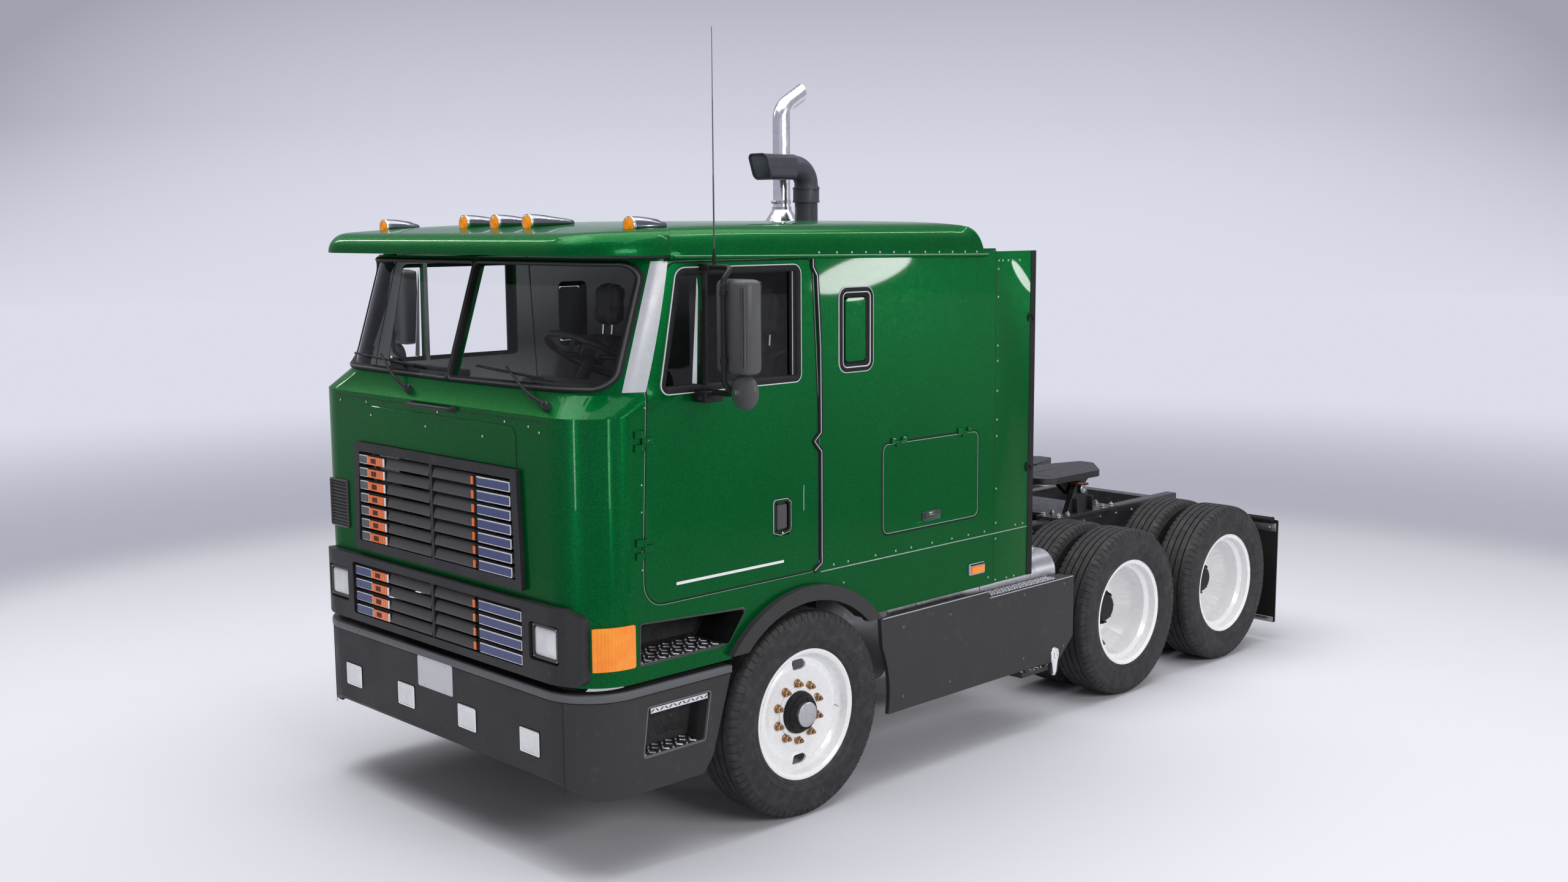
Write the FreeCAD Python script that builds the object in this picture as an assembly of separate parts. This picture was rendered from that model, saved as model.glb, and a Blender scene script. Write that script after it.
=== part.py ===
import FreeCAD, Part
import math
import os

# Cab-over sleeper tractor unit, three axles. Millimetres, +Z up, +Y to the rear, +X to the vehicle's left.
# Lengthways places below are measured from the front axle; export moves them to the middle of the length.

V = FreeCAD.Vector

# Running gear
tyre_radius = 515
tyre_half_width = 140
tread_half_width = 112
rim_radius = 326
bead_radius = 311
rim_half_width = 118
rim_wall = 10
front_wheel_x = 1085
rear_wheel_x = 1045
dual_spacing = 325
tandem_front_y = 2867
tandem_spacing = 1138
kingpin_x = 880
kingpin_radius = 20
spindle_radius = 36
rear_spindle_radius = 52
axle_tube_radius = 75
axle_tube_half = 640
beam_width = 70
beam_eye_radius = 62
beam_eye_drop = 45
beam_end_half = 42
beam_belly = 30
running_clearance = 0.05
nut_circle_radius = 143
nut_count = 10
nut_radius = 15
hand_hole_half_length = 46
hand_hole_half_height = 25
steer_arm_length = 190
tie_rod_radius = 18

# Chassis frame
rail_outer_x = 430
rail_flange = 80
rail_web = 10
rail_bottom = 705
rail_top = 970
rail_front_y = -1180
rail_rear_y = 4560
pivot_y = -1240
pivot_z = 545
pivot_pin_radius = 22
pivot_arm_x = 505
pivot_arm_width = 50

gearbox_rear_y = 1230
gearbox_z = 860
pinion_z = 545

# Front bumper
bumper_front_y = -1335
bumper_corner = 270
bumper_top = 850
bumper_bottom = 370
bumper_wall = 24
bumper_chin = 50

# Cab
cab_half_width = 1170
cab_front_y = -1300
cab_rear_y = 1500
cab_corner = 257
cab_bottom = 880
cab_side_bottom = 920
belt_z = 2070
screen_foot_y = -1208
screen_foot_z = 2165
screen_head_y = -1020
cab_top = 2750
screen_corner = 360
cab_wall = 45
floor_bottom = 1203
floor_thickness = 45
tunnel_half_width = 390
tunnel_roof = 1760
tunnel_wall = 25
bunk_front_y = 530
extender_rear_y = 1850
extender_edge = 45
panel_gap = 7
seat_gap = 0.3
reach_x = cab_half_width + 130
bumper_half_width = cab_half_width + 5

# Doors
door_front_y = -975
door_rear_y = 120
door_bottom = 1220
door_top = 2728
hinge_axis_x = cab_half_width + 6
hinge_radius = 8
hinge_leaf = 48
hinge_foot = 16
hinge_relief = 2
window_bottom = 2165
window_top = 2695
pane_thickness = 6
pane_inset = 16

mirror_x = cab_half_width + 200
mirror_y = -620

# Luggage doors
luggage_front_y = 590
luggage_rear_y = 1360
luggage_bottom = 1320
luggage_top = 1786
luggage_axis_x = cab_half_width + 4
luggage_hinge_radius = 6

# Roof
visor_half_width = cab_half_width + 32
roof_half_width = cab_half_width + 20
roof_top = 2925
roof_wall = 35
visor_front_y = -1270
visor_rear_y = -820
visor_corner = 300
plan_overhang = 3
visor_nose = 2845
visor_bottom = 2766
roof_rear_y = 1400
roof_tail = 12
drip_front_z = 2746
drip_rear_z = 2718

# Front wheel arch
arch_centre_y = 30
arch_centre_z = 490
arch_radius = 585
flare_radius = 660
flare_stand = 40

# Grilles
grille_half_width_top = 0.6 * cab_half_width
grille_half_width_bottom = grille_half_width_top + 24
grille_top = 1821
grille_bottom = 1274
grille_frame = 45
grille_depth = 24
grille_rows = 7
bezel_half_width = cab_half_width - 80
bezel_top = 1237
bezel_bottom = 893
bezel_stand = 40
bezel_frame = 38
bezel_rows = 4
headlight_centre_x = bezel_half_width - 197
headlight_half_width = 90
headlight_bottom = 993
headlight_top = 1144
headlight_rim = 12
bezel_window = headlight_centre_x - headlight_half_width - 63
turn_lamp_bottom = 955
turn_lamp_top = 1150

# Side fairings and tanks
skirt_x = cab_half_width + 30
skirt_wall = 25
skirt_front_y = 625
skirt_rear_y = 2225
skirt_top = 894
skirt_step_top = 856
skirt_step_y = 1440
skirt_bottom = 378
side_step_top = 352
tank_corner = 120
tank_bottom = 500
tank_top = 995
tank_inner_x = 580
tank_outer_x = skirt_x - 100

# Stack, intake and deck
stack_x = 170 - cab_half_width
stack_y = 2010
stack_radius = 57
stack_wall = 4
stack_bend_z = 3640
stack_tip_y = stack_y + 175
muffler_radius = 120
muffler_top = 2900
cone_height = 95
intake_x = stack_x + 225
intake_radius = 76
collar_radius = 84
hood_z = 3255
hood_half_height = 79
hood_rear_y = 1850
hood_lip_y = 1578
hood_low_lip_y = 1630
hood_wall = 8
bracket_top = 1135
deck_thickness = 25

# Fifth wheel
coupler_y = 3390
coupler_top = 1250
coupler_pivot_z = 1140
coupler_half_width = 455
jaw_radius = 25.4
plate_thickness = 42

# Rear
rear_end = 4660
tail_panel_y = rear_end - 30
tail_panel_bottom = 690
tail_lamp_radius = 46
tail_lamp_z = 757
front_end = cab_front_y - bezel_stand
middle_y = (rear_end + front_end) / 2


# Shapes

def spot(plane, a, b, c):
    if plane == "yz":
        return V(c, a, b)
    if plane == "xz":
        return V(a, c, b)
    return V(a, b, c)


def rounded_edges(points, radii):
    edges = []
    count = len(points)
    last = None
    first = None
    for i, p in enumerate(points):
        radius = radii[i]
        if radius:
            u = (points[i - 1] - p).normalize()
            w = (points[(i + 1) % count] - p).normalize()
            half = u.getAngle(w) / 2
            reach = radius / math.tan(half)
            middle = (u + w).normalize()
            start = p + u * reach
            end = p + w * reach
            top = p + middle * (radius / math.sin(half) - radius)
            arc = Part.Arc(start, top, end).toShape()
        else:
            start = p
            end = p
            arc = None
        if last is not None and last.distanceToPoint(start) > 1e-6:
            edges.append(Part.LineSegment(last, start).toShape())
        if arc is not None:
            edges.append(arc)
        if first is None:
            first = start
        last = end
    if last.distanceToPoint(first) > 1e-6:
        edges.append(Part.LineSegment(last, first).toShape())
    return edges


def outline(plane, corners, level, radius=0):
    """Closed outline; a corner is (a, b) or (a, b, its own radius)."""
    points = [spot(plane, c[0], c[1], level) for c in corners]
    radii = [c[2] if len(c) > 2 else radius for c in corners]
    return Part.Wire(rounded_edges(points, radii))


def prism(plane, corners, low, high, radius=0):
    face = Part.Face(outline(plane, corners, low, radius))
    return face.extrude(spot(plane, 0, 0, high - low))


def box(x0, x1, y0, y1, z0, z1):
    return Part.makeBox(x1 - x0, y1 - y0, z1 - z0, V(x0, y0, z0))


def rod(radius, start, end):
    return Part.makeCylinder(radius, (end - start).Length, start, end - start)


def bent_tube(points, radius, bend):
    """Round tube of straight runs joined by bends about each inner point."""
    pieces = []
    start = points[0]
    for i in range(1, len(points) - 1):
        p = points[i]
        u = (points[i - 1] - p).normalize()
        w = (points[i + 1] - p).normalize()
        turn = math.pi - u.getAngle(w)
        reach = bend * math.tan(turn / 2)
        near = p + u * reach
        axis = u.cross(w).normalize()
        centre = near + axis.cross(u) * bend
        pieces.append(rod(radius, start, near))
        ring = Part.Face(Part.Wire(Part.Circle(near, u, radius).toShape()))
        pieces.append(ring.revolve(centre, -axis, math.degrees(turn)))
        start = p + w * reach
    pieces.append(rod(radius, start, points[-1]))
    return fused(pieces)


def turned(corners, radius=0):
    """Revolved about the X axis from corners given as (x, radius)."""
    face = Part.Face(outline("xz", corners, 0, radius))
    return face.revolve(V(0, 0, 0), V(1, 0, 0), 360)


def at(shape, x, y, z):
    moved = shape.copy()
    moved.translate(V(x, y, z))
    return moved


def fused(shapes):
    return shapes[0].multiFuse(shapes[1:]).removeSplitter()


def mirrored(shape):
    return shape.mirror(V(0, 0, 0), V(1, 0, 0))


def both(shape):
    return [shape, mirrored(shape)]


def save(name, shapes):
    whole = shapes if isinstance(shapes, list) else [shapes]
    solids = [solid for shape in whole for solid in shape.Solids]
    body = solids[0] if len(solids) == 1 else Part.makeCompound(solids)
    body = at(body, 0, -middle_y, 0)
    body.exportStep("parts/" + name + ".step")


def save_pair(name, shape):
    save(name + "_left", shape)
    save(name + "_right", mirrored(shape))


# Wheels

def tyre():
    bead = bead_radius + seat_gap
    half = tyre_half_width
    shoulder = tyre_radius - 9
    lip = rim_radius + seat_gap
    return turned([
        (rim_half_width - 15, bead), (rim_half_width - 11, lip), (rim_half_width + 2, lip),
        (rim_half_width + 10, rim_radius + 24, 10), (half, 425, 60),
        (tread_half_width + 8, shoulder, 16), (tread_half_width - 40, tyre_radius, 200),
        (40 - tread_half_width, tyre_radius, 200), (-tread_half_width - 8, shoulder, 16),
        (-half, 425, 60), (-rim_half_width - 10, rim_radius + 24, 10), (-rim_half_width - 2, lip),
        (11 - rim_half_width, lip), (15 - rim_half_width, bead),
        (44 - rim_half_width, bead), (24 - half, 420, 40), (20 - half, tyre_radius - 30, 20),
        (half - 20, tyre_radius - 30, 20), (half - 24, 420, 40), (rim_half_width - 44, bead),
    ])


def rim():
    half = rim_half_width
    seat = bead_radius
    well = seat - 28
    wall = rim_wall
    return turned([
        (half, rim_radius, 3), (half - 10, rim_radius, 3), (half - 14, seat), (62, seat - 3), (42, well),
        (-42, well), (-62, seat - 3), (14 - half, seat), (10 - half, rim_radius, 3), (-half, rim_radius, 3),
        (-half, seat + 4), (8 - half, seat - wall), (-66, seat - 3 - wall), (-46, well - wall),
        (46, well - wall), (66, seat - 3 - wall), (half - 8, seat - wall), (half, seat + 4),
    ])


def hand_holes(radius, disc_x):
    """Two long holes through the disc, opposite each other."""
    a = hand_hole_half_length
    b = hand_hole_half_height
    hole = prism("yz", [(-a, -b), (a, -b), (a, b), (-a, b)], disc_x - 60, disc_x + 60, b - 1)
    return [at(hole, 0, 0, radius), at(hole, 0, 0, -radius)]


def wheel_nuts(face_x, length):
    nuts = []
    for i in range(nut_count):
        turn = 2 * math.pi * (i + 0.5) / nut_count
        y = nut_circle_radius * math.cos(turn)
        z = nut_circle_radius * math.sin(turn)
        nuts.append(rod(nut_radius, V(face_x, y, z), V(face_x + length, y, z)))
    return nuts


def front_wheel():
    disc_x = 52
    edge = bead_radius - 28 - rim_wall
    disc = turned([
        (disc_x, 90), (disc_x, 190), (disc_x + 18, 240, 20), (disc_x - 4, edge + 4), (disc_x - 16, edge + 4),
        (disc_x + 6, 238, 20), (disc_x - 12, 188), (disc_x - 12, 90),
    ])
    hub = turned([
        (-95, spindle_radius + running_clearance), (-95, 92), (disc_x - 12, 92), (disc_x - 12, 125),
        (disc_x, 125), (disc_x, 88), (disc_x + 52, 84, 6), (disc_x + 52, 60), (disc_x + 78, 52, 8),
        (disc_x + 78, 0), (disc_x + 30, 0), (disc_x + 30, spindle_radius + running_clearance),
    ])
    shape = fused([rim(), disc, hub] + wheel_nuts(disc_x - 1, 30))
    return shape.cut(hand_holes(240, disc_x))


def rear_wheel():
    """Both rims of a dual wheel about the plane midway between its tyres."""
    half = dual_spacing / 2
    edge = bead_radius - 28 - rim_wall
    disc = turned([
        (0, 90), (0, 190), (half - 42, edge + 4, 30), (half - 28, edge + 4), (12, 196, 30), (12, 90),
    ])
    outer = at(rim(), half, 0, 0).fuse(disc).cut(hand_holes(228, 30))
    inner = outer.mirror(V(0, 0, 0), V(1, 0, 0))
    bore = rear_spindle_radius + running_clearance
    hub = turned([
        (-110, bore), (-110, 125, 10), (-12, 132), (12, 132), (40, 118, 8), (70, 112, 6), (70, 86),
        (110, 80, 8), (118, 60, 6), (118, 0), (60, 0), (60, bore),
    ])
    return fused([outer, inner, hub] + wheel_nuts(11, 30))


def knuckle():
    """Left knuckle about the kingpin's middle, with its spindle and steering arm."""
    arm_top = 105
    pin = rod(kingpin_radius, V(0, 0, -arm_top - 20), V(0, 0, arm_top + 20))
    arms = []
    for z in (-arm_top - 20, 90):
        arms.append(prism("xy", [(-45, -45), (70, -45), (70, 45), (-45, 45)], z, z + 35, 40))
    back = box(55, 80, -50, 50, -arm_top - 20, arm_top + 20)
    spindle = rod(spindle_radius, V(75, 0, 0), V(front_wheel_x - kingpin_x + 78, 0, 0))
    arm = prism("xy", [(-28, 0), (28, 0), (28, steer_arm_length + 28), (-28, steer_arm_length + 28)],
                -arm_top - 20, -arm_top + 5, 26)
    ball = rod(14, V(0, steer_arm_length, -arm_top - 62), V(0, steer_arm_length, -arm_top - 18))
    return fused([pin, back, spindle, arm, ball] + arms)


def tie_rod():
    """Track rod between the two steering arms, with an eye round each arm's stud."""
    z = tyre_radius - 150
    y = steer_arm_length
    shapes = [rod(tie_rod_radius, V(-kingpin_x + 20, y, z), V(kingpin_x - 20, y, z))]
    for x in (-kingpin_x, kingpin_x):
        shapes.append(rod(30, V(x, y, z - 18), V(x, y, z + 18)))
    rod_with_eyes = fused(shapes)
    left = rod(14 + running_clearance, V(kingpin_x, y, z - 40), V(kingpin_x, y, z + 40))
    right = rod(14 + 3, V(-kingpin_x, y, z - 40), V(-kingpin_x, y, z + 40))
    return rod_with_eyes.cut([left, right])


def front_axle():
    """Dropped I-beam with kingpin bosses, and the leaf springs that carry it."""
    low = tyre_radius - 135
    top = tyre_radius - 15
    end = kingpin_x - 30
    beam = prism("xz", [
        (-end, tyre_radius - 60), (-620, low, 60), (620, low, 60), (end, tyre_radius - 60),
        (end, tyre_radius + 60), (600, top, 60), (-600, top, 60), (-end, tyre_radius + 60),
    ], -45, 45)
    flute = prism("xz", [
        (-560, low + 28), (560, low + 28), (640, top - 22), (-640, top - 22),
    ], 14, 60, 12)
    beam = beam.cut([flute, at(flute, 0, -74, 0)])
    shapes = [beam]
    for x in (-kingpin_x, kingpin_x):
        shapes.append(rod(44, V(x, 0, tyre_radius - 85), V(x, 0, tyre_radius + 85)))
    for side in (-1, 1):
        shapes.append(front_spring(side * (rail_outer_x - rail_flange / 2)))
    axle = fused(shapes)
    bores = [rod(kingpin_radius + running_clearance, V(x, 0, 200), V(x, 0, 800)) for x in (-kingpin_x, kingpin_x)]
    return axle.cut(bores)


def front_spring(x):
    pad = tyre_radius - 15
    eye_y = 600
    eye_z = rail_bottom - 40
    upper = Part.Arc(V(0, -eye_y, eye_z + 20), V(0, 0, pad + 90), V(0, eye_y, eye_z + 20)).toShape()
    lower = Part.Arc(V(0, eye_y, eye_z - 20), V(0, 0, pad), V(0, -eye_y, eye_z - 20)).toShape()
    ends = [
        Part.LineSegment(V(0, eye_y, eye_z + 20), V(0, eye_y, eye_z - 20)).toShape(),
        Part.LineSegment(V(0, -eye_y, eye_z - 20), V(0, -eye_y, eye_z + 20)).toShape(),
    ]
    wire = Part.Wire([upper, ends[0], lower, ends[1]])
    pack = Part.Face(wire).extrude(V(70, 0, 0))
    pack.translate(V(x - 35, 0, 0))
    seat = box(x - 60, x + 60, -75, 75, pad - 30, pad + 12)
    hangers = []
    for y in (-eye_y, eye_y):
        hangers.append(prism("yz", [(y - 60, rail_bottom), (y + 60, rail_bottom), (y + 32, eye_z - 34),
                                    (y - 32, eye_z - 34)], x - 42, x + 42, 0))
    return fused([pack, seat] + hangers)


# Chassis

def rail():
    inner = rail_outer_x - rail_flange
    web = rail_outer_x - rail_web
    return prism("xz", [
        (inner, rail_bottom), (rail_outer_x, rail_bottom, 12), (rail_outer_x, rail_top, 12), (inner, rail_top),
        (inner, rail_top - rail_web), (web, rail_top - rail_web, 4), (web, rail_bottom + rail_web, 4),
        (inner, rail_bottom + rail_web),
    ], rail_front_y, rail_rear_y)


def pivot_bracket():
    inner = rail_outer_x
    outer = pivot_arm_x - pivot_arm_width / 2 - 5
    plate = prism("yz", [
        (pivot_y - 38, pivot_z - 38, 30), (pivot_y + 60, pivot_z - 38, 30), (rail_front_y + 330, rail_bottom + 20, 20),
        (rail_front_y + 330, rail_top - 60, 20), (rail_front_y, rail_top - 60, 20), (pivot_y - 38, pivot_z + 60, 40),
    ], inner, outer)
    pin = rod(pivot_pin_radius, V(inner, pivot_y, pivot_z), V(pivot_arm_x + pivot_arm_width / 2 + 12, pivot_y, pivot_z))
    return plate.fuse(pin)


def crossmember(y, low, high, depth):
    inner = rail_outer_x - rail_web
    return box(-inner, inner, y - depth / 2, y + depth / 2, low, high)


def frame_rails():
    shapes = both(rail()) + both(pivot_bracket())
    shapes.append(crossmember(rail_front_y + 60, rail_bottom + rail_web, rail_bottom + 60, 110))
    for y in (1500, tandem_front_y - 330, tandem_front_y + tandem_spacing / 2, rail_rear_y - 60):
        shapes.append(crossmember(y, rail_bottom + 40, rail_top - 40, 90))
    shapes += both(box(rail_outer_x, rail_outer_x + 90, 1330, 1430, rail_top - 110, floor_bottom - 60 - seat_gap))
    return fused(shapes).cut(front_shaft(75))


def bumper_plan(inset, low, high):
    x = bumper_half_width - inset
    y = bumper_front_y + inset
    corner = bumper_corner - inset
    return prism("xy", [(-x, y, corner), (x, y, corner), (x, -440), (-x, -440)], low, high)


def bumper_step(grow):
    return [(-976 - grow, 756 + grow), (-600 + grow, 756 + grow), (-640 + grow, 530 - grow), (-1007 - grow, 530 - grow)]


def bumper():
    side = prism("yz", [
        (bumper_front_y - 5, bumper_bottom + 85, bumper_chin), (bumper_front_y + 90, bumper_bottom, bumper_chin),
        (-645, bumper_bottom, 40),
        (-589, bumper_bottom + 73, 40), (-461, bumper_top), (bumper_front_y - 5, bumper_top),
    ], -bumper_half_width - 5, bumper_half_width + 5)
    shell = bumper_plan(0, bumper_bottom, bumper_top).common(side)
    shell = shell.cut(bumper_plan(bumper_wall, bumper_bottom - 5, bumper_top - bumper_wall))
    shell = shell.cut(bumper_plan(bumper_wall + 60, bumper_bottom - 5, bumper_top + 5))
    depth = 130
    inner = bumper_half_width - depth
    for sign in (1, -1):
        pocket = prism("yz", bumper_step(12), inner - 12, bumper_half_width - 10, 20)
        hollow = prism("yz", bumper_step(0), inner, bumper_half_width + 10, 20)
        if sign < 0:
            pocket = mirrored(pocket)
            hollow = mirrored(hollow)
        shell = shell.fuse(pocket).cut(hollow)
    bracket = box(rail_outer_x - rail_flange, rail_outer_x - 5, bumper_front_y + bumper_wall - 2, rail_front_y,
                  rail_bottom - 60, rail_bottom + 90)
    return fused([shell] + both(bracket))


def bumper_lamps():
    lamps = []
    for x in (-772, -268, 268, 772):
        lamps.append(prism("xz", [(x - 75, 535), (x + 75, 535), (x + 75, 650), (x - 75, 650)],
                           bumper_front_y - 5, bumper_front_y - seat_gap, 8))
    return lamps


def engine_block():
    block = prism("xz", [(-230, 690), (230, 690), (300, 900), (300, 1480), (200, 1560), (-200, 1560), (-300, 1480),
                         (-300, 900)], -820, 480, 30)
    mounts = [box(-rail_outer_x + rail_web, rail_outer_x - rail_web, y, y + 90, 800, 860) for y in (-700, 330)]
    gearbox = prism("xz", [(-190, 720), (190, 720), (190, 1040), (-190, 1040)], 470, gearbox_rear_y, 60)
    return fused([block, gearbox] + mounts)


def radiator():
    low = rail_bottom + 60
    core = box(-340, 340, rail_front_y + 20, rail_front_y + 110, low, 1680)
    fins = []
    for i in range(7):
        z = low + 100 + i * 115
        fins.append(box(-320, 320, rail_front_y + 12, rail_front_y + 20, z, z + 70))
    return fused([core] + fins)


def rear_axle(y):
    tube = rod(axle_tube_radius, V(-axle_tube_half, y, tyre_radius), V(axle_tube_half, y, tyre_radius))
    spindle_end = rear_wheel_x - dual_spacing / 2 + 58
    spindle = rod(rear_spindle_radius, V(-spindle_end, y, tyre_radius), V(spindle_end, y, tyre_radius))
    bowl = rod(190, V(0, y - 130, tyre_radius), V(0, y + 130, tyre_radius))
    nose = rod(110, V(0, y - 330, pinion_z), V(0, y - 120, pinion_z))
    bowl = bowl.common(Part.makeSphere(215, V(0, y, tyre_radius)))
    return fused([tube, spindle, bowl, nose])


def walking_beam(x):
    """Equaliser beam that hangs under both axles at its eyes and carries the frame on its saddle."""
    y0 = tandem_front_y
    y1 = y0 + tandem_spacing
    middle = (y0 + y1) / 2
    eye_z = tyre_radius - axle_tube_radius - beam_eye_drop
    inner = x - beam_width / 2
    outer = x + beam_width / 2
    beam = prism("yz", [
        (y0, eye_z - beam_end_half), (middle, eye_z - beam_end_half - beam_belly, 200), (y1, eye_z - beam_end_half),
        (y1, eye_z + beam_end_half), (middle, eye_z + beam_end_half + beam_belly, 200), (y0, eye_z + beam_end_half),
    ], inner, outer)
    ends = []
    for y in (y0, y1):
        ends.append(rod(beam_eye_radius, V(inner, y, eye_z), V(outer, y, eye_z)))
        ends.append(box(inner, outer, y - beam_end_half, y + beam_end_half, eye_z, tyre_radius - axle_tube_radius / 2))
    saddle = prism("yz", [(middle - 90, eye_z), (middle + 90, eye_z), (middle + 160, rail_bottom + 40),
                          (middle - 160, rail_bottom + 40)], inner, rail_outer_x)
    bracket = box(rail_outer_x, outer, middle - 160, middle + 160, rail_bottom - 60, rail_bottom + 120)
    return fused([beam, saddle, bracket] + ends)


def rear_axles():
    shapes = [rear_axle(tandem_front_y), rear_axle(tandem_front_y + tandem_spacing)]
    shapes += both(walking_beam(475))
    return fused(shapes)


def front_shaft(radius):
    start = V(0, 1290, gearbox_z)
    end = V(0, tandem_front_y - 410, pinion_z)
    return rod(radius, start, end)


def driveline():
    """Propeller shaft to the first axle and the link shaft between the axles, with their yokes."""
    nose = tandem_front_y - 330
    yokes = [rod(60, V(0, gearbox_rear_y + seat_gap, gearbox_z), V(0, 1310, gearbox_z)),
             rod(60, V(0, nose - 90, pinion_z), V(0, nose - seat_gap, pinion_z))]
    shaft = fused([front_shaft(50)] + yokes)
    link = rod(45, V(0, tandem_front_y + 130 + seat_gap, pinion_z), V(0, nose + tandem_spacing - seat_gap, pinion_z))
    return [shaft, link]


def fuel_tanks():
    tanks = []
    tank = prism("xz", [(tank_inner_x, tank_bottom), (tank_outer_x, tank_bottom), (tank_outer_x, tank_top),
                        (tank_inner_x, tank_top)], 700, 2180, tank_corner)
    straps = []
    for y in (900, 1900):
        straps.append(box(rail_outer_x, tank_inner_x + 10, y, y + 60, rail_bottom, rail_top - 20))
    tanks.append(fused([tank] + straps))
    return tanks + [mirrored(t) for t in tanks]


def skirt():
    """Side fairing panel whose front edge follows the wheel arch."""
    face = prism("yz", [
        (skirt_front_y - 30, skirt_bottom), (skirt_rear_y - 130, skirt_bottom, 20),
        (skirt_rear_y, skirt_bottom + 120, 20),
        (skirt_rear_y, skirt_step_top), (skirt_step_y, skirt_step_top), (skirt_step_y - 20, skirt_top),
        (skirt_front_y - 80, skirt_top),
    ], skirt_x - skirt_wall, skirt_x)
    arch = rod(arch_radius, V(0, arch_centre_y, arch_centre_z), V(skirt_x + 10, arch_centre_y, arch_centre_z))
    face = face.cut(arch)
    shelf = box(tank_outer_x + 10, skirt_x - skirt_wall + 1, skirt_step_y + 20, skirt_rear_y - 30,
                skirt_step_top - 30, skirt_step_top)
    brackets = [box(tank_outer_x, skirt_x - skirt_wall, y, y + 60, 640, 740) for y in (900, 1900)]
    tread = box(skirt_x - 160, skirt_x - 10, 1750, 2080, side_step_top - 22, side_step_top)
    hangers = [box(skirt_x - skirt_wall, skirt_x - 8, y, y + 30, side_step_top - 10, skirt_bottom + 25)
               for y in (1780, 1960)]
    latch = prism("yz", [(2005, 300), (2065, 300), (2065, 445), (2005, 445)], skirt_x - 5, skirt_x + 12, 28)
    return fused([face, shelf, tread, latch] + brackets + hangers)


def exhaust_stack():
    """Muffler with a coned shoulder, the stack with its bent tip, and the bracket that carries both pipes."""
    x = stack_x
    y = stack_y
    muffler = rod(muffler_radius, V(x, y, 1190), V(x, y, muffler_top))
    cone = Part.makeCone(muffler_radius, stack_radius + 3, cone_height, V(x, y, muffler_top), V(0, 0, 1))
    stack = rod(stack_radius, V(x, y, bracket_top - 1), V(x, y, 3000))
    bend = [V(x, y, 2990), V(x, y, stack_bend_z), V(x, y + 250, stack_bend_z + 145)]
    tip = bent_tube(bend, stack_radius, 120)
    bore = bent_tube([V(x, y, 3400)] + bend[1:], stack_radius - stack_wall, 120)
    cut_off = box(x - 200, x + 200, stack_tip_y, stack_tip_y + 300, 3400, 4200)
    inner = -rail_outer_x + 70
    post = box(-rail_outer_x, inner, y - 50, y + 50, rail_top + deck_thickness + seat_gap, bracket_top)
    beam = box(x - 60, inner, y - 50, y + 50, bracket_top - 40, bracket_top)
    return fused([muffler, cone, stack, tip, post, beam]).cut([bore, cut_off])


def hood_section(inset, front, rear):
    """Rounded upright section of the intake's hood, run lengthways."""
    half = collar_radius - inset
    low = hood_z - hood_half_height + inset
    high = hood_z + hood_half_height - inset
    x = intake_x
    return prism("xz", [(x - half, low), (x + half, low), (x + half, high), (x - half, high)], front, rear, 35 - inset)


def air_intake():
    """Pipe, sleeve and elbow, and the hood that opens forwards through its oblique mouth."""
    x = intake_x
    y = stack_y
    z = hood_z
    pipe = rod(intake_radius - 2, V(x, y, bracket_top + seat_gap), V(x, y, 3050))
    sleeve = rod(collar_radius, V(x, y, 3035), V(x, y, 3130))
    elbow = bent_tube([V(x, y, 3120), V(x, y, z), V(x, hood_rear_y - 20, z)], intake_radius, 110)
    hood = hood_section(0, hood_lip_y - 30, hood_rear_y)
    low = z - hood_half_height
    high = z + hood_half_height
    mouth = prism("yz", [(1400, low - 50), (hood_low_lip_y + 16, low - 50), (hood_lip_y - 16, high + 50),
                         (1400, high + 50)], x - 200, x + 200)
    inside = hood_section(hood_wall, 1400, 1720)
    return fused([pipe, sleeve, elbow, hood]).cut([mouth, inside])


def deck_plate():
    return box(-rail_outer_x, rail_outer_x, 1580, 2350, rail_top, rail_top + deck_thickness)


def fifth_wheel_base():
    foot = box(310, 490, coupler_y - 340, coupler_y + 340, rail_top, rail_top + 20)
    ear = prism("yz", [(coupler_y - 150, rail_top + 10), (coupler_y + 150, rail_top + 10),
                       (coupler_y + 45, coupler_pivot_z + 45, 44), (coupler_y - 45, coupler_pivot_z + 45, 44)],
                378, 422)
    bed = box(-430, 430, coupler_y - 260, coupler_y + 260, rail_top, rail_top + 20)
    base = fused(both(foot) + both(ear) + [bed])
    bore = rod(28 + running_clearance, V(-500, coupler_y, coupler_pivot_z), V(500, coupler_y, coupler_pivot_z))
    return base.cut(bore)


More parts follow.
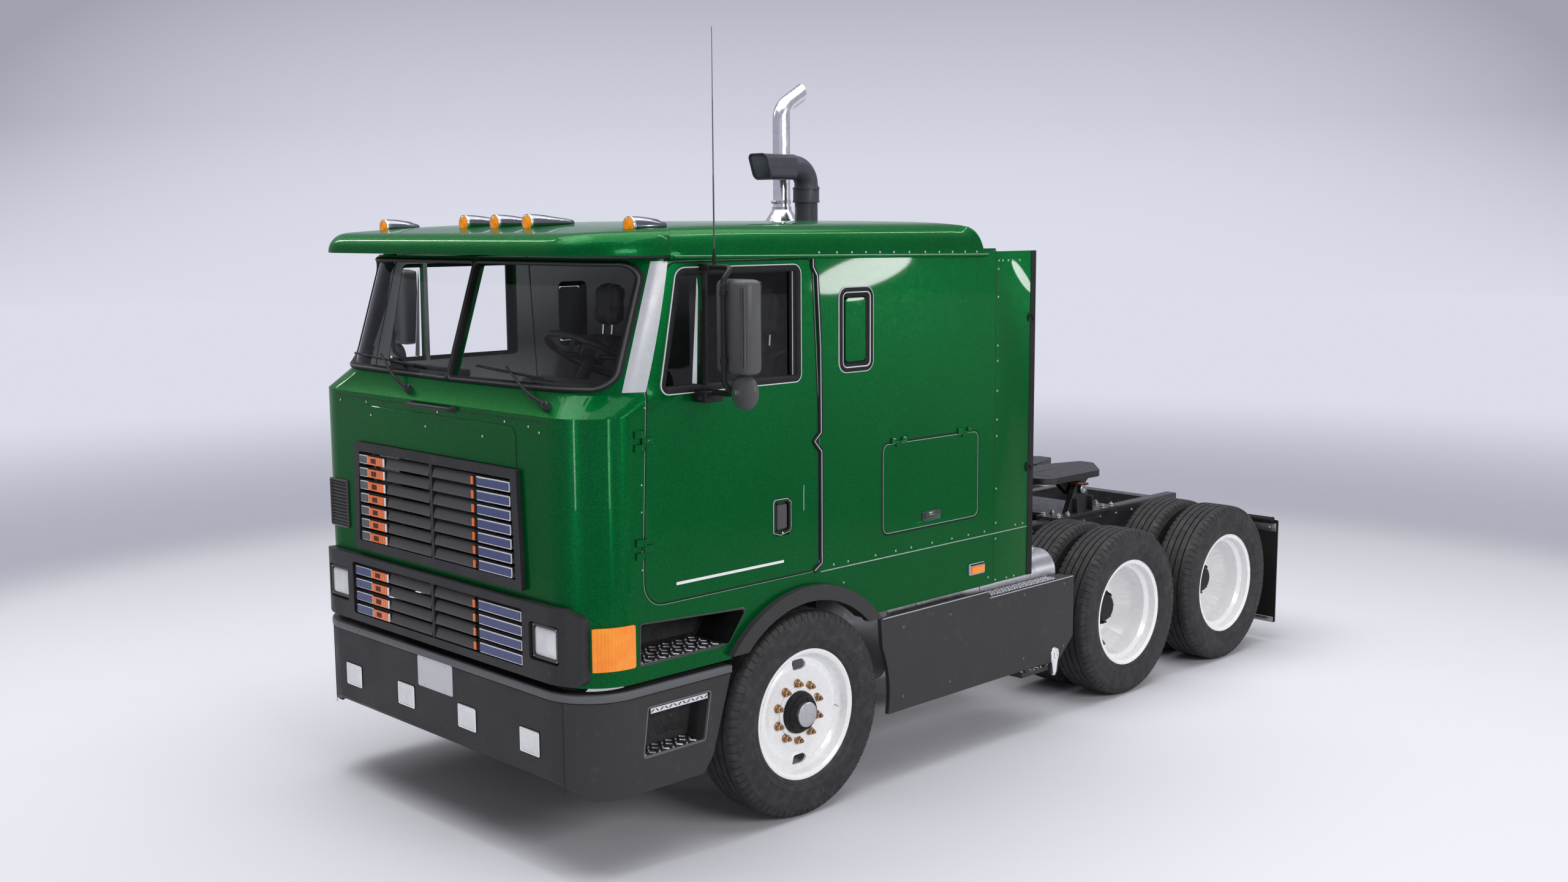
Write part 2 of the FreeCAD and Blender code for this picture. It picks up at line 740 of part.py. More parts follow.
def fifth_wheel_plate():
    top = coupler_top
    low = top - plate_thickness
    half = coupler_half_width
    plate = prism("xy", [
        (-half, coupler_y + 170, 60), (-half, 3000, 120), (-300, 2950, 120), (300, 2950, 120), (half, 3000, 120),
        (half, coupler_y + 170, 60), (230, coupler_y + 420, 30), (120, coupler_y + 420, 30),
        (jaw_radius + 1, coupler_y + 120), (-jaw_radius - 1, coupler_y + 120), (-120, coupler_y + 420, 30),
        (-230, coupler_y + 420, 30),
    ], low, top)
    jaw = rod(jaw_radius + 0.4, V(0, coupler_y, low - 100), V(0, coupler_y, top + 10))
    slot = box(-jaw_radius - 0.4, jaw_radius + 0.4, coupler_y, coupler_y + 140, low - 100, top + 10)
    block = prism("xy", [(-150, coupler_y - 110), (150, coupler_y - 110), (150, coupler_y + 110),
                         (-150, coupler_y + 110)], low - 40, low + 1, 30)
    ribs = []
    for x in (-345, 345):
        ribs.append(prism("yz", [(coupler_y - 200, low + 1), (coupler_y + 200, low + 1),
                                 (coupler_y + 50, coupler_pivot_z - 45, 40), (coupler_y - 50, coupler_pivot_z - 45, 40)],
                          x - 20, x + 20))
    pins = [rod(28, V(330, coupler_y, coupler_pivot_z), V(440, coupler_y, coupler_pivot_z)),
            rod(28, V(-440, coupler_y, coupler_pivot_z), V(-330, coupler_y, coupler_pivot_z))]
    return fused([plate, block] + ribs + pins).cut([jaw, slot])


def mud_flaps():
    bar = rod(22, V(-1150, rear_end - 25, 850), V(1150, rear_end - 25, 850))
    post = box(-rail_outer_x, rail_outer_x, rail_rear_y, rear_end - 20, 820, 880)
    flap = prism("xz", [(580, 130), (1180, 130), (1180, 850), (580, 850)], rear_end - 12, rear_end, 10)
    panel = box(-rail_outer_x, rail_outer_x, tail_panel_y - 10, tail_panel_y, tail_panel_bottom, 825)
    return fused([bar, post, panel] + both(flap))


def tail_lamps():
    """Round lamps on the rear face of the panel between the flaps."""
    y = tail_panel_y + seat_gap
    return [rod(tail_lamp_radius, V(x, y, tail_lamp_z), V(x, rear_end - 8, tail_lamp_z))
            for x in (-370, -250, 250, 370)]


# Cab

def cab_plan(z, front_y, corner, inset):
    x = cab_half_width - inset
    rear = cab_rear_y - inset
    front = front_y + inset
    corners = [(-x, front, corner - inset), (x, front, corner - inset), (x, rear, 0), (-x, rear, 0)]
    return rounded_edges([V(a, b, z) for a, b, r in corners], [r for a, b, r in corners])


def stacked(sections):
    """Solid between outlines of one kind, flat where both edges are straight and ruled at the corners."""
    faces = [Part.Face(Part.Wire(sections[0])), Part.Face(Part.Wire(sections[-1]))]
    for low, high in zip(sections, sections[1:]):
        for a, b in zip(low, high):
            ends = [a.valueAt(a.FirstParameter), a.valueAt(a.LastParameter),
                    b.valueAt(b.LastParameter), b.valueAt(b.FirstParameter)]
            straight = isinstance(a.Curve, Part.Line)
            flat = Part.Face(Part.makePolygon(ends + ends[:1])) if straight else Part.makeRuledSurface(a, b)
            faces.append(flat)
    shell = Part.makeShell(faces)
    shell.sewShape()
    solid = Part.makeSolid(shell)
    if solid.Volume < 0:
        solid.reverse()
    return solid.removeSplitter()


def cab_form(inset, low=cab_bottom, high=cab_top):
    """The cab's outer form, drawn inwards by inset, between two heights; its upper part rakes back."""
    share = (high - screen_foot_z) / (cab_top - screen_foot_z)
    head_y = screen_foot_y + (screen_head_y - screen_foot_y) * share
    sections = [cab_plan(belt_z, cab_front_y, cab_corner, inset),
                cab_plan(screen_foot_z, screen_foot_y, screen_corner, inset),
                cab_plan(high, head_y, screen_corner, inset)]
    if low < belt_z:
        sections.insert(0, cab_plan(low, cab_front_y, cab_corner, inset))
    return stacked(sections)


def door_outline(grow):
    return [
        (door_front_y - grow, door_bottom - grow, 100 + grow), (door_front_y - grow, 1475, 400),
        (-948 - grow, 2110, 200), (-924 - grow, 2253, 200), (-797 - grow, door_top + grow, 50 + grow),
        (75 + grow, door_top + grow, 30 + grow), (door_rear_y + grow, 1950, 400),
        (door_rear_y + grow, door_bottom - grow, 60 + grow),
    ]


def door_window(grow):
    front_low = -862 - grow
    front_high = -752 - grow
    return [(front_low, window_bottom - grow, 30), (-10 + grow, window_bottom - grow, 30),
            (-10 + grow, window_top + grow, 30), (front_high, window_top + grow, 40)]


def luggage_outline(grow):
    return [(luggage_front_y - grow, luggage_bottom - grow), (luggage_rear_y + grow, luggage_bottom - grow),
            (luggage_rear_y + grow, luggage_top + grow), (luggage_front_y - grow, luggage_top + grow)]


def step_outline(grow):
    return [(-1010 - grow, 1144 + grow), (-365 + grow, 1106 + grow), (-480 + grow, 956 - grow),
            (-1014 - grow, 956 - grow)]


def small_window(grow):
    return [(286 - grow, 2190 - grow), (495 + grow, 2190 - grow), (495 + grow, 2570 + grow), (286 - grow, 2570 + grow)]


def screen_outline(grow):
    outer = cab_half_width - 85
    return [(14 - grow, 2185 - grow, 20), (outer + grow, 2195 - grow, 70), (outer + grow, 2722 + grow, 70),
            (14 - grow, 2722 + grow, 20)]


def screen_cut(grow):
    return prism("xz", screen_outline(grow), cab_front_y - 50, -600)


def cab_walls():
    walls = cab_form(0).cut(cab_form(cab_wall, cab_bottom - 5, cab_top + 5))
    low = cab_bottom - 10
    rear_low = box(-reach_x, reach_x, 250, 1600, low, cab_side_bottom)
    inside = cab_half_width - cab_wall
    rear_bay = box(-inside, inside, 300, 1600, low, floor_bottom)
    arch = rod(arch_radius, V(-reach_x, arch_centre_y, arch_centre_z), V(reach_x, arch_centre_y, arch_centre_z))
    arch_gap = box(-reach_x, reach_x, -461, 500, low, arch_centre_z + 430)
    return walls.cut([rear_low, rear_bay, arch, arch_gap])


def cab_floor():
    top = floor_bottom + floor_thickness
    inner = cab_half_width - cab_wall + 1
    rear = cab_rear_y - cab_wall + 1
    floor = cab_form(cab_wall - 1, floor_bottom, cab_top).common(box(-inner, inner, -1400, rear, floor_bottom, top))
    half = tunnel_half_width
    tunnel_out = box(-half - tunnel_wall, half + tunnel_wall, cab_front_y + 10, rear, floor_bottom,
                     tunnel_roof + tunnel_wall)
    tunnel_in = box(-half, half, cab_front_y - 10, rear + 200, floor_bottom - 5, tunnel_roof)
    bunk = cab_form(cab_wall - 1, tunnel_roof, cab_top).common(
        box(-inner, inner, bunk_front_y, rear, tunnel_roof, tunnel_roof + tunnel_wall))
    front_board = cab_form(cab_wall - 1, floor_bottom, cab_top).common(
        box(-inner, inner, bunk_front_y, bunk_front_y + 20, floor_bottom, tunnel_roof + 1))
    return fused([floor, tunnel_out, bunk, front_board]).cut(tunnel_in)


def barrel_spans(moving, half, reach):
    """The door's knuckle lies between the two of the cab; heights run from the hinge's middle."""
    if moving:
        return [(-half, half)]
    return [(-reach, -half - seat_gap), (half + seat_gap, reach)]


def door_hinges(moving):
    y = door_front_y - panel_gap / 2
    pieces = []
    for z in (1480, 1960):
        for low, high in barrel_spans(moving, 14, 46):
            pieces.append(rod(hinge_radius, V(hinge_axis_x, y, z + low), V(hinge_axis_x, y, z + high)))
            leaf = (y, y + hinge_leaf) if moving else (y - hinge_leaf, y)
            foot = (leaf[1] - hinge_foot, leaf[1]) if moving else (leaf[0], leaf[0] + hinge_foot)
            pieces.append(box(cab_half_width + seat_gap, hinge_axis_x + 3, leaf[0], leaf[1], z + low, z + high))
            pieces.append(box(cab_half_width - 3, hinge_axis_x + 3, foot[0], foot[1], z + low, z + high))
    return pieces


def door_hinge_relief():
    y = door_front_y - panel_gap / 2
    return [rod(hinge_radius + hinge_relief, V(hinge_axis_x, y, z - 52), V(hinge_axis_x, y, z + 52))
            for z in (1480, 1960)]


def luggage_hinges(moving):
    """Barrels of the hinge along the luggage door's upper edge."""
    z = luggage_top + panel_gap / 2
    pieces = []
    for y in (luggage_front_y + 120, luggage_rear_y - 120):
        for low, high in barrel_spans(moving, 20, 60):
            pieces.append(rod(luggage_hinge_radius, V(luggage_axis_x, y + low, z), V(luggage_axis_x, y + high, z)))
            leaf = (z - 25, z) if moving else (z, z + 25)
            pieces.append(box(cab_half_width - 3, luggage_axis_x + 2, y + low, y + high, leaf[0], leaf[1]))
    return pieces


def luggage_hinge_relief():
    z = luggage_top + panel_gap / 2
    radius = luggage_hinge_radius + hinge_relief
    return [rod(radius, V(luggage_axis_x, y - 66, z), V(luggage_axis_x, y + 66, z))
            for y in (luggage_front_y + 120, luggage_rear_y - 120)]


def cab_shell():
    shell = cab_walls().fuse(cab_floor())
    pockets = []
    cuts = [screen_cut(0), mirrored(screen_cut(0))]
    depth = 235
    for sign in (1, -1):
        pocket = prism("yz", step_outline(12), cab_half_width - depth - 12, cab_half_width - 10, 20)
        hollow = prism("yz", step_outline(0), cab_half_width - depth, cab_half_width + 10, 20)
        door = prism("yz", door_outline(panel_gap), cab_half_width - cab_wall - 60, cab_half_width + 60)
        luggage = prism("yz", luggage_outline(panel_gap), cab_half_width - cab_wall - 5, cab_half_width + 5, 45)
        small = prism("yz", small_window(0), cab_half_width - cab_wall - 5, cab_half_width + 5, 35)
        group = [hollow, door, luggage, small] + door_hinge_relief() + luggage_hinge_relief()
        if sign < 0:
            pocket = mirrored(pocket)
            group = [mirrored(g) for g in group]
        pockets.append(pocket)
        cuts += group
    low = grille_half_width_bottom - 66
    high = grille_half_width_top - 62
    upper = prism("xz", [(-low, grille_bottom + 36), (low, grille_bottom + 36), (high, grille_top - 31),
                         (-high, grille_top - 31)], cab_front_y - 10, cab_front_y + 60, 10)
    half = bezel_window - 40
    lower = prism("xz", [(-half, bezel_bottom + 37), (half, bezel_bottom + 37), (half, bezel_top - 42),
                         (-half, bezel_top - 42)], cab_front_y - 10, cab_front_y + 60, 10)
    cuts += [upper, lower]
    shell = shell.fuse(pockets).cut(cuts)
    hinges = door_hinges(False) + luggage_hinges(False)
    return fused([shell] + hinges + [mirrored(h) for h in hinges])


def roof_form(inset, plan_inset):
    """Side profile, cross-section and plan of the roof in common; the visor is a little wider than the rest."""
    y0 = visor_front_y + plan_inset
    y1 = roof_rear_y - plan_inset
    side = prism("yz", [
        (y0, visor_bottom - 60), (y0, visor_nose - inset, 55), (-860, 2893 - inset, 500),
        (-300, roof_top - inset, 900), (1100, roof_top - inset - 15, 260), (y1 - 65, 2848 - inset, 120),
        (y1, 2790 - inset, 40), (y1, drip_rear_z - 10),
    ], -visor_half_width - 10, visor_half_width + 10)
    x = visor_half_width - plan_inset
    across = prism("xz", [(-x, 2600), (x, 2600), (x, 2790 - inset, 45), (x - 120, 2872 - inset, 150),
                          (x - 420, 2912 - inset, 700), (0, roof_top + 8 - inset, 3000), (420 - x, 2912 - inset, 700),
                          (120 - x, 2872 - inset, 150), (-x, 2790 - inset, 45)], visor_front_y - 10, roof_rear_y + 10)
    corner = visor_corner - plan_inset
    x1 = roof_half_width - plan_inset
    front = y0 - plan_overhang
    rear = y1 + plan_overhang
    plan = prism("xy", [(-x, front, corner), (x, front, corner), (x, visor_rear_y - 12, 8), (x1, visor_rear_y, 8),
                        (x1, rear, 45), (-x1, rear, 45), (-x1, visor_rear_y, 8), (-x, visor_rear_y - 12, 8)],
                 2590, roof_top + 20)
    return side.common(across).common(plan)


def roof_cap():
    outer = roof_form(0, 0)
    hollow = roof_form(roof_wall, 75).cut(box(-reach_x, reach_x, -1500, -960, 2500, 3000))
    under = prism("yz", [(-1500, 2600), (-1500, visor_bottom), (visor_rear_y, visor_bottom),
                         (visor_rear_y + 40, drip_front_z), (roof_rear_y + 50, drip_rear_z), (roof_rear_y + 50, 2600)],
                  -reach_x, reach_x)
    walls = cab_form(-seat_gap, cab_bottom, cab_top + seat_gap)
    shell = outer.cut([under, walls, hollow])
    tail = box(-cab_half_width, cab_half_width, roof_rear_y - 20, cab_rear_y, cab_top + seat_gap, cab_top + roof_tail)
    return fused([shell, tail])


def marker_lights():
    """Bullet lamps: a round nose that tapers into the roof behind it."""
    lamps = []
    wide = cab_half_width - 145
    for x, tail in ((-wide, -700), (-267, -640), (0, -640), (267, -640), (wide, -700)):
        z = 2912 if abs(x) < 600 else 2898
        nose = Part.Wire(Part.Circle(V(x, -920, z), V(0, 1, 0), 41).toShape())
        waist = Part.Wire(Part.Circle(V(x, -860, z), V(0, 1, 0), 39).toShape())
        end = Part.Wire(Part.Circle(V(x, tail, z), V(0, 1, 0), 14).toShape())
        lamps.append(Part.makeLoft([nose, waist, end], True, True))
    roof = roof_form(-seat_gap, 0)
    return [lamp.cut(roof) for lamp in lamps]


def cab_underframe():
    x0 = pivot_arm_x - pivot_arm_width / 2
    x1 = pivot_arm_x + pivot_arm_width / 2
    arm = prism("yz", [
        (pivot_y - 42, pivot_z - 42, 40), (pivot_y + 60, pivot_z - 42, 40), (-890, 600, 80), (-890, floor_bottom - 60),
        (1440, floor_bottom - 60), (1440, floor_bottom - seat_gap), (-1000, floor_bottom - seat_gap), (-1000, 720, 80),
        (pivot_y - 42, pivot_z + 42, 40),
    ], x0, x1)
    bore = rod(pivot_pin_radius + running_clearance, V(x0 - 5, pivot_y, pivot_z), V(x1 + 5, pivot_y, pivot_z))
    arm = arm.cut(bore)
    return both(arm)


def arch_flares():
    x0 = cab_half_width + seat_gap
    x1 = cab_half_width + flare_stand
    outer = rod(flare_radius, V(x0, arch_centre_y, arch_centre_z), V(x1, arch_centre_y, arch_centre_z))
    inner = rod(arch_radius, V(x0 - 5, arch_centre_y, arch_centre_z), V(x1 + 5, arch_centre_y, arch_centre_z))
    below = box(x0 - 5, x1 + 5, -900, 900, -400, skirt_top + 6)
    flare = outer.cut([inner, below])
    return both(flare)


def upper_grille():
    y0 = cab_front_y - grille_depth
    y1 = cab_front_y - seat_gap
    outer = [(-grille_half_width_bottom, grille_bottom), (grille_half_width_bottom, grille_bottom),
             (grille_half_width_top, grille_top), (-grille_half_width_top, grille_top)]
    f = grille_frame
    inner = [(-grille_half_width_bottom + f, grille_bottom + f), (grille_half_width_bottom - f, grille_bottom + f),
             (grille_half_width_top - f, grille_top - f), (-grille_half_width_top + f, grille_top - f)]
    frame = prism("xz", outer, y0, y1, 12).cut(prism("xz", inner, y0 - 5, y1 + 5, 6))
    pieces = [frame, box(-11, 11, y0 + 2, y1, grille_bottom + 10, grille_top - 10)]
    pitch = (grille_top - grille_bottom - 2 * f) / grille_rows
    for i in range(grille_rows):
        z = grille_bottom + f + pitch * (i + 0.5)
        pieces.append(prism("yz", [(y0 + 4, z - 26), (y0 + 10, z - 26), (y1, z + 14), (y1, z + 20), (y1 - 6, z + 20)],
                            -grille_half_width_top + 20, grille_half_width_top - 20))
    return fused(pieces)


def bezel_plan(stand):
    x = cab_half_width + stand * 0.3
    y = cab_front_y - stand
    corner = cab_corner + stand * 0.3
    return [(-x, y, corner), (x, y, corner), (x, -900), (-x, -900)]


def lower_bezel():
    body = prism("xy", bezel_plan(bezel_stand), bezel_bottom, bezel_top)
    body = body.cut(prism("xy", bezel_plan(seat_gap), bezel_bottom - 5, bezel_top + 5))
    half = bezel_half_width
    body = body.common(prism("xz", [
        (-half, bezel_bottom, 30), (half, bezel_bottom, 30), (half, bezel_top - 42, 12), (half - 75, bezel_top, 12),
        (75 - half, bezel_top, 12), (-half, bezel_top - 42, 12),
    ], -1400, -900))
    f = bezel_frame
    half = bezel_window
    window = prism("xz", [(-half, bezel_bottom + f), (half, bezel_bottom + f), (half, bezel_top - f),
                          (-half, bezel_top - f)], -1400, cab_front_y + 5, 12)
    x0 = headlight_centre_x - headlight_half_width - headlight_rim
    x1 = headlight_centre_x + headlight_half_width + headlight_rim
    low = headlight_bottom - headlight_rim
    high = headlight_top + headlight_rim
    lamp = prism("xz", [(x0, low), (x1, low), (x1, high), (x0, high)], -1400, cab_front_y + 5, 16)
    body = body.cut([window, lamp, mirrored(lamp)])
    y0 = cab_front_y - bezel_stand
    y1 = cab_front_y - seat_gap
    pieces = [body, box(-10, 10, y0 + 6, y1, bezel_bottom + 10, bezel_top - 10)]
    pitch = (bezel_top - bezel_bottom - 2 * f) / bezel_rows
    for i in range(bezel_rows):
        z = bezel_bottom + f + pitch * (i + 0.5)
        pieces.append(prism("yz", [(y0 + 8, z - 24), (y0 + 14, z - 24), (y1, z + 12), (y1, z + 20), (y1 - 8, z + 20)],
                            -bezel_window - 5, bezel_window + 5))
    return fused(pieces)


def headlights():
    x0 = headlight_centre_x - headlight_half_width
    x1 = headlight_centre_x + headlight_half_width
    lamp = prism("xz", [(x0, headlight_bottom), (x1, headlight_bottom), (x1, headlight_top), (x0, headlight_top)],
                 cab_front_y - 24, cab_front_y - seat_gap, 14)
    return both(lamp)


def turn_lamps():
    outer = cab_half_width + 100
    block = prism("yz", [(-1290, turn_lamp_bottom), (-1040, turn_lamp_bottom), (-1040, turn_lamp_top),
                         (-1290, turn_lamp_top)], bezel_half_width - 200, outer, 12)
    ring = prism("xy", bezel_plan(18), 900, 1200).cut(prism("xy", bezel_plan(seat_gap), 800, 1300))
    lamp = ring.common(block).common(box(bezel_half_width + 18, outer, -1300, -1000, 900, 1200))
    return both(lamp)


def cab_glass():
    shell = cab_form(pane_inset).cut(cab_form(pane_inset + pane_thickness, cab_bottom - 5, cab_top + 5))
    panes = []
    for cut in (screen_cut(-seat_gap), mirrored(screen_cut(-seat_gap))):
        panes.append(shell.common(cut))
    x = cab_half_width
    small = prism("yz", small_window(-seat_gap), x - pane_inset - pane_thickness, x - pane_inset, 34)
    return panes + both(small)


def dashboard():
    half = cab_half_width - cab_wall - 2
    body = prism("yz", [(-1250, 1900), (-880, 1900, 30), (-850, 2080, 60), (-960, 2155, 60), (-1130, 2160, 20),
                        (-1250, 2060, 20)], -half, half)
    body = body.common(cab_form(cab_wall + 1, floor_bottom, cab_top))
    return body


def steering_wheel():
    centre = V(600, -800, 2290)
    axis = V(0, 0.5, 0.86)
    rim_ring = Part.makeTorus(230, 16, centre, axis)
    column = rod(28, centre, V(600, -990, 2010))
    spokes = [rod(12, centre, centre + V(225, 0, 0)), rod(12, centre, centre - V(225, 0, 0))]
    boss = rod(60, centre - axis * 20, centre + axis * 20)
    whole = fused([rim_ring, boss, column] + spokes)
    return whole.cut(dashboard())


def seat():
    floor_top = floor_bottom + floor_thickness
    base = box(470, 810, -420, 0, floor_top + seat_gap, 1560)
    cushion = prism("yz", [(-520, 1600, 50), (90, 1560, 40), (110, 1700, 50), (-540, 1745, 60)], 420, 870)
    back = prism("yz", [(40, 1640, 30), (170, 1640, 40), (330, 2300, 60), (210, 2320, 60)], 415, 875)
    head = prism("yz", [(215, 2330, 30), (330, 2330, 30), (350, 2560, 50), (255, 2580, 50)], 530, 760)
    neck = box(600, 690, 240, 300, 2290, 2350)
    return fused([base, box(470, 810, -420, 0, 1550, 1620), cushion, back, head, neck])


def bunk():
    inner = cab_half_width - cab_wall - 6
    low = tunnel_roof + tunnel_wall + seat_gap
    return prism("xy", [(-inner, bunk_front_y + 20), (inner, bunk_front_y + 20), (inner, 1445), (-inner, 1445)],
                 low, low + 140, 40)


def side_extenders():
    """Fairing wings behind the sleeper with their rubber edge."""
    x1 = cab_half_width
    top = cab_top - 5
    y1 = extender_rear_y - extender_edge
    wing = box(x1 - 20, x1, cab_rear_y + seat_gap, y1, cab_side_bottom, top)
    edge = box(x1 - 30, x1 + 4, y1, extender_rear_y, cab_side_bottom, top)
    return both(fused([wing, edge]))


def door():
    """Left door cut from the cab's own form, with its window opening and hinge leaves."""
    skin = cab_form(0).cut(cab_form(cab_wall, cab_bottom - 5, cab_top + 5))
    blank = skin.common(prism("yz", door_outline(0), cab_half_width - 200, cab_half_width + 10))
    window = prism("yz", door_window(0), cab_half_width - 250, cab_half_width + 10)
    post = box(cab_half_width - cab_wall + 8, cab_half_width - 6, -618, -592, window_bottom - 5, window_top + 5)
    handle = prism("yz", [(-182, 1420), (-71, 1420), (-71, 1600), (-182, 1600)],
                   cab_half_width - 18, cab_half_width + 5, 20)
    grip = box(cab_half_width - 19, cab_half_width - 8, -150, -100, 1440, 1580)
    shape = blank.cut([window, handle] + door_hinge_relief())
    return fused([shape, post, grip] + door_hinges(True))


def door_glass():
    form = cab_form(pane_inset).cut(cab_form(pane_inset + pane_thickness, cab_bottom - 5, cab_top + 5))
    pane = form.common(prism("yz", door_window(-seat_gap), cab_half_width - 250, cab_half_width + 10))
    post = box(cab_half_width - 100, cab_half_width + 10, -618 - seat_gap, -592 + seat_gap, 2000, 2800)
    return pane.cut(post)


def mirror():
    y = mirror_y
    x = mirror_x
    top = 2710
    low = 2150
    face = cab_half_width + seat_gap
    frame = bent_tube([V(face, y, top), V(x, y, top), V(x, y, low), V(face, y, low)], 13, 50)
    blocks = [box(face, face + 70, y - 22, y + 22, top - 18, top + 14),
              box(face, face + 80, y - 60, y + 60, 2105, 2160)]
    head = prism("xy", [(x - 85, y - 45), (x + 138, y - 45), (x + 138, y + 55), (x - 85, y + 55)], 2240, 2660, 32)
    spot_disc = rod(88, V(x + 70, y - 30, 2165), V(x + 70, y + 20, 2165))
    arm = box(x - 5, x + 80, y - 8, y + 8, 2158, 2174)
    return fused([frame, head, spot_disc, arm] + blocks)


def antenna():
    x = cab_half_width + 85
    return [rod(9, V(x, mirror_y, 2700), V(x, mirror_y, 2790)), rod(4, V(x, mirror_y, 2780), V(x, mirror_y, 3750))]


def luggage_door():
    x = cab_half_width
    slab = prism("yz", luggage_outline(0), x - cab_wall, x, 40)
    latch = prism("yz", [(900, 1350), (1040, 1350), (1040, 1400), (900, 1400)], x - 12, x + 5, 10)
    return fused([slab.cut([latch] + luggage_hinge_relief())] + luggage_hinges(True))


def wipers():
    arms = []
    out = V(0, belt_z - screen_foot_z, screen_foot_y - cab_front_y).normalize()
    for x, reach, tip_z in ((-255, 305, 2260), (cab_half_width - 298, 352, 2270)):
        tip_x = x - reach
        foot = V(x, -1271, 2100) + out * (14 + seat_gap)
        base = rod(16, foot - out * 14, foot + out * 14)
        arm = bent_tube([foot, V((x + tip_x) / 2, -1262, 2200), V(tip_x, -1232, tip_z)], 7, 60)
        blade = rod(8, V(tip_x - 200, -1232, tip_z - 60), V(tip_x + 200, -1232, tip_z - 20))
        arms.append(fused([base, arm, blade]))
    return arms


def main():
    os.makedirs("parts", exist_ok=True)
    axle_z = tyre_radius
    save("frame_rails", frame_rails())
    save("bumper", bumper())
    save("bumper_lamps", bumper_lamps())
    save("front_axle", front_axle())
    save_pair("knuckle", at(knuckle(), kingpin_x, 0, axle_z))
    save("tie_rod", tie_rod())
    save_pair("front_tyre", at(tyre(), front_wheel_x, 0, axle_z))
    save_pair("front_wheel", at(front_wheel(), front_wheel_x, 0, axle_z))
    middle_x = rear_wheel_x - dual_spacing / 2
    duals = rear_wheel()
    treads = [at(tyre(), middle_x - dual_spacing / 2, 0, 0), at(tyre(), middle_x + dual_spacing / 2, 0, 0)]
    for name, y in (("mid", tandem_front_y), ("rear", tandem_front_y + tandem_spacing)):
        pair = Part.makeCompound([at(t, 0, y, axle_z) for t in treads])
        save_pair(name + "_tyres", pair)
        save_pair(name + "_wheels", at(duals, middle_x, y, axle_z))
    save("rear_axles", rear_axles())
    save("driveline", driveline())
    save("engine_block", engine_block())
    save("radiator", radiator())
    save("fuel_tanks", fuel_tanks())
    save("side_fairings", both(skirt()))
    save("exhaust_stack", exhaust_stack())
    save("air_intake", air_intake())
    save("deck_plate", deck_plate())
    save("fifth_wheel_base", fifth_wheel_base())
    save("fifth_wheel_plate", fifth_wheel_plate())
    save("mud_flaps", mud_flaps())
    save("tail_lamps", tail_lamps())
    save("cab_shell", cab_shell())
    save("roof_cap", roof_cap())
    save("marker_lights", marker_lights())
    save("cab_underframe", cab_underframe())
    save("arch_flares", arch_flares())
    save("upper_grille", upper_grille())
    save("lower_bezel", lower_bezel())
    save("headlights", headlights())
    save("turn_lamps", turn_lamps())
    save("cab_glass", cab_glass())
    save("dashboard", dashboard())
    save("steering_wheel", steering_wheel())
    save("seats", both(seat()))
    save("bunk", bunk())
    save("side_extenders", side_extenders())
    save("wipers", wipers())
    save_pair("door", door())
    save_pair("door_glass", door_glass())
    save("mirror_left", fused([mirror()] + antenna()))
    save("mirror_right", mirrored(mirror()))
    save_pair("luggage_door", luggage_door())


main()
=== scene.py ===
import math

import bmesh
import bpy
import numpy as np
from mathutils import Matrix, Quaternion, Vector


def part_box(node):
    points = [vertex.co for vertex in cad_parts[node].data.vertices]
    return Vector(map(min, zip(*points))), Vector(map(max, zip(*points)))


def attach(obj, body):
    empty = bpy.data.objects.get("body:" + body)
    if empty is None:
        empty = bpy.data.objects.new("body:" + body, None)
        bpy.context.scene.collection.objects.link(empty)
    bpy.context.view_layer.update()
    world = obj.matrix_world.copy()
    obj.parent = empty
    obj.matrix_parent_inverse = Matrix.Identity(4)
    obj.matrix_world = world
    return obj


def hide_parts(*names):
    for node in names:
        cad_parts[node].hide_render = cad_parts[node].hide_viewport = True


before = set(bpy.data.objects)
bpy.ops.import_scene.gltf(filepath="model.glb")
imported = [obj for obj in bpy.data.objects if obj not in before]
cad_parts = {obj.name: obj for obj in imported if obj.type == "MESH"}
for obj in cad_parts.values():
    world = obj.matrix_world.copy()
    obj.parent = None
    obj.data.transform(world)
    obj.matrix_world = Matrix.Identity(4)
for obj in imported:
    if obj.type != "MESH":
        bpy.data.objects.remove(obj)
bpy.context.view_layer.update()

# Cab-over sleeper tractor unit. Metres, +Z up, +Y to the rear, +X to the vehicle's left.
# Places are measured from the front axle, as the frame's own sizes are, and moved to the frame by axleY.

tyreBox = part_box("front_tyre_left")
axleY = (tyreBox[0].y + tyreBox[1].y) / 2
tyreRadius = (tyreBox[1].z - tyreBox[0].z) / 2
print("frame loaded, front axle at", round(axleY, 3))


# Shader maths: an expression on Val adds the Math node that it needs.

class Val:
    def __init__(self, tree, socket):
        self.tree = tree
        self.socket = socket

    def run(self, operation, *others):
        node = self.tree.nodes.new("ShaderNodeMath")
        node.operation = operation
        for place, value in enumerate((self,) + others):
            feed(self.tree, value, node.inputs[place])
        return Val(self.tree, node.outputs[0])

    def __add__(self, other):
        return self.run("ADD", other)

    __radd__ = __add__

    def __mul__(self, other):
        return self.run("MULTIPLY", other)

    __rmul__ = __mul__

    def __sub__(self, other):
        return self.run("SUBTRACT", other)

    def __rsub__(self, other):
        return (self * -1).run("ADD", other)

    def __truediv__(self, other):
        return self.run("DIVIDE", other)

    def __gt__(self, other):
        return self.run("GREATER_THAN", other)

    def __abs__(self):
        return self.run("ABSOLUTE")

    def sin(self):
        return self.run("SINE")

    def wrap(self, size):
        return self.run("WRAP", size, 0.0)

    def clamp(self):
        return self.run("MAXIMUM", 0.0).run("MINIMUM", 1.0)

    def high(self, other):
        return self.run("MAXIMUM", other)


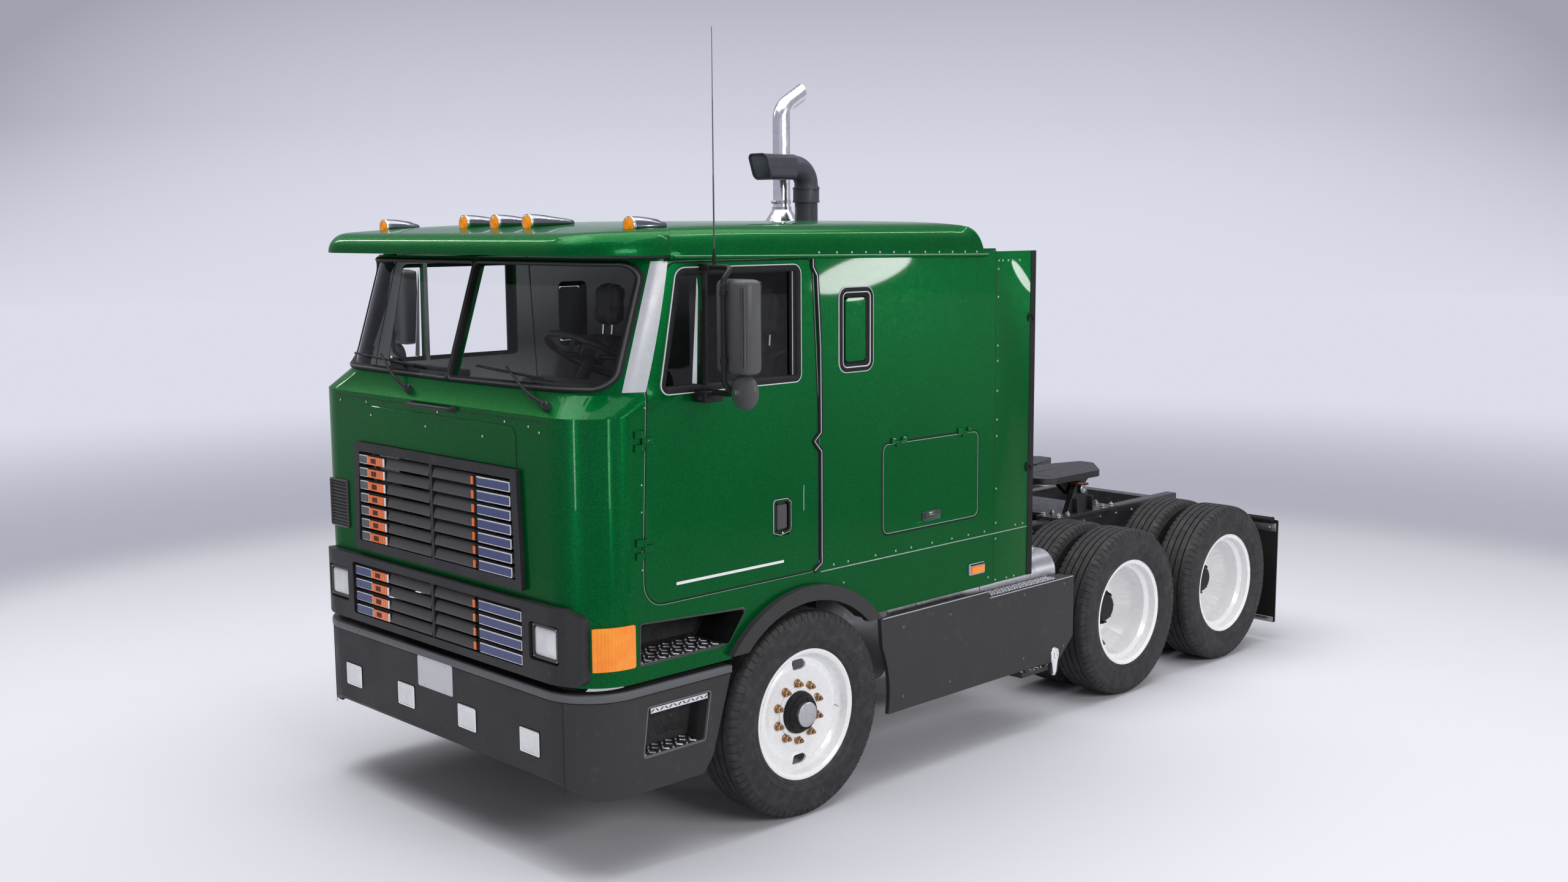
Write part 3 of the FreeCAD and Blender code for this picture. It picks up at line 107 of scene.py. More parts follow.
def feed(tree, value, socket):
    if isinstance(value, Val):
        tree.links.new(value.socket, socket)
    elif isinstance(value, bpy.types.NodeSocket):
        tree.links.new(value, socket)
    elif isinstance(value, tuple) and len(value) == 3 and socket.type == "RGBA":
        socket.default_value = value + (1.0,)
    else:
        socket.default_value = value


class Paint:
    # One material's node tree: add() makes any node, surface() its shader.
    def __init__(self, name):
        self.material = bpy.data.materials.new(name)
        self.material.use_nodes = True
        self.tree = self.material.node_tree
        self.tree.nodes.clear()
        self.out = self.tree.nodes.new("ShaderNodeOutputMaterial")
        self.place = self.add("TexCoord").outputs["Object"]

    def add(self, kind, settings=None, **values):
        node = self.tree.nodes.new("ShaderNode" + kind)
        for key, value in (settings or {}).items():
            if key == "stops":
                for i, (spot, tint) in enumerate(value):
                    stop = node.color_ramp.elements[i] if i < 2 else node.color_ramp.elements.new(spot)
                    stop.position = spot
                    stop.color = tint + (1.0,)
            else:
                setattr(node, key, value)
        for key, value in values.items():
            feed(self.tree, value, node.inputs[key.replace("_", " ")])
        return node

    def val(self, socket):
        return Val(self.tree, socket)

    def noise(self, scale, detail=3.0, roughness=0.55):
        node = self.add("TexNoise", Vector=self.place, Scale=scale, Detail=detail, Roughness=roughness)
        return self.val(node.outputs[0])

    def cells(self, scale, feature="F1"):
        return self.add("TexVoronoi", {"feature": feature}, Vector=self.place, Scale=scale)

    def axes(self):
        return [self.val(s) for s in self.add("SeparateXYZ", Vector=self.place).outputs]

    def ramp(self, value, low, high, outLow=0.0, outHigh=1.0):
        node = self.add("MapRange", {"interpolation_type": "SMOOTHSTEP"}, Value=value)
        for key, number in (("From Min", low), ("From Max", high), ("To Min", outLow), ("To Max", outHigh)):
            node.inputs[key].default_value = number
        return self.val(node.outputs[0])

    def mix(self, factor, a, b):
        node = self.add("Mix", {"data_type": "RGBA"})
        feed(self.tree, factor, node.inputs[0])
        feed(self.tree, a, node.inputs[6])
        feed(self.tree, b, node.inputs[7])
        return node.outputs[2]

    def bump(self, height, distance, strength=1.0, under=None):
        node = self.add("Bump", Height=height, Distance=distance, Strength=strength)
        if under is not None:
            feed(self.tree, under, node.inputs["Normal"])
        return node.outputs[0]

    def surface(self, **values):
        node = self.add("BsdfPrincipled", **values)
        self.tree.links.new(node.outputs[0], self.out.inputs[0])
        return self.material


# Metallic flake under a thin clear coat: the cells' random value tints the base and tilts its normal,
# and road dust gathers low down, more where the noise is high.
def greenPaint():
    p = Paint("greenPaint")
    flakes = p.cells(420.0)
    sparkle = p.val(p.add("SeparateXYZ", Vector=flakes.outputs["Color"]).outputs[0])
    cloud = p.noise(1.6, 4.0)
    tint = p.mix(p.ramp(sparkle, 0.6, 1.0) * 0.6, (0.0, 0.086, 0.018), (0.003, 0.2, 0.048))
    tint = p.mix(p.ramp(cloud, 0.35, 0.7, 0.0, 0.2), tint, (0.0, 0.06, 0.012))
    height = p.axes()[2]
    dust = p.ramp(height, 0.35, 1.15, 0.14, 0.0) * p.ramp(p.noise(9.0, 6.0), 0.35, 0.7)
    tint = p.mix(dust, tint, (0.03, 0.06, 0.03))
    peel = p.bump(p.noise(160.0, 1.0), 0.0004, 0.2)
    grain = p.bump(sparkle, 0.0004, 0.4, peel)
    return p.surface(Base_Color=tint, Metallic=0.5, Roughness=p.ramp(p.noise(30.0), 0.3, 0.7, 0.30, 0.38),
                     Specular_IOR_Level=0.05, Specular_Tint=(0.08, 0.7, 0.25), Normal=grain, Coat_Weight=0.5,
                     Coat_Roughness=0.03, Coat_IOR=1.25)


def plainPaint(name, tint, shade, rough=0.3, coat=0.6, grime=0.25):
    p = Paint(name)
    spots = p.ramp(p.noise(14.0, 6.0), 0.45, 0.75)
    height = p.axes()[2]
    low = p.ramp(height, 0.15, 0.9, grime, grime * 0.25)
    color = p.mix(spots * low, tint, shade)
    normal = p.bump(p.noise(220.0, 2.0), 0.0003, 0.2)
    return p.surface(Base_Color=color, Roughness=p.ramp(p.noise(25.0, 4.0), 0.3, 0.7, rough - 0.05, rough + 0.08),
                     Normal=normal, Coat_Weight=coat, Coat_Roughness=0.12)


# Moulded plastic: fine pebble grain, and faint scuffs that lighten it where the noise is high.
def moulded(name, tint, rough=0.45, grain=900.0, depth=0.0003, worn=(0.16, 0.16, 0.165), gloss=0.2):
    p = Paint(name)
    pebble = p.val(p.cells(grain, "SMOOTH_F1").outputs["Distance"])
    scuff = p.ramp(p.noise(22.0, 8.0, 0.7), 0.55, 0.8, 0.0, 0.3)
    color = p.mix(scuff, tint, worn)
    shade = p.ramp(p.noise(4.0, 5.0), 0.3, 0.7, rough - 0.06, rough + 0.1)
    return p.surface(Base_Color=color, Roughness=shade, Normal=p.bump(pebble, depth, 0.6), Specular_IOR_Level=gloss)


def metal(name, tint, rough=0.2, dull=(0.3, 0.3, 0.3), brushed=0.0, pits=0.15):
    p = Paint(name)
    stain = p.ramp(p.noise(18.0, 7.0, 0.65), 0.5, 0.8, 0.0, 0.35)
    normal = p.bump(p.noise(500.0, 2.0), 0.0002, pits + brushed)
    return p.surface(Base_Color=p.mix(stain, tint, dull), Metallic=1.0, Normal=normal,
                     Roughness=p.ramp(p.noise(40.0, 4.0), 0.3, 0.7, rough, rough + 0.12 + brushed * 0.3))


# Matt black rubber, greyed by dust where the noise is high, with fine mould grain.
def tyreRubber():
    p = Paint("tyreRubber")
    dust = p.ramp(p.noise(26.0, 8.0, 0.65), 0.4, 0.8, 0.0, 0.5)
    color = p.mix(dust, (0.018, 0.018, 0.019), (0.07, 0.068, 0.066))
    fine = p.bump(p.noise(700.0, 3.0), 0.0005, 0.5)
    return p.surface(Base_Color=color, Roughness=p.ramp(p.noise(12.0, 5.0), 0.3, 0.7, 0.55, 0.75), Normal=fine,
                     Specular_IOR_Level=0.4)


# Thin pane: passes light and reflects by its angle, on the faces that look outwards only, with faint wipe marks.
def clearGlass():
    p = Paint("clearGlass")
    fresnel = p.val(p.add("Fresnel", IOR=1.3).outputs[0])
    front = 1 - p.val(p.add("NewGeometry").outputs["Backfacing"])
    streak = p.ramp(p.noise(5.0, 7.0, 0.7), 0.45, 0.8, 0.0, 0.02)
    pane = p.add("BsdfTransparent", Color=(0.992, 0.997, 0.995))
    gloss = p.add("BsdfGlossy", Color=(1.0, 1.0, 1.0), Roughness=0.02)
    blend = p.add("MixShader")
    feed(p.tree, ((fresnel + streak) * front).clamp(), blend.inputs[0])
    p.tree.links.new(pane.outputs[0], blend.inputs[1])
    p.tree.links.new(gloss.outputs[0], blend.inputs[2])
    p.tree.links.new(blend.outputs[0], p.out.inputs[0])
    return p.material


# Moulded lens: flutes every pitch metres along one axis under a clear face. It gives out its own colour at the given
# strength: painted light.
def lens(name, tint, glow, pitch=0.012, across=1, strength=0.0, coat=1.0):
    p = Paint(name)
    line = p.axes()[across]
    flute = abs((line / pitch).wrap(1.0) - 0.5) * 2.0
    deep = p.ramp(p.noise(9.0, 3.0), 0.3, 0.75)
    color = p.mix(deep * 0.5, tint, glow)
    return p.surface(Base_Color=color, Roughness=0.09, Normal=p.bump(flute, 0.0022, 0.7), Coat_Weight=coat,
                     Coat_Roughness=0.02, Emission_Color=color, Emission_Strength=strength, IOR=1.5)


def leather(name, tint):
    p = Paint(name)
    creases = p.val(p.cells(210.0, "DISTANCE_TO_EDGE").outputs[0])
    worn = p.ramp(p.noise(8.0, 5.0), 0.45, 0.8, 0.0, 0.4)
    bumps = p.bump(p.ramp(creases, 0.0, 0.25), 0.0006, 0.5, p.bump(p.noise(30.0, 4.0), 0.002, 0.3))
    return p.surface(Base_Color=p.mix(worn, tint, (0.05, 0.05, 0.052)), Normal=bumps,
                     Roughness=p.ramp(creases, 0.0, 0.3, 0.52, 0.36), Sheen_Weight=0.1)


# Plain weave: two crossed sine waves of the thread's pitch make the bump and shade the colour.
def fabric(name, tint, thread=0.004):
    p = Paint(name)
    x, y, z = p.axes()
    k = 2 * math.pi / thread
    weave = ((x + z) * k).sin() * (y * k).sin()
    color = p.mix(p.ramp(weave, -0.8, 0.8) * p.ramp(p.noise(60.0), 0.3, 0.7, 0.6, 1.0), tint,
                  tuple(c * 1.7 for c in tint))
    return p.surface(Base_Color=color, Roughness=0.92, Normal=p.bump(weave, 0.0008, 0.6), Sheen_Weight=0.35)


# Bright step plate with raised bars laid in turn along each diagonal, darkened in the hollows.
def treadPlate():
    p = Paint("treadPlate")
    x, y, z = p.axes()
    run = (x + z) * 42.0
    side = y * 42.0
    along = abs((run + side).wrap(1.0) - 0.5)
    cross = abs((run - side).wrap(1.0) - 0.5)
    turn = ((run.run("FLOOR") + side.run("FLOOR")).run("MODULO", 2.0)) > 0.5
    bars = p.ramp(along, 0.13, 0.2, 1.0, 0.0) * turn + p.ramp(cross, 0.13, 0.2, 1.0, 0.0) * (1 - turn)
    grime = p.ramp(p.noise(35.0, 6.0), 0.35, 0.75)
    color = p.mix(bars.clamp(), p.mix(grime, (0.1, 0.1, 0.1), (0.32, 0.32, 0.32)), (0.86, 0.86, 0.86))
    return p.surface(Base_Color=color, Metallic=0.85, Roughness=p.ramp(bars, 0.0, 1.0, 0.5, 0.22),
                     Normal=p.bump(bars, 0.003, 1.0))


# Black step wall with pale chips and dust: cell noise is cut to small irregular spots.
def speckledWall():
    p = Paint("speckledWall")
    chips = p.ramp(p.noise(95.0, 5.0, 0.7), 0.60, 0.68) * p.ramp(p.noise(14.0, 3.0), 0.42, 0.6)
    dust = p.ramp(p.noise(9.0, 6.0), 0.35, 0.75, 0.0, 0.4)
    color = p.mix(chips * 0.7, p.mix(dust, (0.018, 0.018, 0.019), (0.06, 0.058, 0.056)), (0.34, 0.34, 0.35))
    return p.surface(Base_Color=color, Roughness=p.ramp(p.noise(30.0), 0.3, 0.7, 0.45, 0.75), Specular_IOR_Level=0.3,
                     Normal=p.bump(chips, 0.0008, 0.6))


paints = {
    "green": greenPaint(),
    "white": plainPaint("whitePaint", (0.90, 0.90, 0.905), (0.74, 0.73, 0.71), 0.25, 0.6, 0.10),
    "frame": plainPaint("framePaint", (0.022, 0.023, 0.025), (0.1, 0.095, 0.09), 0.42, 0.25, 0.6),
    "engine": plainPaint("enginePaint", (0.06, 0.065, 0.07), (0.02, 0.02, 0.02), 0.5, 0.1, 0.9),
    "bumper": moulded("bumperGrey", (0.050, 0.050, 0.052), 0.42, 1100.0, 0.0002, gloss=0.07),
    "bumperLip": moulded("bumperLip", (0.12, 0.12, 0.13), 0.32, 1100.0, 0.0002),
    "plastic": moulded("darkPlastic", (0.03, 0.03, 0.032), 0.4),
    "slat": moulded("slatSatin", (0.075, 0.070, 0.070), 0.3),
    "bead": moulded("brightBead", (0.62, 0.63, 0.65), 0.25, 1200.0, 0.0001, (0.45, 0.45, 0.46)),
    "slate": moulded("slateIntake", (0.052, 0.055, 0.068), 0.36, 1300.0, 0.0002),
    "liner": moulded("archLiner", (0.008, 0.008, 0.009), 0.7, 500.0, 0.0008, (0.03, 0.03, 0.03)),
    "plate": plainPaint("blankPlate", (0.62, 0.63, 0.66), (0.4, 0.4, 0.42), 0.4, 0.3, 0.4),
    "rustRed": moulded("brownInsert", (0.09, 0.022, 0.012), 0.4, 700.0, 0.0002, (0.2, 0.06, 0.03)),
    "black": moulded("blackPlastic", (0.012, 0.012, 0.013), 0.42),
    "lining": moulded("cabLining", (0.010, 0.010, 0.011), 0.7, 300.0, 0.0006, (0.03, 0.03, 0.03), 0.1),
    # A near-white copy of the dark cab lining, used where the inside is seen lit: painted light.
    "paleLining": moulded("paleLining", (0.90, 0.91, 0.94), 0.55, 300.0, 0.0004, (0.4, 0.4, 0.42)),
    "rubber": moulded("blackRubber", (0.01, 0.01, 0.01), 0.55, 1500.0, 0.0002, (0.05, 0.05, 0.05)),
    "tyre": tyreRubber(),
    "chrome": metal("chrome", (0.9, 0.9, 0.91), 0.05, (0.55, 0.55, 0.56)),
    "steel": metal("steel", (0.55, 0.55, 0.56), 0.28, (0.2, 0.17, 0.15)),
    "tank": metal("tankAluminium", (0.62, 0.62, 0.64), 0.28, (0.48, 0.48, 0.49), 0.0, 0.03),
    "stack": metal("stackChrome", (0.86, 0.86, 0.88), 0.13, (0.70, 0.70, 0.72), 0.0, 0.02),
    "muffler": metal("mufflerSteel", (0.50, 0.50, 0.51), 0.26, (0.30, 0.28, 0.26), 0.02, 0.03),
    "bronze": metal("nutBronze", (0.36, 0.2, 0.09), 0.3, (0.16, 0.09, 0.04)),
    "rust": metal("rustyNut", (0.16, 0.085, 0.045), 0.42, (0.3, 0.13, 0.05)),
    "iron": metal("greasedIron", (0.07, 0.068, 0.066), 0.35, (0.02, 0.018, 0.016)),
    "glass": clearGlass(),
    # The lenses' emission strengths (0.05 to 0.30) stand in for their bright look: painted light; the orange grille
    # blocks are no lamps at all.
    "amber": lens("amberLens", (0.88, 0.22, 0.0), (1.0, 0.42, 0.02), 0.014, 1, 0.10, 0.35),
    "marker": lens("markerLens", (0.92, 0.26, 0.0), (1.0, 0.40, 0.01), 0.5, 1, 0.30, 0.15),
    "orange": lens("orangeBlock", (0.85, 0.16, 0.002), (0.55, 0.07, 0.002), 0.02, 0, 0.08, 0.25),
    "blue": plainPaint("bluePanel", (0.028, 0.045, 0.17), (0.05, 0.07, 0.2), 0.35, 0.4, 0.2),
    "red": lens("redLens", (0.55, 0.008, 0.006), (0.8, 0.03, 0.015), 0.008, 0, 0.05),
    "lamp": lens("lampGlass", (0.66, 0.67, 0.69), (0.88, 0.89, 0.90), 0.011, 0, 0.10),
    # Light green along seam ridges, gap edges and rail beads: painted highlight where edges catch the light.
    "edgeGreen": plainPaint("wornGreenEdge", (0.16, 0.34, 0.20), (0.05, 0.16, 0.07), 0.3, 0.5, 0.5),
    # A darker copy of the body green for recess rims and the latch: painted shade.
    "greenShade": plainPaint("darkGreenEnamel", (0.0, 0.022, 0.006), (0.01, 0.03, 0.015), 0.32, 0.5, 0.3),
    "paleLilac": plainPaint("paleRim", (0.42, 0.42, 0.48), (0.3, 0.3, 0.34), 0.4, 0.2, 0.3),
    # Rivet heads in a pale green, far lighter than the body's paint.
    "rivet": plainPaint("wornRivet", (0.30, 0.42, 0.34), (0.08, 0.16, 0.10), 0.35, 0.4, 0.8),
    "mirrorFace": metal("mirrorFace", (0.82, 0.84, 0.86), 0.02, (0.75, 0.77, 0.79)),
    "treadBright": metal("treadBright", (0.80, 0.80, 0.81), 0.32, (0.45, 0.44, 0.43), 0.0, 0.05),
    "treadBase": metal("treadBase", (0.16, 0.16, 0.165), 0.4, (0.06, 0.06, 0.06), 0.05),
    "speckled": speckledWall(),
    "lampShell": metal("lampShell", (0.24, 0.25, 0.27), 0.14, (0.25, 0.25, 0.27), 0.0, 0.03),
    "mirrorShell": moulded("mirrorShell", (0.085, 0.086, 0.090), 0.34, 1300.0, 0.0002),
    # Pale grey trim, made pale to stand for the bright reflection at the screen's corners: partly painted reflection.
    "pillar": plainPaint("pillarTrim", (0.46, 0.47, 0.50), (0.42, 0.43, 0.46), 0.22, 0.5, 0.1),
    "stripe": plainPaint("whiteStripe", (0.8, 0.8, 0.8), (0.5, 0.5, 0.5), 0.4, 0.2, 0.1),
    "leather": leather("blackLeather", (0.018, 0.018, 0.02)),
    "fabric": fabric("greyFabric", (0.05, 0.05, 0.055)),
    "tread": treadPlate(),
}
print("materials made:", len(paints))


# Meshes

# Several (points, faces) as one.
def joined(parts):
    points, faces, start = [], [], 0
    for p, f in parts:
        points.append(p)
        faces += [tuple(int(i) + start for i in face) for face in f]
        start += len(p)
    return np.vstack(points), faces


# Quads of a grid of points that is numbered row by row.
def gridFaces(rows, columns, wrapRows=False, wrapColumns=False):
    r = np.arange(rows if wrapRows else rows - 1)
    c = np.arange(columns if wrapColumns else columns - 1)
    a, b = np.meshgrid(r, c, indexing="ij")
    a2, b2 = (a + 1) % rows, (b + 1) % columns
    quads = np.stack([a * columns + b, a * columns + b2, a2 * columns + b2, a2 * columns + b], -1)
    return [tuple(q) for q in quads.reshape(-1, 4).tolist()]


# Closed loops (k, n, 3) joined in order, with a face over each end unless they wrap.
def skinned(loops, wrap=False):
    loops = np.asarray(loops, float)
    k, n = loops.shape[:2]
    faces = gridFaces(k, n, wrap, True)
    if not wrap:
        faces.append(tuple(range(n - 1, -1, -1)))
        faces.append(tuple(range((k - 1) * n, k * n)))
    return loops.reshape(-1, 3), faces


# Two unit vectors square to an axis, and the axis itself.
def frameOf(axis):
    axis = np.asarray(axis, float)
    axis = axis / np.linalg.norm(axis)
    side = np.cross(axis, (0, 0, 1) if abs(axis[2]) < 0.9 else (0, 1, 0))
    side = side / np.linalg.norm(side)
    return side, np.cross(axis, side), axis


# Profile rows (along, radius) turned about the axis: centre + along * axis + radius * (cos t, sin t).
def lathe(profile, centre, axis, sides=32, hollow=False):
    side, up, axis = frameOf(axis)
    t = np.linspace(0, 2 * np.pi, sides, endpoint=False)
    ring = np.cos(t)[:, None] * side + np.sin(t)[:, None] * up
    profile = np.asarray(profile, float)
    loops = np.asarray(centre) + profile[:, None, :1] * axis + np.maximum(profile[:, None, 1:], 1e-5) * ring
    return skinned(loops, hollow)


# Catmull-Rom curve through the points.
def smoothPath(points, steps=8):
    p = np.asarray(points, float)
    p = np.vstack([2 * p[0] - p[1], p, 2 * p[-1] - p[-2]])
    t = np.linspace(0, 1, steps, endpoint=False)[:, None]
    out = []
    for a, b, c, d in zip(p, p[1:], p[2:], p[3:]):
        bend, twist = 2 * a - 5 * b + 4 * c - d, 3 * b - a - 3 * c + d
        out.append(0.5 * (2 * b + (c - a) * t + bend * t ** 2 + twist * t ** 3))
    out.append(p[-2][None])
    return np.vstack(out)


# Straight runs with a parabolic bend of about that radius at each inner point.
def roundedPath(points, radius, steps=7):
    p = np.asarray(points, float)
    out = [p[0]]
    for a, b, c in zip(p, p[1:], p[2:]):
        u, w = (a - b) / np.linalg.norm(a - b), (c - b) / np.linalg.norm(c - b)
        half = np.arccos(np.clip(u @ w, -1, 1)) / 2
        reach = min(radius / np.tan(half), 0.48 * np.linalg.norm(a - b), 0.48 * np.linalg.norm(c - b))
        t = np.linspace(0, 1, steps)[:, None]
        start, end = b + u * reach, b + w * reach
        out += list((1 - t) ** 2 * start + 2 * t * (1 - t) * b + t ** 2 * end)
    out.append(p[-1])
    return np.array(out)


# A circle carried along the path, turned as little as possible from point to point.
def tube(path, radius, sides=12, closed=False):
    path = np.asarray(path, float)
    ahead = np.roll(path, -1, 0) - path if closed else np.gradient(path, axis=0)
    ahead /= np.linalg.norm(ahead, axis=1)[:, None]
    side = frameOf(ahead[0])[0]
    t = np.linspace(0, 2 * np.pi, sides, endpoint=False)
    radii = np.broadcast_to(radius, len(path))
    loops = []
    for point, way, r in zip(path, ahead, radii):
        side = side - way * (side @ way)
        side = side / np.linalg.norm(side)
        up = np.cross(way, side)
        loops.append(point + r * (np.cos(t)[:, None] * side + np.sin(t)[:, None] * up))
    return skinned(loops, closed)


# Outline of a rectangle with quarter-circle corners, anticlockwise.
def roundRect(width, height, radius, steps=5):
    t = np.linspace(0, np.pi / 2, steps)
    corners = []
    for k, (sx, sy) in enumerate(((1, 1), (-1, 1), (-1, -1), (1, -1))):
        a = t + k * np.pi / 2
        corners.append(np.stack([sx * (width / 2 - radius) + radius * np.cos(a),
                                 sy * (height / 2 - radius) + radius * np.sin(a)], -1))
    return np.vstack(corners)


# Closed outline through 2-D corners, each rounded by the radius or by its own third value.
def roundLoop(corners, radius, steps=5):
    out = []
    pts = [np.array(c[:2], float) for c in corners]
    for i, b in enumerate(pts):
        a, c = pts[i - 1], pts[(i + 1) % len(pts)]
        r = corners[i][2] if len(corners[i]) > 2 else radius
        u, w = (a - b) / np.linalg.norm(a - b), (c - b) / np.linalg.norm(c - b)
        half = np.arccos(np.clip(u @ w, -1, 1)) / 2
        reach = r / np.tan(half)
        centre = b + (u + w) / np.linalg.norm(u + w) * r / np.sin(half)
        s, e = b + u * reach - centre, b + w * reach - centre
        start = np.arctan2(s[1], s[0])
        turn = (np.arctan2(e[1], e[0]) - start + np.pi) % (2 * np.pi) - np.pi
        t = start + turn * np.linspace(0, 1, steps)
        out.append(centre + r * np.stack([np.cos(t), np.sin(t)], -1))
    return np.vstack(out)


# Unit normals of a closed 2-D outline, pointing away from its inside.
def outwards(loop):
    step = np.roll(loop, -1, 0) - np.roll(loop, 1, 0)
    n = np.stack([step[:, 1], -step[:, 0]], -1)
    n /= np.maximum(np.linalg.norm(n, axis=1), 1e-9)[:, None]
    area = np.sum(loop[:, 0] * np.roll(loop[:, 1], -1) - loop[:, 1] * np.roll(loop[:, 0], -1))
    return n if area > 0 else -n


# A 2-D outline raised through levels of (height, inset); place maps (a, b, h) to space.
def plate(loop, levels, place):
    n = outwards(loop)
    low, high = loop.min(0), loop.max(0)
    loops = []
    for height, inset in levels:
        flat = np.clip(loop - n * inset, low + inset, high - inset) if inset > 0 else loop - n * inset
        loops.append(place(flat[:, 0], flat[:, 1], np.full(len(flat), height)))
    return skinned(loops)


# A closed section of (outwards, height) carried round a closed outline.
def band(loop, section, place):
    n = outwards(loop)
    loops = []
    for out, height in section:
        flat = loop + n * out
        loops.append(place(flat[:, 0], flat[:, 1], np.full(len(flat), height)))
    return skinned(loops, True)


# Sections for band and strip: a raised line with shoulders under its crown, and a flat bar.
def ridge(half, foot, shoulder, top):
    return [(-half, foot), (-half, shoulder), (0.0, top), (half, shoulder), (half, foot)]


def bar(half, foot, top):
    return [(-half, foot), (-half, top), (half, top), (half, foot)]


# Profile of a hoop round a pipe, with its edges sunk into it.
def hoop(half, radius, proud, sunk=0.002):
    return [(-half, radius - sunk), (0.001 - half, radius + proud), (half - 0.001, radius + proud),
            (half, radius - sunk)]


# Flattened circle for a bead or gasket that sits half proud.
def ringSection(width, height, steps=10):
    t = np.linspace(0, 2 * np.pi, steps, endpoint=False)
    return [(width / 2 * math.cos(a), height * math.sin(a)) for a in t]


# Places (y, z, h) on the vehicle's left side, h outwards from the plane at x.
def onLeft(x):
    return lambda a, b, h: np.stack([x + h, a, b], -1)


# Places (x, z, h) on the front, h forwards from the plane at y.
def onFront(y):
    return lambda a, b, h: np.stack([a, y - h, b], -1)


def onTop(z):
    return lambda a, b, h: np.stack([a, b, z + h], -1)


# Box with rounded edges, as an outline raised through insets.
def block(x0, x1, y0, y1, z0, z1, edge=0.004):
    loop = roundRect(x1 - x0, y1 - y0, edge * 1.5, 3) + np.array([(x0 + x1) / 2, (y0 + y1) / 2])
    levels = [(0, edge), (edge * 0.4, edge * 0.4), (edge, 0), (z1 - z0 - edge, 0), (z1 - z0 - edge * 0.4, edge * 0.4),
              (z1 - z0, edge)]
    return plate(loop, levels, onTop(z0))


# The same shapes on the other side, with their faces turned back outwards.
def mirrorParts(parts):
    return [(p * np.array([-1.0, 1.0, 1.0]), [tuple(reversed(f)) for f in faces]) for p, faces in parts]


# Rivet heads: one small dome laid at every point along its normal.
def domes(points, normals, radius, height, sides=7):
    points, normals = np.atleast_2d(points).astype(float), np.atleast_2d(normals).astype(float)
    normals = np.broadcast_to(normals, points.shape)
    t = np.linspace(0, 2 * np.pi, sides, endpoint=False)
    rings = [(1.0, -0.3), (1.0, 0.15), (0.75, 0.7), (0.3, 1.0)]
    parts = []
    for p, n in zip(points, normals):
        side, up, way = frameOf(n)
        loops = [p + way * (h * height) + r * radius * (np.cos(t)[:, None] * side + np.sin(t)[:, None] * up)
                 for r, h in rings]
        parts.append(skinned(loops))
    return parts


# Gives each face the paint number that the sorter picks from its middle, its normal and its corners.
def sortFaces(bm, sorter):
    if sorter is None:
        return
    bm.normal_update()
    for face in bm.faces:
        middle = face.calc_center_median()
        corners = [(v.co.x, v.co.y - axleY, v.co.z) for v in face.verts]
        face.material_index = sorter(middle.x, middle.y - axleY, middle.z, face.normal, corners)


# Makes one object from (points, faces) parts, measured from the front axle, and lets it ride on its body.
def piece(name, parts, paint, body, bevel=0.0, sharp=32.0, replaces=(), slot=None, subdiv=0, repair=True,
          sorter=None):
    points, faces = joined(parts if isinstance(parts, list) else [parts])
    points = points + np.array([0.0, axleY, 0.0])
    mesh = bpy.data.meshes.new(name)
    mesh.from_pydata(points.tolist(), [], faces)
    if repair:
        bm = bmesh.new()
        bm.from_mesh(mesh)
        bmesh.ops.remove_doubles(bm, verts=bm.verts, dist=2e-6)
        bmesh.ops.recalc_face_normals(bm, faces=bm.faces)
        sortFaces(bm, sorter)
        bm.to_mesh(mesh)
        bm.free()
    return finished(name, mesh, paint, body, bevel, sharp, replaces, subdiv)


def finished(name, mesh, paint, body, bevel, sharp, replaces, subdiv=0):
    mesh.shade_smooth()
    mesh.set_sharp_from_angle(angle=math.radians(sharp))
    for key in [paint] if isinstance(paint, str) else paint:
        mesh.materials.append(paints[key])
    obj = bpy.data.objects.new(name, mesh)
    bpy.context.scene.collection.objects.link(obj)
    if bevel:
        mod = obj.modifiers.new("edge", "BEVEL")
        mod.width = bevel
        mod.segments = 2
        mod.limit_method = "ANGLE"
        mod.angle_limit = math.radians(35)
        mod.harden_normals = True
    if subdiv:
        mod = obj.modifiers.new("smooth", "SUBSURF")
        mod.levels = subdiv
        mod.render_levels = subdiv
    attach(obj, body)
    if replaces:
        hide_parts(*replaces)
    return obj


# A frame node's own form with its points merged, flat faces made whole and edges eased.
def fromFrame(name, node, paint, body, bevel=0.002, sharp=28.0, sorter=None):
    bm = bmesh.new()
    bm.from_mesh(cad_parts[node].data)
    bmesh.ops.remove_doubles(bm, verts=bm.verts, dist=2e-5)
    bmesh.ops.dissolve_limit(bm, angle_limit=math.radians(0.6), verts=bm.verts, edges=bm.edges)
    bmesh.ops.delete(bm, geom=[v for v in bm.verts if not v.link_faces], context="VERTS")
    sortFaces(bm, sorter)
    mesh = bpy.data.meshes.new(name)
    bm.to_mesh(mesh)
    bm.free()
    return finished(name, mesh, paint, body, bevel, sharp, (node,))


# Camera, light and floor

viewpoint = {"spot": (6.544, -7.043, 2.891), "azimuth": 45.55, "pitch": 7.69, "roll": -0.35, "lens": 36.69}
studio = {"wall": (0.72, 0.725, 0.825), "wallDark": (0.36, 0.365, 0.44), "brightRise": -0.05, "sideFall": 17.0,
          "topFall": 20.0, "floor": (0.70, 0.70, 0.755), "footBand": (0.43, 0.435, 0.51),
          "horizon": (0.72, 0.725, 0.825), "bandStart": 6.6, "bandEnd": 8.4, "bandFade": 19.0, "world": 0.27}


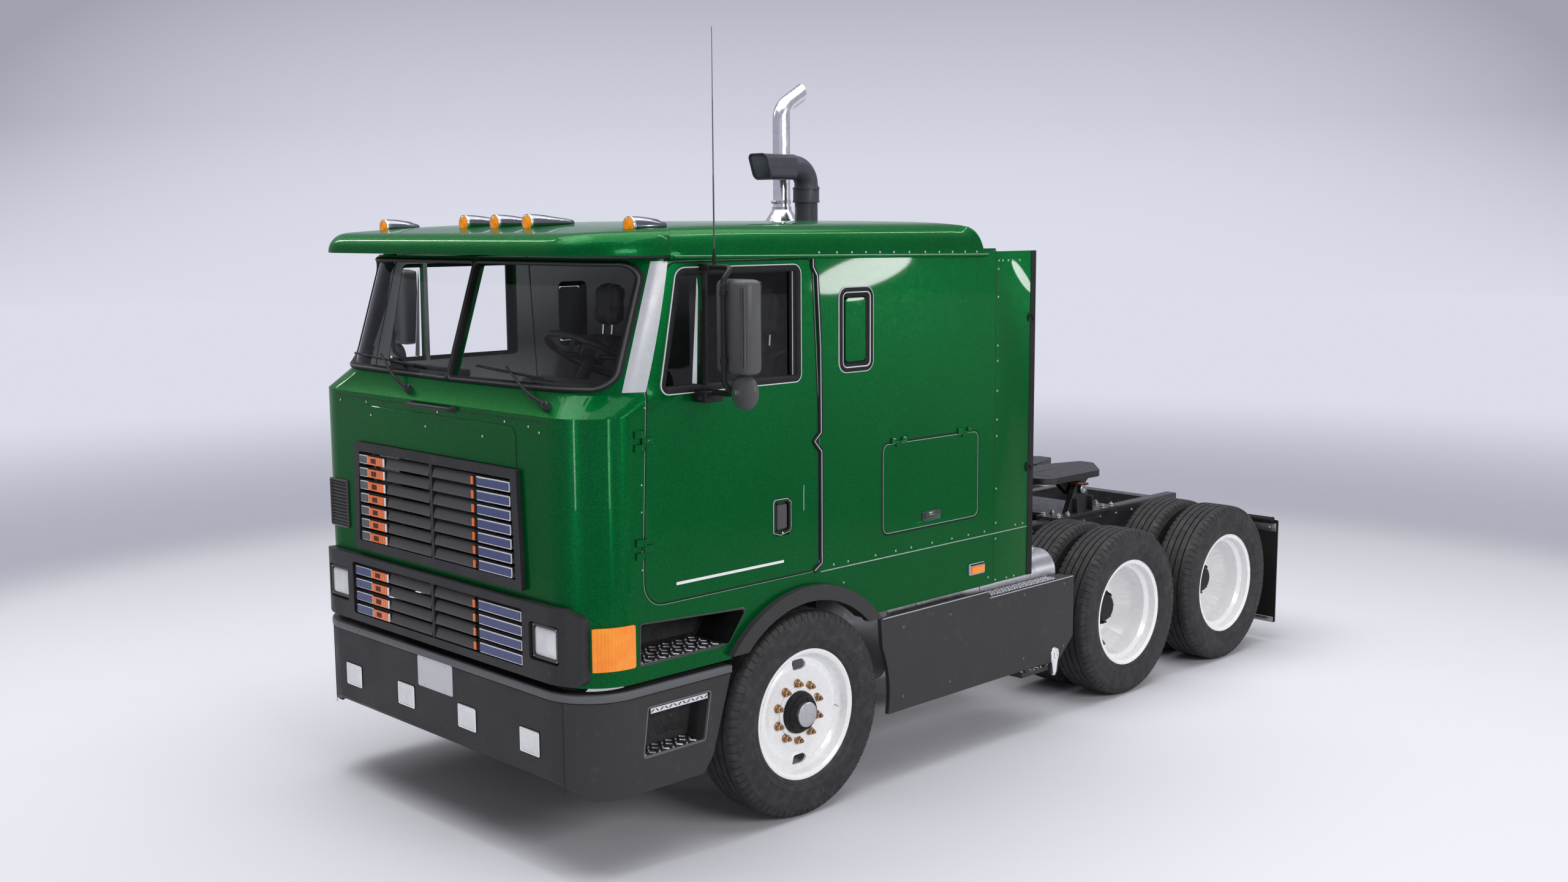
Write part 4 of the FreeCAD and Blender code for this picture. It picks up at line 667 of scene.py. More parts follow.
def makeCamera():
    a, p, roll = (math.radians(viewpoint[k]) for k in ("azimuth", "pitch", "roll"))
    forward = Vector((-math.sin(a) * math.cos(p), math.cos(a) * math.cos(p), -math.sin(p)))
    right = Vector((math.cos(a), math.sin(a), 0))
    up = right.cross(forward)
    right2 = right * math.cos(roll) + up * math.sin(roll)
    up2 = up * math.cos(roll) - right * math.sin(roll)
    data = bpy.data.cameras.new("view")
    data.lens = viewpoint["lens"]
    data.sensor_width = 36.0
    camera = bpy.data.objects.new("view", data)
    turn = Matrix((right2, up2, -forward)).transposed().to_4x4()
    camera.matrix_world = Matrix.Translation(viewpoint["spot"]) @ turn
    bpy.context.scene.collection.objects.link(camera)
    bpy.context.scene.camera = camera


def areaLight(name, spot, aim, width, height, power, shape="RECTANGLE", roll=0.0):
    data = bpy.data.lights.new(name, "AREA")
    data.shape = shape
    data.size = width
    data.size_y = height
    data.energy = power
    lamp = bpy.data.objects.new(name, data)
    lamp.location = spot
    turn = (Vector(aim) - Vector(spot)).to_track_quat("-Z", "Y") @ Quaternion((0, 0, 1), math.radians(roll))
    lamp.rotation_euler = turn.to_euler()
    bpy.context.scene.collection.objects.link(lamp)


# Pale floor that fades into the wall with distance. The wall is the world: pale at the horizon, darker upwards and
# to both sides of the view's middle; the camera, gloss and glass see it, and the rest gets an even fill.
def makeStudio():
    world = bpy.data.worlds.new("studio")
    bpy.context.scene.world = world
    world.use_nodes = True
    tree = world.node_tree
    tree.nodes.clear()
    out = tree.nodes.new("ShaderNodeOutputWorld")
    wall, fill, blend = (tree.nodes.new("ShaderNode" + k) for k in ("Background", "Background", "MixShader"))
    path = tree.nodes.new("ShaderNodeLightPath")
    way = tree.nodes.new("ShaderNodeTexCoord")
    turn = tree.nodes.new("ShaderNodeVectorRotate")
    turn.rotation_type = "Z_AXIS"
    turn.inputs["Angle"].default_value = -math.radians(viewpoint["azimuth"])
    tree.links.new(way.outputs["Generated"], turn.inputs["Vector"])
    parts = tree.nodes.new("ShaderNodeSeparateXYZ")
    tree.links.new(turn.outputs[0], parts.inputs[0])
    x, y, z = (Val(tree, socket) for socket in parts.outputs)
    rise = z - studio["brightRise"]
    above = (rise * 9.0).clamp()
    dim = (x * x * x * x * above * studio["sideFall"] + rise * rise * above * studio["topFall"]).clamp()
    shade = tree.nodes.new("ShaderNodeMix")
    shade.data_type = "RGBA"
    feed(tree, dim, shade.inputs[0])
    feed(tree, studio["wall"], shade.inputs[6])
    feed(tree, studio["wallDark"], shade.inputs[7])
    tree.links.new(shade.outputs[2], wall.inputs[0])
    wall.inputs[1].default_value = 1.0
    fill.inputs[0].default_value = (0.95, 0.96, 1.0, 1.0)
    fill.inputs[1].default_value = studio["world"]
    seen = Val(tree, path.outputs["Is Camera Ray"]).high(Val(tree, path.outputs["Is Transmission Ray"]))
    seen = seen.high(Val(tree, path.outputs["Is Glossy Ray"]))
    feed(tree, seen, blend.inputs[0])
    tree.links.new(fill.outputs[0], blend.inputs[1])
    tree.links.new(wall.outputs[0], blend.inputs[2])
    tree.links.new(blend.outputs[0], out.inputs[0])

    p = Paint("studioFloor")
    x, y, z = p.axes()
    away = (x * x + y * y).run("SQRT")
    fade = p.ramp(away, studio["bandStart"], studio["bandEnd"])
    matt = p.add("BsdfDiffuse", Color=studio["floor"])
    # Past 6.6 m the floor gives out its own light: a darker band, painted shade of the floor's fall-off, then
    # brighter towards the horizon's colour.
    band = p.mix(p.ramp(away, studio["bandEnd"], studio["bandFade"]), studio["footBand"], studio["horizon"])
    glow = p.add("Emission", Color=band, Strength=1.0)
    mixed = p.add("MixShader")
    feed(p.tree, fade, mixed.inputs[0])
    p.tree.links.new(matt.outputs[0], mixed.inputs[1])
    p.tree.links.new(glow.outputs[0], mixed.inputs[2])
    p.tree.links.new(mixed.outputs[0], p.out.inputs[0])
    radius, sides = 60.0, 96
    t = np.linspace(0, 2 * np.pi, sides, endpoint=False)
    rings = [np.stack([r * np.cos(t), r * np.sin(t), 0 * t], -1) for r in (0.5, 6.0, 14.0, 30.0, radius)]
    mesh = bpy.data.meshes.new("studioFloor")
    mesh.from_pydata(np.vstack(rings).tolist(), [], gridFaces(5, sides, False, True) + [tuple(range(sides))])
    mesh.materials.append(p.material)
    floor = bpy.data.objects.new("studioFloor", mesh)
    bpy.context.scene.collection.objects.link(floor)

    areaLight("overhead", (0.0, -1.0, 9.0), (-0.2, -0.8, 0), 10.0, 9.0, 780)
    areaLight("leftSoft", (13.5, -1.5, 6.5), (0.6, 0.3, 1.6), 9.0, 3.0, 780)
    areaLight("floorFront", (-2.6, -4.6, 9.4), (-2.0, -5.0, 0), 5.0, 4.0, 200)
    areaLight("cornerStrip", (2.9, -11.7, 1.1), (0.9, -2.8, 1.6), 0.5, 2.0, 80)
    areaLight("noseStrip", (-7.0, -3.2, 7.2), (0.0, -2.9, 2.8), 0.12, 4.0, 95)
    areaLight("railStrip", (2.4, 5.6, 9.2), (1.2, -1.0, 2.9), 0.12, 5.0, 95)
    areaLight("flankGlow", (8.16, 6.35, 2.36), (1.2, 5.5, 2.38), 1.5, 0.36, 80, "ELLIPSE", 12)


makeCamera()
makeStudio()
scene = bpy.context.scene
scene.view_settings.view_transform = "Standard"
print("camera and studio made")


# Frame nodes with their finishes

# 0 outer paint, 1 lining inside, 2 the dark underside and recesses, 3 a near-white lit lining by the passenger's door
# (painted light).
def cabSorter(x, y, z, normal, corners):
    inward = normal.x * x + normal.y * (y - 0.2) + normal.z * (z - 2.0)
    if min(c[1] for c in corners) > 1.55 and normal.y > 0.9:
        return 0
    if z < 1.3 and abs(normal.z) > 0.7:
        return 2
    if abs(x) < 0.43 and z < 1.79 and y > -1.28:
        return 2
    if z < 1.22 and abs(x) < 1.16 and y > -1.2:
        return 2
    if inward < 0 and x < -1.09 and y < 0.40 and z > 1.25 and abs(normal.z) < 0.9:
        return 3
    return 1 if inward < 0 and z > 1.2 else 0


def doorSorter(x, y, z, normal, corners):
    return int(normal.x * (1 if x > 0 else -1) < -0.4)


# Nodes that no piece replaces show their own form.
shownNodes = {"driveline": "steel", "engine_block": "engine", "radiator": "black", "deck_plate": "tread",
              "tie_rod": "frame", "cab_underframe": "frame", "turn_lamps": "amber", "cab_glass": "glass",
              "knuckle_left": "frame", "knuckle_right": "frame", "door_glass_left": "glass",
              "door_glass_right": "glass"}


def dressFrame():
    fromFrame("sideExtenders", "side_extenders", ["green", "rubber"], "cab", 0.003,
              sorter=lambda x, y, z, normal, corners: int(min(c[1] for c in corners) > 1.8035))
    fromFrame("archFlares", "arch_flares", ["bumper", "liner"], "cab", 0.003,
              sorter=lambda x, y, z, n, c: int(max(math.hypot(a[1] - 0.030, a[2] - 0.490) for a in c) < 0.590))
    fromFrame("cabShell", "cab_shell", ["green", "lining", "black", "paleLining"], "cab", 0.003, sorter=cabSorter)
    for side in ("left", "right"):
        # The passenger's door is lined inside with the near-white lit copy of the dark lining: painted light.
        inside = "paleLining" if side == "right" else "lining"
        fromFrame("door" + side.title(), "door_" + side, ["green", inside], "door_" + side, 0.0025,
                  sorter=doorSorter)
        fromFrame("luggageDoor" + side.title(), "luggage_door_" + side, "green", "luggage_door_" + side, 0.003)
    for node, key in shownNodes.items():
        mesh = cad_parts[node].data
        mesh.materials.clear()
        mesh.materials.append(paints[key])


dressFrame()
print("frame dressed")


# Wheels

tyreSizes = {"treadHalf": 0.110, "grooves": (0.022, 0.066), "grooveWidth": 0.0095, "grooveDepth": 0.012,
             "pitches": 76, "slotDepth": 0.0035, "widest": 0.139, "lip": 0.3265}
wheelSizes = {"twinOffset": 0.1625, "frontX": 1.085, "rearX": 1.045, "studCircle": 0.143, "studs": 10,
              "discX": 0.052, "axles": {"front": 0.0, "mid": 2.867, "rear": 4.005}, "frontHub": 0.127,
              "twinHub": 0.1345, "capScrews": 0.074, "flangeNuts": 0.098}


# Rows of (across, radius, slot) from the tread's middle to the bead, then back inside.
def tyreProfile():
    r, s = tyreRadius, tyreSizes
    half, deep = s["grooveWidth"] / 2, s["grooveDepth"]
    rows = [(0.0, r - 0.0005, 0)]
    for g in s["grooves"]:
        rows += [(g - half, r - 0.001, 0), (g - half * 0.7, r - deep, 0), (g + half * 0.7, r - deep, 0),
                 (g + half, r - 0.001, 0)]
    rows += [(0.092, r - 0.002, 0), (0.098, r - 0.003, 1), (s["treadHalf"], r - 0.006, 1), (0.1195, r - 0.014, 1),
             (0.1255, r - 0.034, 1), (0.1285, r - 0.040, 0), (0.1300, r - 0.0445, 0), (0.1318, r - 0.0455, 0),
             (0.1330, r - 0.050, 0), (0.1330, r - 0.055, 0), (0.1365, r - 0.070, 0), (s["widest"], r - 0.092, 0),
             (0.1385, 0.405, 0), (0.1365, 0.385, 0), (0.1358, 0.380, 0), (0.1372, 0.3775, 0), (0.1366, 0.3735, 0),
             (0.1345, 0.3715, 0), (0.1310, 0.3590, 0), (0.1268, 0.3480, 0), (0.1262, 0.3450, 0), (0.1272, 0.3425, 0),
             (0.1250, 0.3390, 0), (0.1195, 0.3320, 0), (0.1165, s["lip"], 0), (0.1050, 0.3120, 0),
             (0.0900, 0.3120, 0), (0.1150, 0.3900, 0), (0.1120, 0.4500, 0), (0.0800, 0.4880, 0)]
    right = np.array(rows)
    left = right[:0:-1] * np.array([-1, 1, 1])
    return np.vstack([left, right, [(0.0, 0.493, 0)]])


# Surface of revolution about X; at the shoulders every pitch has one slot cut inwards along the radius.
def tyreParts(centreX, y):
    rows = tyreProfile()
    s = tyreSizes
    turn = (np.arange(s["pitches"])[:, None] + np.array([0.0, 0.05, 0.15, 0.2])).ravel() * 2 * np.pi / s["pitches"]
    inSlot = np.tile(np.array([0, 1, 1, 0]), s["pitches"])
    radius = rows[None, :, 1] - inSlot[:, None] * rows[None, :, 2] * s["slotDepth"]
    x = np.broadcast_to(rows[None, :, 0], radius.shape) * (1 - 0.02 * inSlot[:, None] * rows[None, :, 2])
    points = np.stack([centreX + x, y + radius * np.sin(turn)[:, None], tyreRadius + radius * np.cos(turn)[:, None]],
                      -1)
    return points.reshape(-1, 3), gridFaces(len(turn), len(rows), True, True)


# Flanged hexagon nut with the stud's end standing out of it.
def hexNut(centre, axis, radius, height, turn=0.0):
    flange = lathe([(0, radius * 1.25), (height * 0.18, radius * 1.25), (height * 0.3, radius)], centre, axis, 14)
    side, up, way = frameOf(axis)
    t = np.arange(6) * np.pi / 3 + turn
    ring = np.cos(t)[:, None] * side + np.sin(t)[:, None] * up
    levels = [(0.2, 1.0), (0.85, 1.0), (1.0, 0.84)]
    body = skinned([np.asarray(centre) + way * height * h + ring * radius * k for h, k in levels])
    stud = lathe([(0, radius * 0.5), (height * 1.35, radius * 0.5), (height * 1.45, radius * 0.38)], centre, axis, 10)
    return [flange, body, stud]


# A point on a circle round the axle at y.
def wheelSpot(x, y, circle, angle):
    return x, y + circle * math.cos(angle), tyreRadius + circle * math.sin(angle)


def studRing(x, y, out, radius, height):
    parts = []
    for i in range(wheelSizes["studs"]):
        a = 2 * math.pi * (i + 0.5) / wheelSizes["studs"]
        parts += hexNut(wheelSpot(x, y, wheelSizes["studCircle"], a), (out, 0, 0), radius, height, a)
    return parts


# Rim and disc white; the faces that lie wholly within the hub's radius are greased iron.
def wheelSorter(y0, hubRadius):
    def choose(x, y, z, normal, corners):
        return int(max(math.hypot(c[1] - y0, c[2] - tyreRadius) for c in corners) < hubRadius)
    return choose


def frontWheel(side, sign):
    s = wheelSizes
    y = s["axles"]["front"]
    centre = sign * s["frontX"]
    body = "front_wheel_" + side
    face = centre + sign * s["discX"]
    out = (sign, 0, 0)
    title = "front%s" + side.title()
    piece(title % "Tyre", tyreParts(centre, y), "tyre", body, replaces=("front_tyre_" + side,), slot="tyre_rubber",
          sharp=40)
    fromFrame(title % "Rim", body, ["white", "iron"], body, 0.0015,
              sorter=wheelSorter(y, s["frontHub"]))
    piece(title % "Nuts", studRing(face, y, sign, 0.0175, 0.030), "bronze", body, 0.0006)
    hub = (face, y, tyreRadius)
    collar = lathe([(0, 0.128), (0.008, 0.127), (0.011, 0.120), (0.011, 0.1065), (0.0, 0.1055)], hub, out, 48)
    piece(title % "HubCollar", collar, "white", body)
    rings = [lathe([(0.0, 0.1045), (0.026, 0.1040), (0.034, 0.098), (0.036, 0.090), (0.050, 0.088), (0.056, 0.084),
                    (0.056, 0.0)], hub, out, 48)]
    screws = [wheelSpot(face + sign * 0.056, y, s["capScrews"], 2 * math.pi * (i + 0.25) / 6) for i in range(6)]
    rings += domes(screws, [out], 0.007, 0.006, 6)
    piece(title % "HubRing", rings, "black", body, 0.001)
    cap = [lathe([(0.054, 0.0625), (0.075, 0.0620), (0.0775, 0.0560), (0.078, 0.0500), (0.0785, 0.0)], hub, out, 40),
           lathe([(0.0770, 0.018), (0.0795, 0.018), (0.0795, 0.0)], hub, out, 16)]
    piece(title % "HubCap", cap, "steel", body, 0.0008)
    stem = [(face + sign * dx, y + dy, tyreRadius + dz)
            for dx, dy, dz in ((-0.01, 0.262, -0.02), (0.02, 0.258, -0.02), (0.045, 0.246, -0.018))]
    piece(title % "Valve", tube(smoothPath(stem), 0.0042, 8), "steel", body)


def twinWheels(axle, side, sign):
    s = wheelSizes
    y = s["axles"][axle]
    middle = sign * (s["rearX"] - s["twinOffset"])
    body = axle + "_wheels_" + side
    title = axle + "%s" + side.title()
    piece(title % "Tyres", [tyreParts(middle + d * s["twinOffset"], y) for d in (-1, 1)], "tyre", body,
          replaces=(axle + "_tyres_" + side,), slot="tyre_rubber", sharp=40)
    fromFrame(title % "Rims", body, ["white", "iron"], body, 0.0015, sorter=wheelSorter(y, s["twinHub"]))
    face = middle + sign * 0.012
    piece(title % "Nuts", studRing(face, y, sign, 0.0165, 0.032), "rust", body, 0.0006)
    hub = (face, y, tyreRadius)
    out = (sign, 0, 0)
    flange = [lathe([(0.02, 0.1185), (0.062, 0.112), (0.066, 0.106), (0.066, 0.088), (0.098, 0.082), (0.106, 0.070),
                     (0.107, 0.0)], hub, out, 40)]
    for i in range(8):
        a = 2 * math.pi * i / 8
        flange += hexNut(wheelSpot(middle + sign * 0.078, y, s["flangeNuts"], a), out, 0.010, 0.016, a)
    piece(title % "Hub", flange, "black", body, 0.0008)
    # A black ring in the gap between disc and rim, where the shadow falls: painted shade.
    gap = [(0.100, 0.2755), (0.118, 0.2765), (0.118, 0.2685), (0.100, 0.2665)]
    piece(title % "DiscSeam", lathe(gap, (middle, y, tyreRadius), out, 72, True), "black", body)


def makeWheels():
    for side, sign in (("left", 1), ("right", -1)):
        frontWheel(side, sign)
        twinWheels("mid", side, sign)
        twinWheels("rear", side, sign)


makeWheels()
print("wheels made")


# Front of the cab and bumper

front = {"cabY": -1.300, "grilleTop": 1.821, "grilleLow": 1.274, "grilleEdge": 0.045, "grilleRows": 7,
         "bezelTop": 1.237, "bezelLow": 0.893, "bezelEdge": 0.038, "bezelRows": 4, "tileY": -0.0215,
         "bladeY": -0.0225, "bezelStep": 0.011, "cowlZ": 2.045, "grabZ": 2.050, "grabX": (-0.178, 0.185),
         "louvre": (-0.995, -0.815, 1.355, 1.605), "lampX": 0.893, "lampZ": 1.0685, "lampSize": (0.180, 0.151)}
screenSizes = {"foot": (-1.208, 2.165), "head": (-1.020, 2.750), "half": 1.170, "corner": 0.360}
noseScrews = [(-0.560, 1.965), (-0.060, 1.950), (0.420, 1.945), (-0.60, 2.028), (0.05, 2.028), (0.60, 2.028),
              (-0.855, 2.02), (0.860, 2.000), (0.780, 2.02)]


# Point on the raked screen: it leans from foot to head, and past the corner's start its plan is a quarter circle.
def screenSpot(x, z, out):
    s = screenSizes
    share = (z - s["foot"][1]) / (s["head"][1] - s["foot"][1])
    y0 = s["foot"][0] + share * (s["head"][0] - s["foot"][0])
    over = np.maximum(np.abs(x) - (s["half"] - s["corner"]), 0)
    depth = np.sqrt(np.maximum(s["corner"] ** 2 - over ** 2, 1e-9))
    nx, ny = np.sign(x) * over / s["corner"], -depth / s["corner"]
    return np.stack([x + out * nx, y0 + s["corner"] - depth + out * ny, z + 0 * x], -1)


# Heights of the slats' middles in the grille or the bezel.
def slatZ(part):
    low, top, edge, rows = (front[part + key] for key in ("Low", "Top", "Edge", "Rows"))
    pitch = (top - low - 2 * edge) / rows
    return [low + edge + pitch * (i + 0.5) for i in range(rows)]


def tile(x0, x1, z, height, y, depth=0.005, radius=0.003):
    loop = roundRect(x1 - x0, height, radius, 3) + np.array([(x0 + x1) / 2, z])
    return plate(loop, [(0, 0), (depth - 0.001, 0), (depth, 0.001)], onFront(y))


def grilleTiles():
    upper, lower = slatZ("grille"), slatZ("bezel")
    grey, orange, white, blue, dark = [], [], [], [], []
    faceY = front["cabY"] + front["tileY"]
    for rows, y, first, amber, last in ((upper, faceY, (-0.652, -0.584), (-0.576, -0.430), (0.389, 0.650)),
                                        (lower, faceY - front["bezelStep"], (-0.713, -0.569), (-0.559, -0.414),
                                         (0.392, 0.728))):
        for z in rows:
            z -= 0.006
            white.append(tile(first[0] - 0.004, first[1] + 0.004, z, 0.044, y + 0.0035))
            (grey if rows is upper else blue).append(tile(first[0], first[1], z, 0.036, y))
            orange.append(tile(amber[0], amber[1], z, 0.042, y))
            dark.append(tile(amber[0] + 0.035, amber[0] + 0.085, z, 0.026, y - 0.004, 0.0015))
            white.append(tile(amber[1] + 0.002, amber[1] + 0.014, z, 0.042, y))
            orange.append(tile(0.346, 0.364, z, 0.038, y))
            white.append(tile(last[0], last[1], z, 0.046, y + 0.0035))
            blue.append(tile(last[0] + 0.005, last[1] - 0.005, z, 0.036, y))
    for name, parts, paint in (("Grey", grey, "bumperLip"), ("Orange", orange, "orange"), ("Dark", dark, "rustRed"),
                               ("White", white, "white"), ("Blue", blue, "blue")):
        piece("grille" + name + "Tiles", parts, paint, "cab")


# Pressed blades over the louvres: a shallow S across each slat, with a bright lower lip.
def slatSkins():
    section = np.array([(0.0, -0.027), (-0.0015, -0.024), (0.0015, -0.012), (0.006, 0.004), (0.012, 0.016),
                        (0.019, 0.022), (0.019, 0.0185), (0.009, 0.006), (0.004, -0.012), (0.002, -0.027)])
    blades = []
    for part, step, leftEnd in (("grille", 0.0, -0.402), ("bezel", front["bezelStep"], -0.394)):
        y = front["cabY"] + front["bladeY"] - step
        for z in slatZ(part):
            for x0, x1 in ((leftEnd, -0.016), (0.018, 0.342)):
                loops = [np.stack([np.full(len(section), x), y + section[:, 0], z + section[:, 1]], -1)
                         for x in (x0, x0 + 0.002, (x0 + x1) / 2, x1 - 0.002, x1)]
                blades.append(skinned(loops))
    piece("grilleBlades", blades, "slat", "cab", sharp=50)


def noseDetails():
    y = front["cabY"]
    panel = roundLoop([(-0.680, 1.8225, 0.003), (0.680, 1.8225, 0.003), (0.680, 2.010, 0.05), (-0.680, 2.010, 0.05)],
                      0)
    piece("accessPanel", [plate(panel, [(0.0003, 0), (0.0022, 0), (0.0034, 0.0012)], onFront(y))], "green", "cab",
          slot="green_paint")
    piece("accessPanelGap", band(panel, ringSection(0.005, 0.0008, 6), onFront(y)), "black", "cab")
    cowl = tube([(x, y - 0.0005, front["cowlZ"]) for x in np.linspace(-0.90, 0.90, 5)], 0.0018, 6)
    piece("cowlSeam", cowl, "black", "cab")
    piece("noseScrews", domes([(x, y - 0.0034, z) for x, z in noseScrews], [(0, -1, 0)], 0.006, 0.003), "steel",
          "cab")
    (xa, xb), z = front["grabX"], front["grabZ"]
    grab = tube(roundedPath([(xa, y, z), (xa, y - 0.0285, z), (xb, y - 0.0285, z), (xb, y, z)], 0.022), 0.0115, 14)
    feet = [lathe([(0, 0.021), (0.004, 0.021), (0.006, 0.014)], (x, y, z), (0, -1, 0), 20) for x in (xa, xb)]
    piece("noseGrabRail", [grab] + feet, "plastic", "cab")
    x0, x1, z0, z1 = front["louvre"]
    frameLoop = roundRect(x1 - x0, z1 - z0, 0.012) + np.array([(x0 + x1) / 2, (z0 + z1) / 2])
    piece("louvreBack", plate(frameLoop, [(0.0003, 0.002), (0.003, 0.002)], onFront(y)), "black", "cab")
    rim = band(frameLoop, [(0.0, 0.0), (0.0, 0.008), (-0.003, 0.010), (-0.009, 0.010), (-0.011, 0.007),
                           (-0.011, 0.0)],
               onFront(y))
    section = np.array([(0.0, 0.0), (-0.008, -0.004), (-0.0085, -0.0025), (-0.001, 0.005)])
    fins = []
    for i in range(13):
        z = z0 + 0.021 + i * 0.0175
        fins.append(skinned([np.stack([np.full(4, x), y - 0.0005 + section[:, 0], z + section[:, 1]], -1)
                             for x in (x0 + 0.010, x1 - 0.010)]))
    piece("louvreFins", [rim] + fins, "slat", "cab", sharp=50)


# Rubber gasket with a bright bead round each half of the screen, and the bar between them.
def screenTrim():
    loop = roundLoop([(0.010, 2.185, 0.02), (1.085, 2.195, 0.07), (1.085, 2.722, 0.07), (0.010, 2.722, 0.02)], 0, 9)
    fine = np.vstack([np.linspace(a, b, max(2, int(np.linalg.norm(b - a) / 0.05)), endpoint=False)
                      for a, b in zip(loop, np.roll(loop, -1, 0))])
    gasket = [band(fine, [(0.018, -0.002), (0.019, 0.006), (0.012, 0.0105), (0.0, 0.0115), (-0.005, 0.008),
                          (-0.007, -0.004), (-0.007, -0.020), (0.0, -0.020)], screenSpot)]
    bead = [band(fine, [(0.010, 0.0085), (0.009, 0.0125), (0.005, 0.0145), (0.001, 0.0125), (0.0, 0.0085)],
                 screenSpot)]
    gasket += mirrorParts(gasket)
    bead += mirrorParts(bead)
    zs = np.linspace(2.17, 2.735, 12)
    loops = [screenSpot(np.array([-0.012, -0.012, -0.007, 0.007, 0.012, 0.012]), np.full(6, z),
                        np.array([-0.004, 0.006, 0.014, 0.014, 0.006, -0.004])) for z in zs]
    gasket.append(skinned(loops))
    foot, head, corner = screenSizes["foot"], screenSizes["head"], screenSizes["corner"]
    skins = []
    for z in np.linspace(2.172, 2.738, 9):
        share = (z - foot[1]) / (head[1] - foot[1])
        turn = np.radians(np.linspace(57.0 - share, 74 - 6 * share ** 2, 7))
        y0 = foot[0] + share * (head[0] - foot[0])
        rows = []
        for out, angles in ((0.0045, turn), (-0.001, turn[::-1])):
            rows.append(np.stack([screenSizes["half"] - corner + (corner + out) * np.sin(angles),
                                  y0 + corner - (corner + out) * np.cos(angles), np.full(7, z)], -1))
        skins.append(np.vstack(rows))
    trim = [skinned(skins)]
    # The trim's pale grey is partly a painted reflection of the studio at the screen's corners.
    piece("pillarTrim", trim + mirrorParts(trim), "pillar", "cab", sharp=50)
    piece("screenGasket", gasket, "rubber", "cab", sharp=60)
    piece("screenBead", bead, "slat", "cab", sharp=60)


# Pivot and nut, then the arm with its spring, and the blade under its bowed spine; the blade leans by 5 percent.
def wiper(pivotX, tipX, bladeX):
    foot = np.array([pivotX, -1.258, 2.103])
    out = np.array([0.0, -0.718, 0.696])
    metalParts = [lathe([(-0.010, 0.026), (0.004, 0.026), (0.007, 0.021), (0.020, 0.019), (0.032, 0.018),
                         (0.034, 0.012)],
                        foot, out, 24)]
    metalParts += hexNut(foot + out * 0.034, out, 0.010, 0.010)
    tip = screenSpot(np.array(tipX), np.array(2.262), 0.040)
    knee = foot * 0.62 + tip * 0.38 + np.array([0, -0.030, 0.006])
    start = foot + out * 0.024
    arm = tube(smoothPath([start, knee, tip], 10), np.linspace(0.0105, 0.0055, 21), 10)
    spring = tube(smoothPath([start + np.array([0, -0.010, -0.004]), knee + np.array([0, 0.004, -0.014])], 8), 0.0045,
                  8)
    xs = np.linspace(bladeX[0], bladeX[1], 14)
    zs = 2.238 - 0.05 * (xs - xs.mean())
    bow = 0.012 * (1 - ((xs - xs.mean()) / (xs[-1] - xs.mean())) ** 2)
    spine = screenSpot(xs, zs, 0.019) + np.array([0, -1, 0.3]) * bow[:, None]
    edge = [screenSpot(xs, zs + d, h) for d, h in ((-0.006, 0.0125), (0.004, 0.0125), (0.003, 0.024),
                                                   (-0.005, 0.024))]
    blade = skinned(np.stack(edge, 1))
    yokes = []
    for k in (3, 10):
        yokes.append(tube([screenSpot(xs[k - 2], zs[k - 2], 0.023), spine[k] + np.array([0, -0.004, 0]),
                           screenSpot(xs[k + 2], zs[k + 2], 0.023)], 0.0035, 8))
    return metalParts, [arm, spring, tube(spine, 0.0045, 8), blade] + yokes


def makeWipers():
    metalParts, blackParts = [], []
    for row in ((-0.255, -0.585, (-0.880, -0.290)), (0.872, 0.500, (0.235, 0.760))):
        a, b = wiper(*row)
        metalParts += a
        blackParts += b
    piece("wiperArms", blackParts, "black", "cab", replaces=("wipers",), slot="black_plastic", sharp=45)
    piece("wiperPivots", metalParts, "plastic", "cab", slot="black_plastic")


# Sealed square lamps: fluted glass over a bright bowl, in a dark retaining ring with corner screws.
def makeHeadlights():
    w, h = front["lampSize"]
    y = front["cabY"]
    glassParts, rings, bowls, screws = [], [], [], []
    for sign in (1, -1):
        centre = np.array([sign * front["lampX"], front["lampZ"]])
        loop = roundRect(w - 0.012, h - 0.012, 0.022, 7) + centre
        bowls.append(plate(loop, [(0.002, 0), (0.012, 0), (0.013, 0.004), (0.006, 0.02)], onFront(y)))
        glassParts.append(plate(loop, [(0.013, 0.004), (0.0195, 0.004), (0.0235, 0.009), (0.0262, 0.022),
                                       (0.0275, 0.042)],
                                onFront(y)))
        outer = roundRect(w + 0.012, h + 0.012, 0.024, 7) + centre
        rings.append(band(outer, [(0.0, 0.0), (0.0, 0.022), (-0.003, 0.026), (-0.013, 0.026), (-0.017, 0.018),
                                  (-0.017, 0.0)], onFront(y)))
        for dx, dz in ((1, 1), (-1, 1), (1, -1), (-1, -1)):
            screws.append((centre[0] + dx * (w / 2 - 0.004), y - 0.0265, centre[1] + dz * (h / 2 - 0.004)))
    piece("headlightBowls", bowls, "chrome", "cab", replaces=("headlights",), slot="lamp_glass")
    piece("headlightLenses", glassParts, "lamp", "cab", slot="lamp_glass", sharp=60)
    piece("headlightRings", rings, "slat", "cab", sharp=40)
    piece("headlightScrews", domes(screws, [(0, -1, 0)], 0.004, 0.0015), "steel", "cab")


bumperSizes = {"half": 1.175, "y": -1.335, "corner": 0.270, "rearY": -0.47, "lamp": (0.150, 0.115),
               "lampX": (-0.772, -0.268, 0.268, 0.772), "lampZ": 0.5925, "plate": (0.305, 0.152), "plateZ": 0.744}


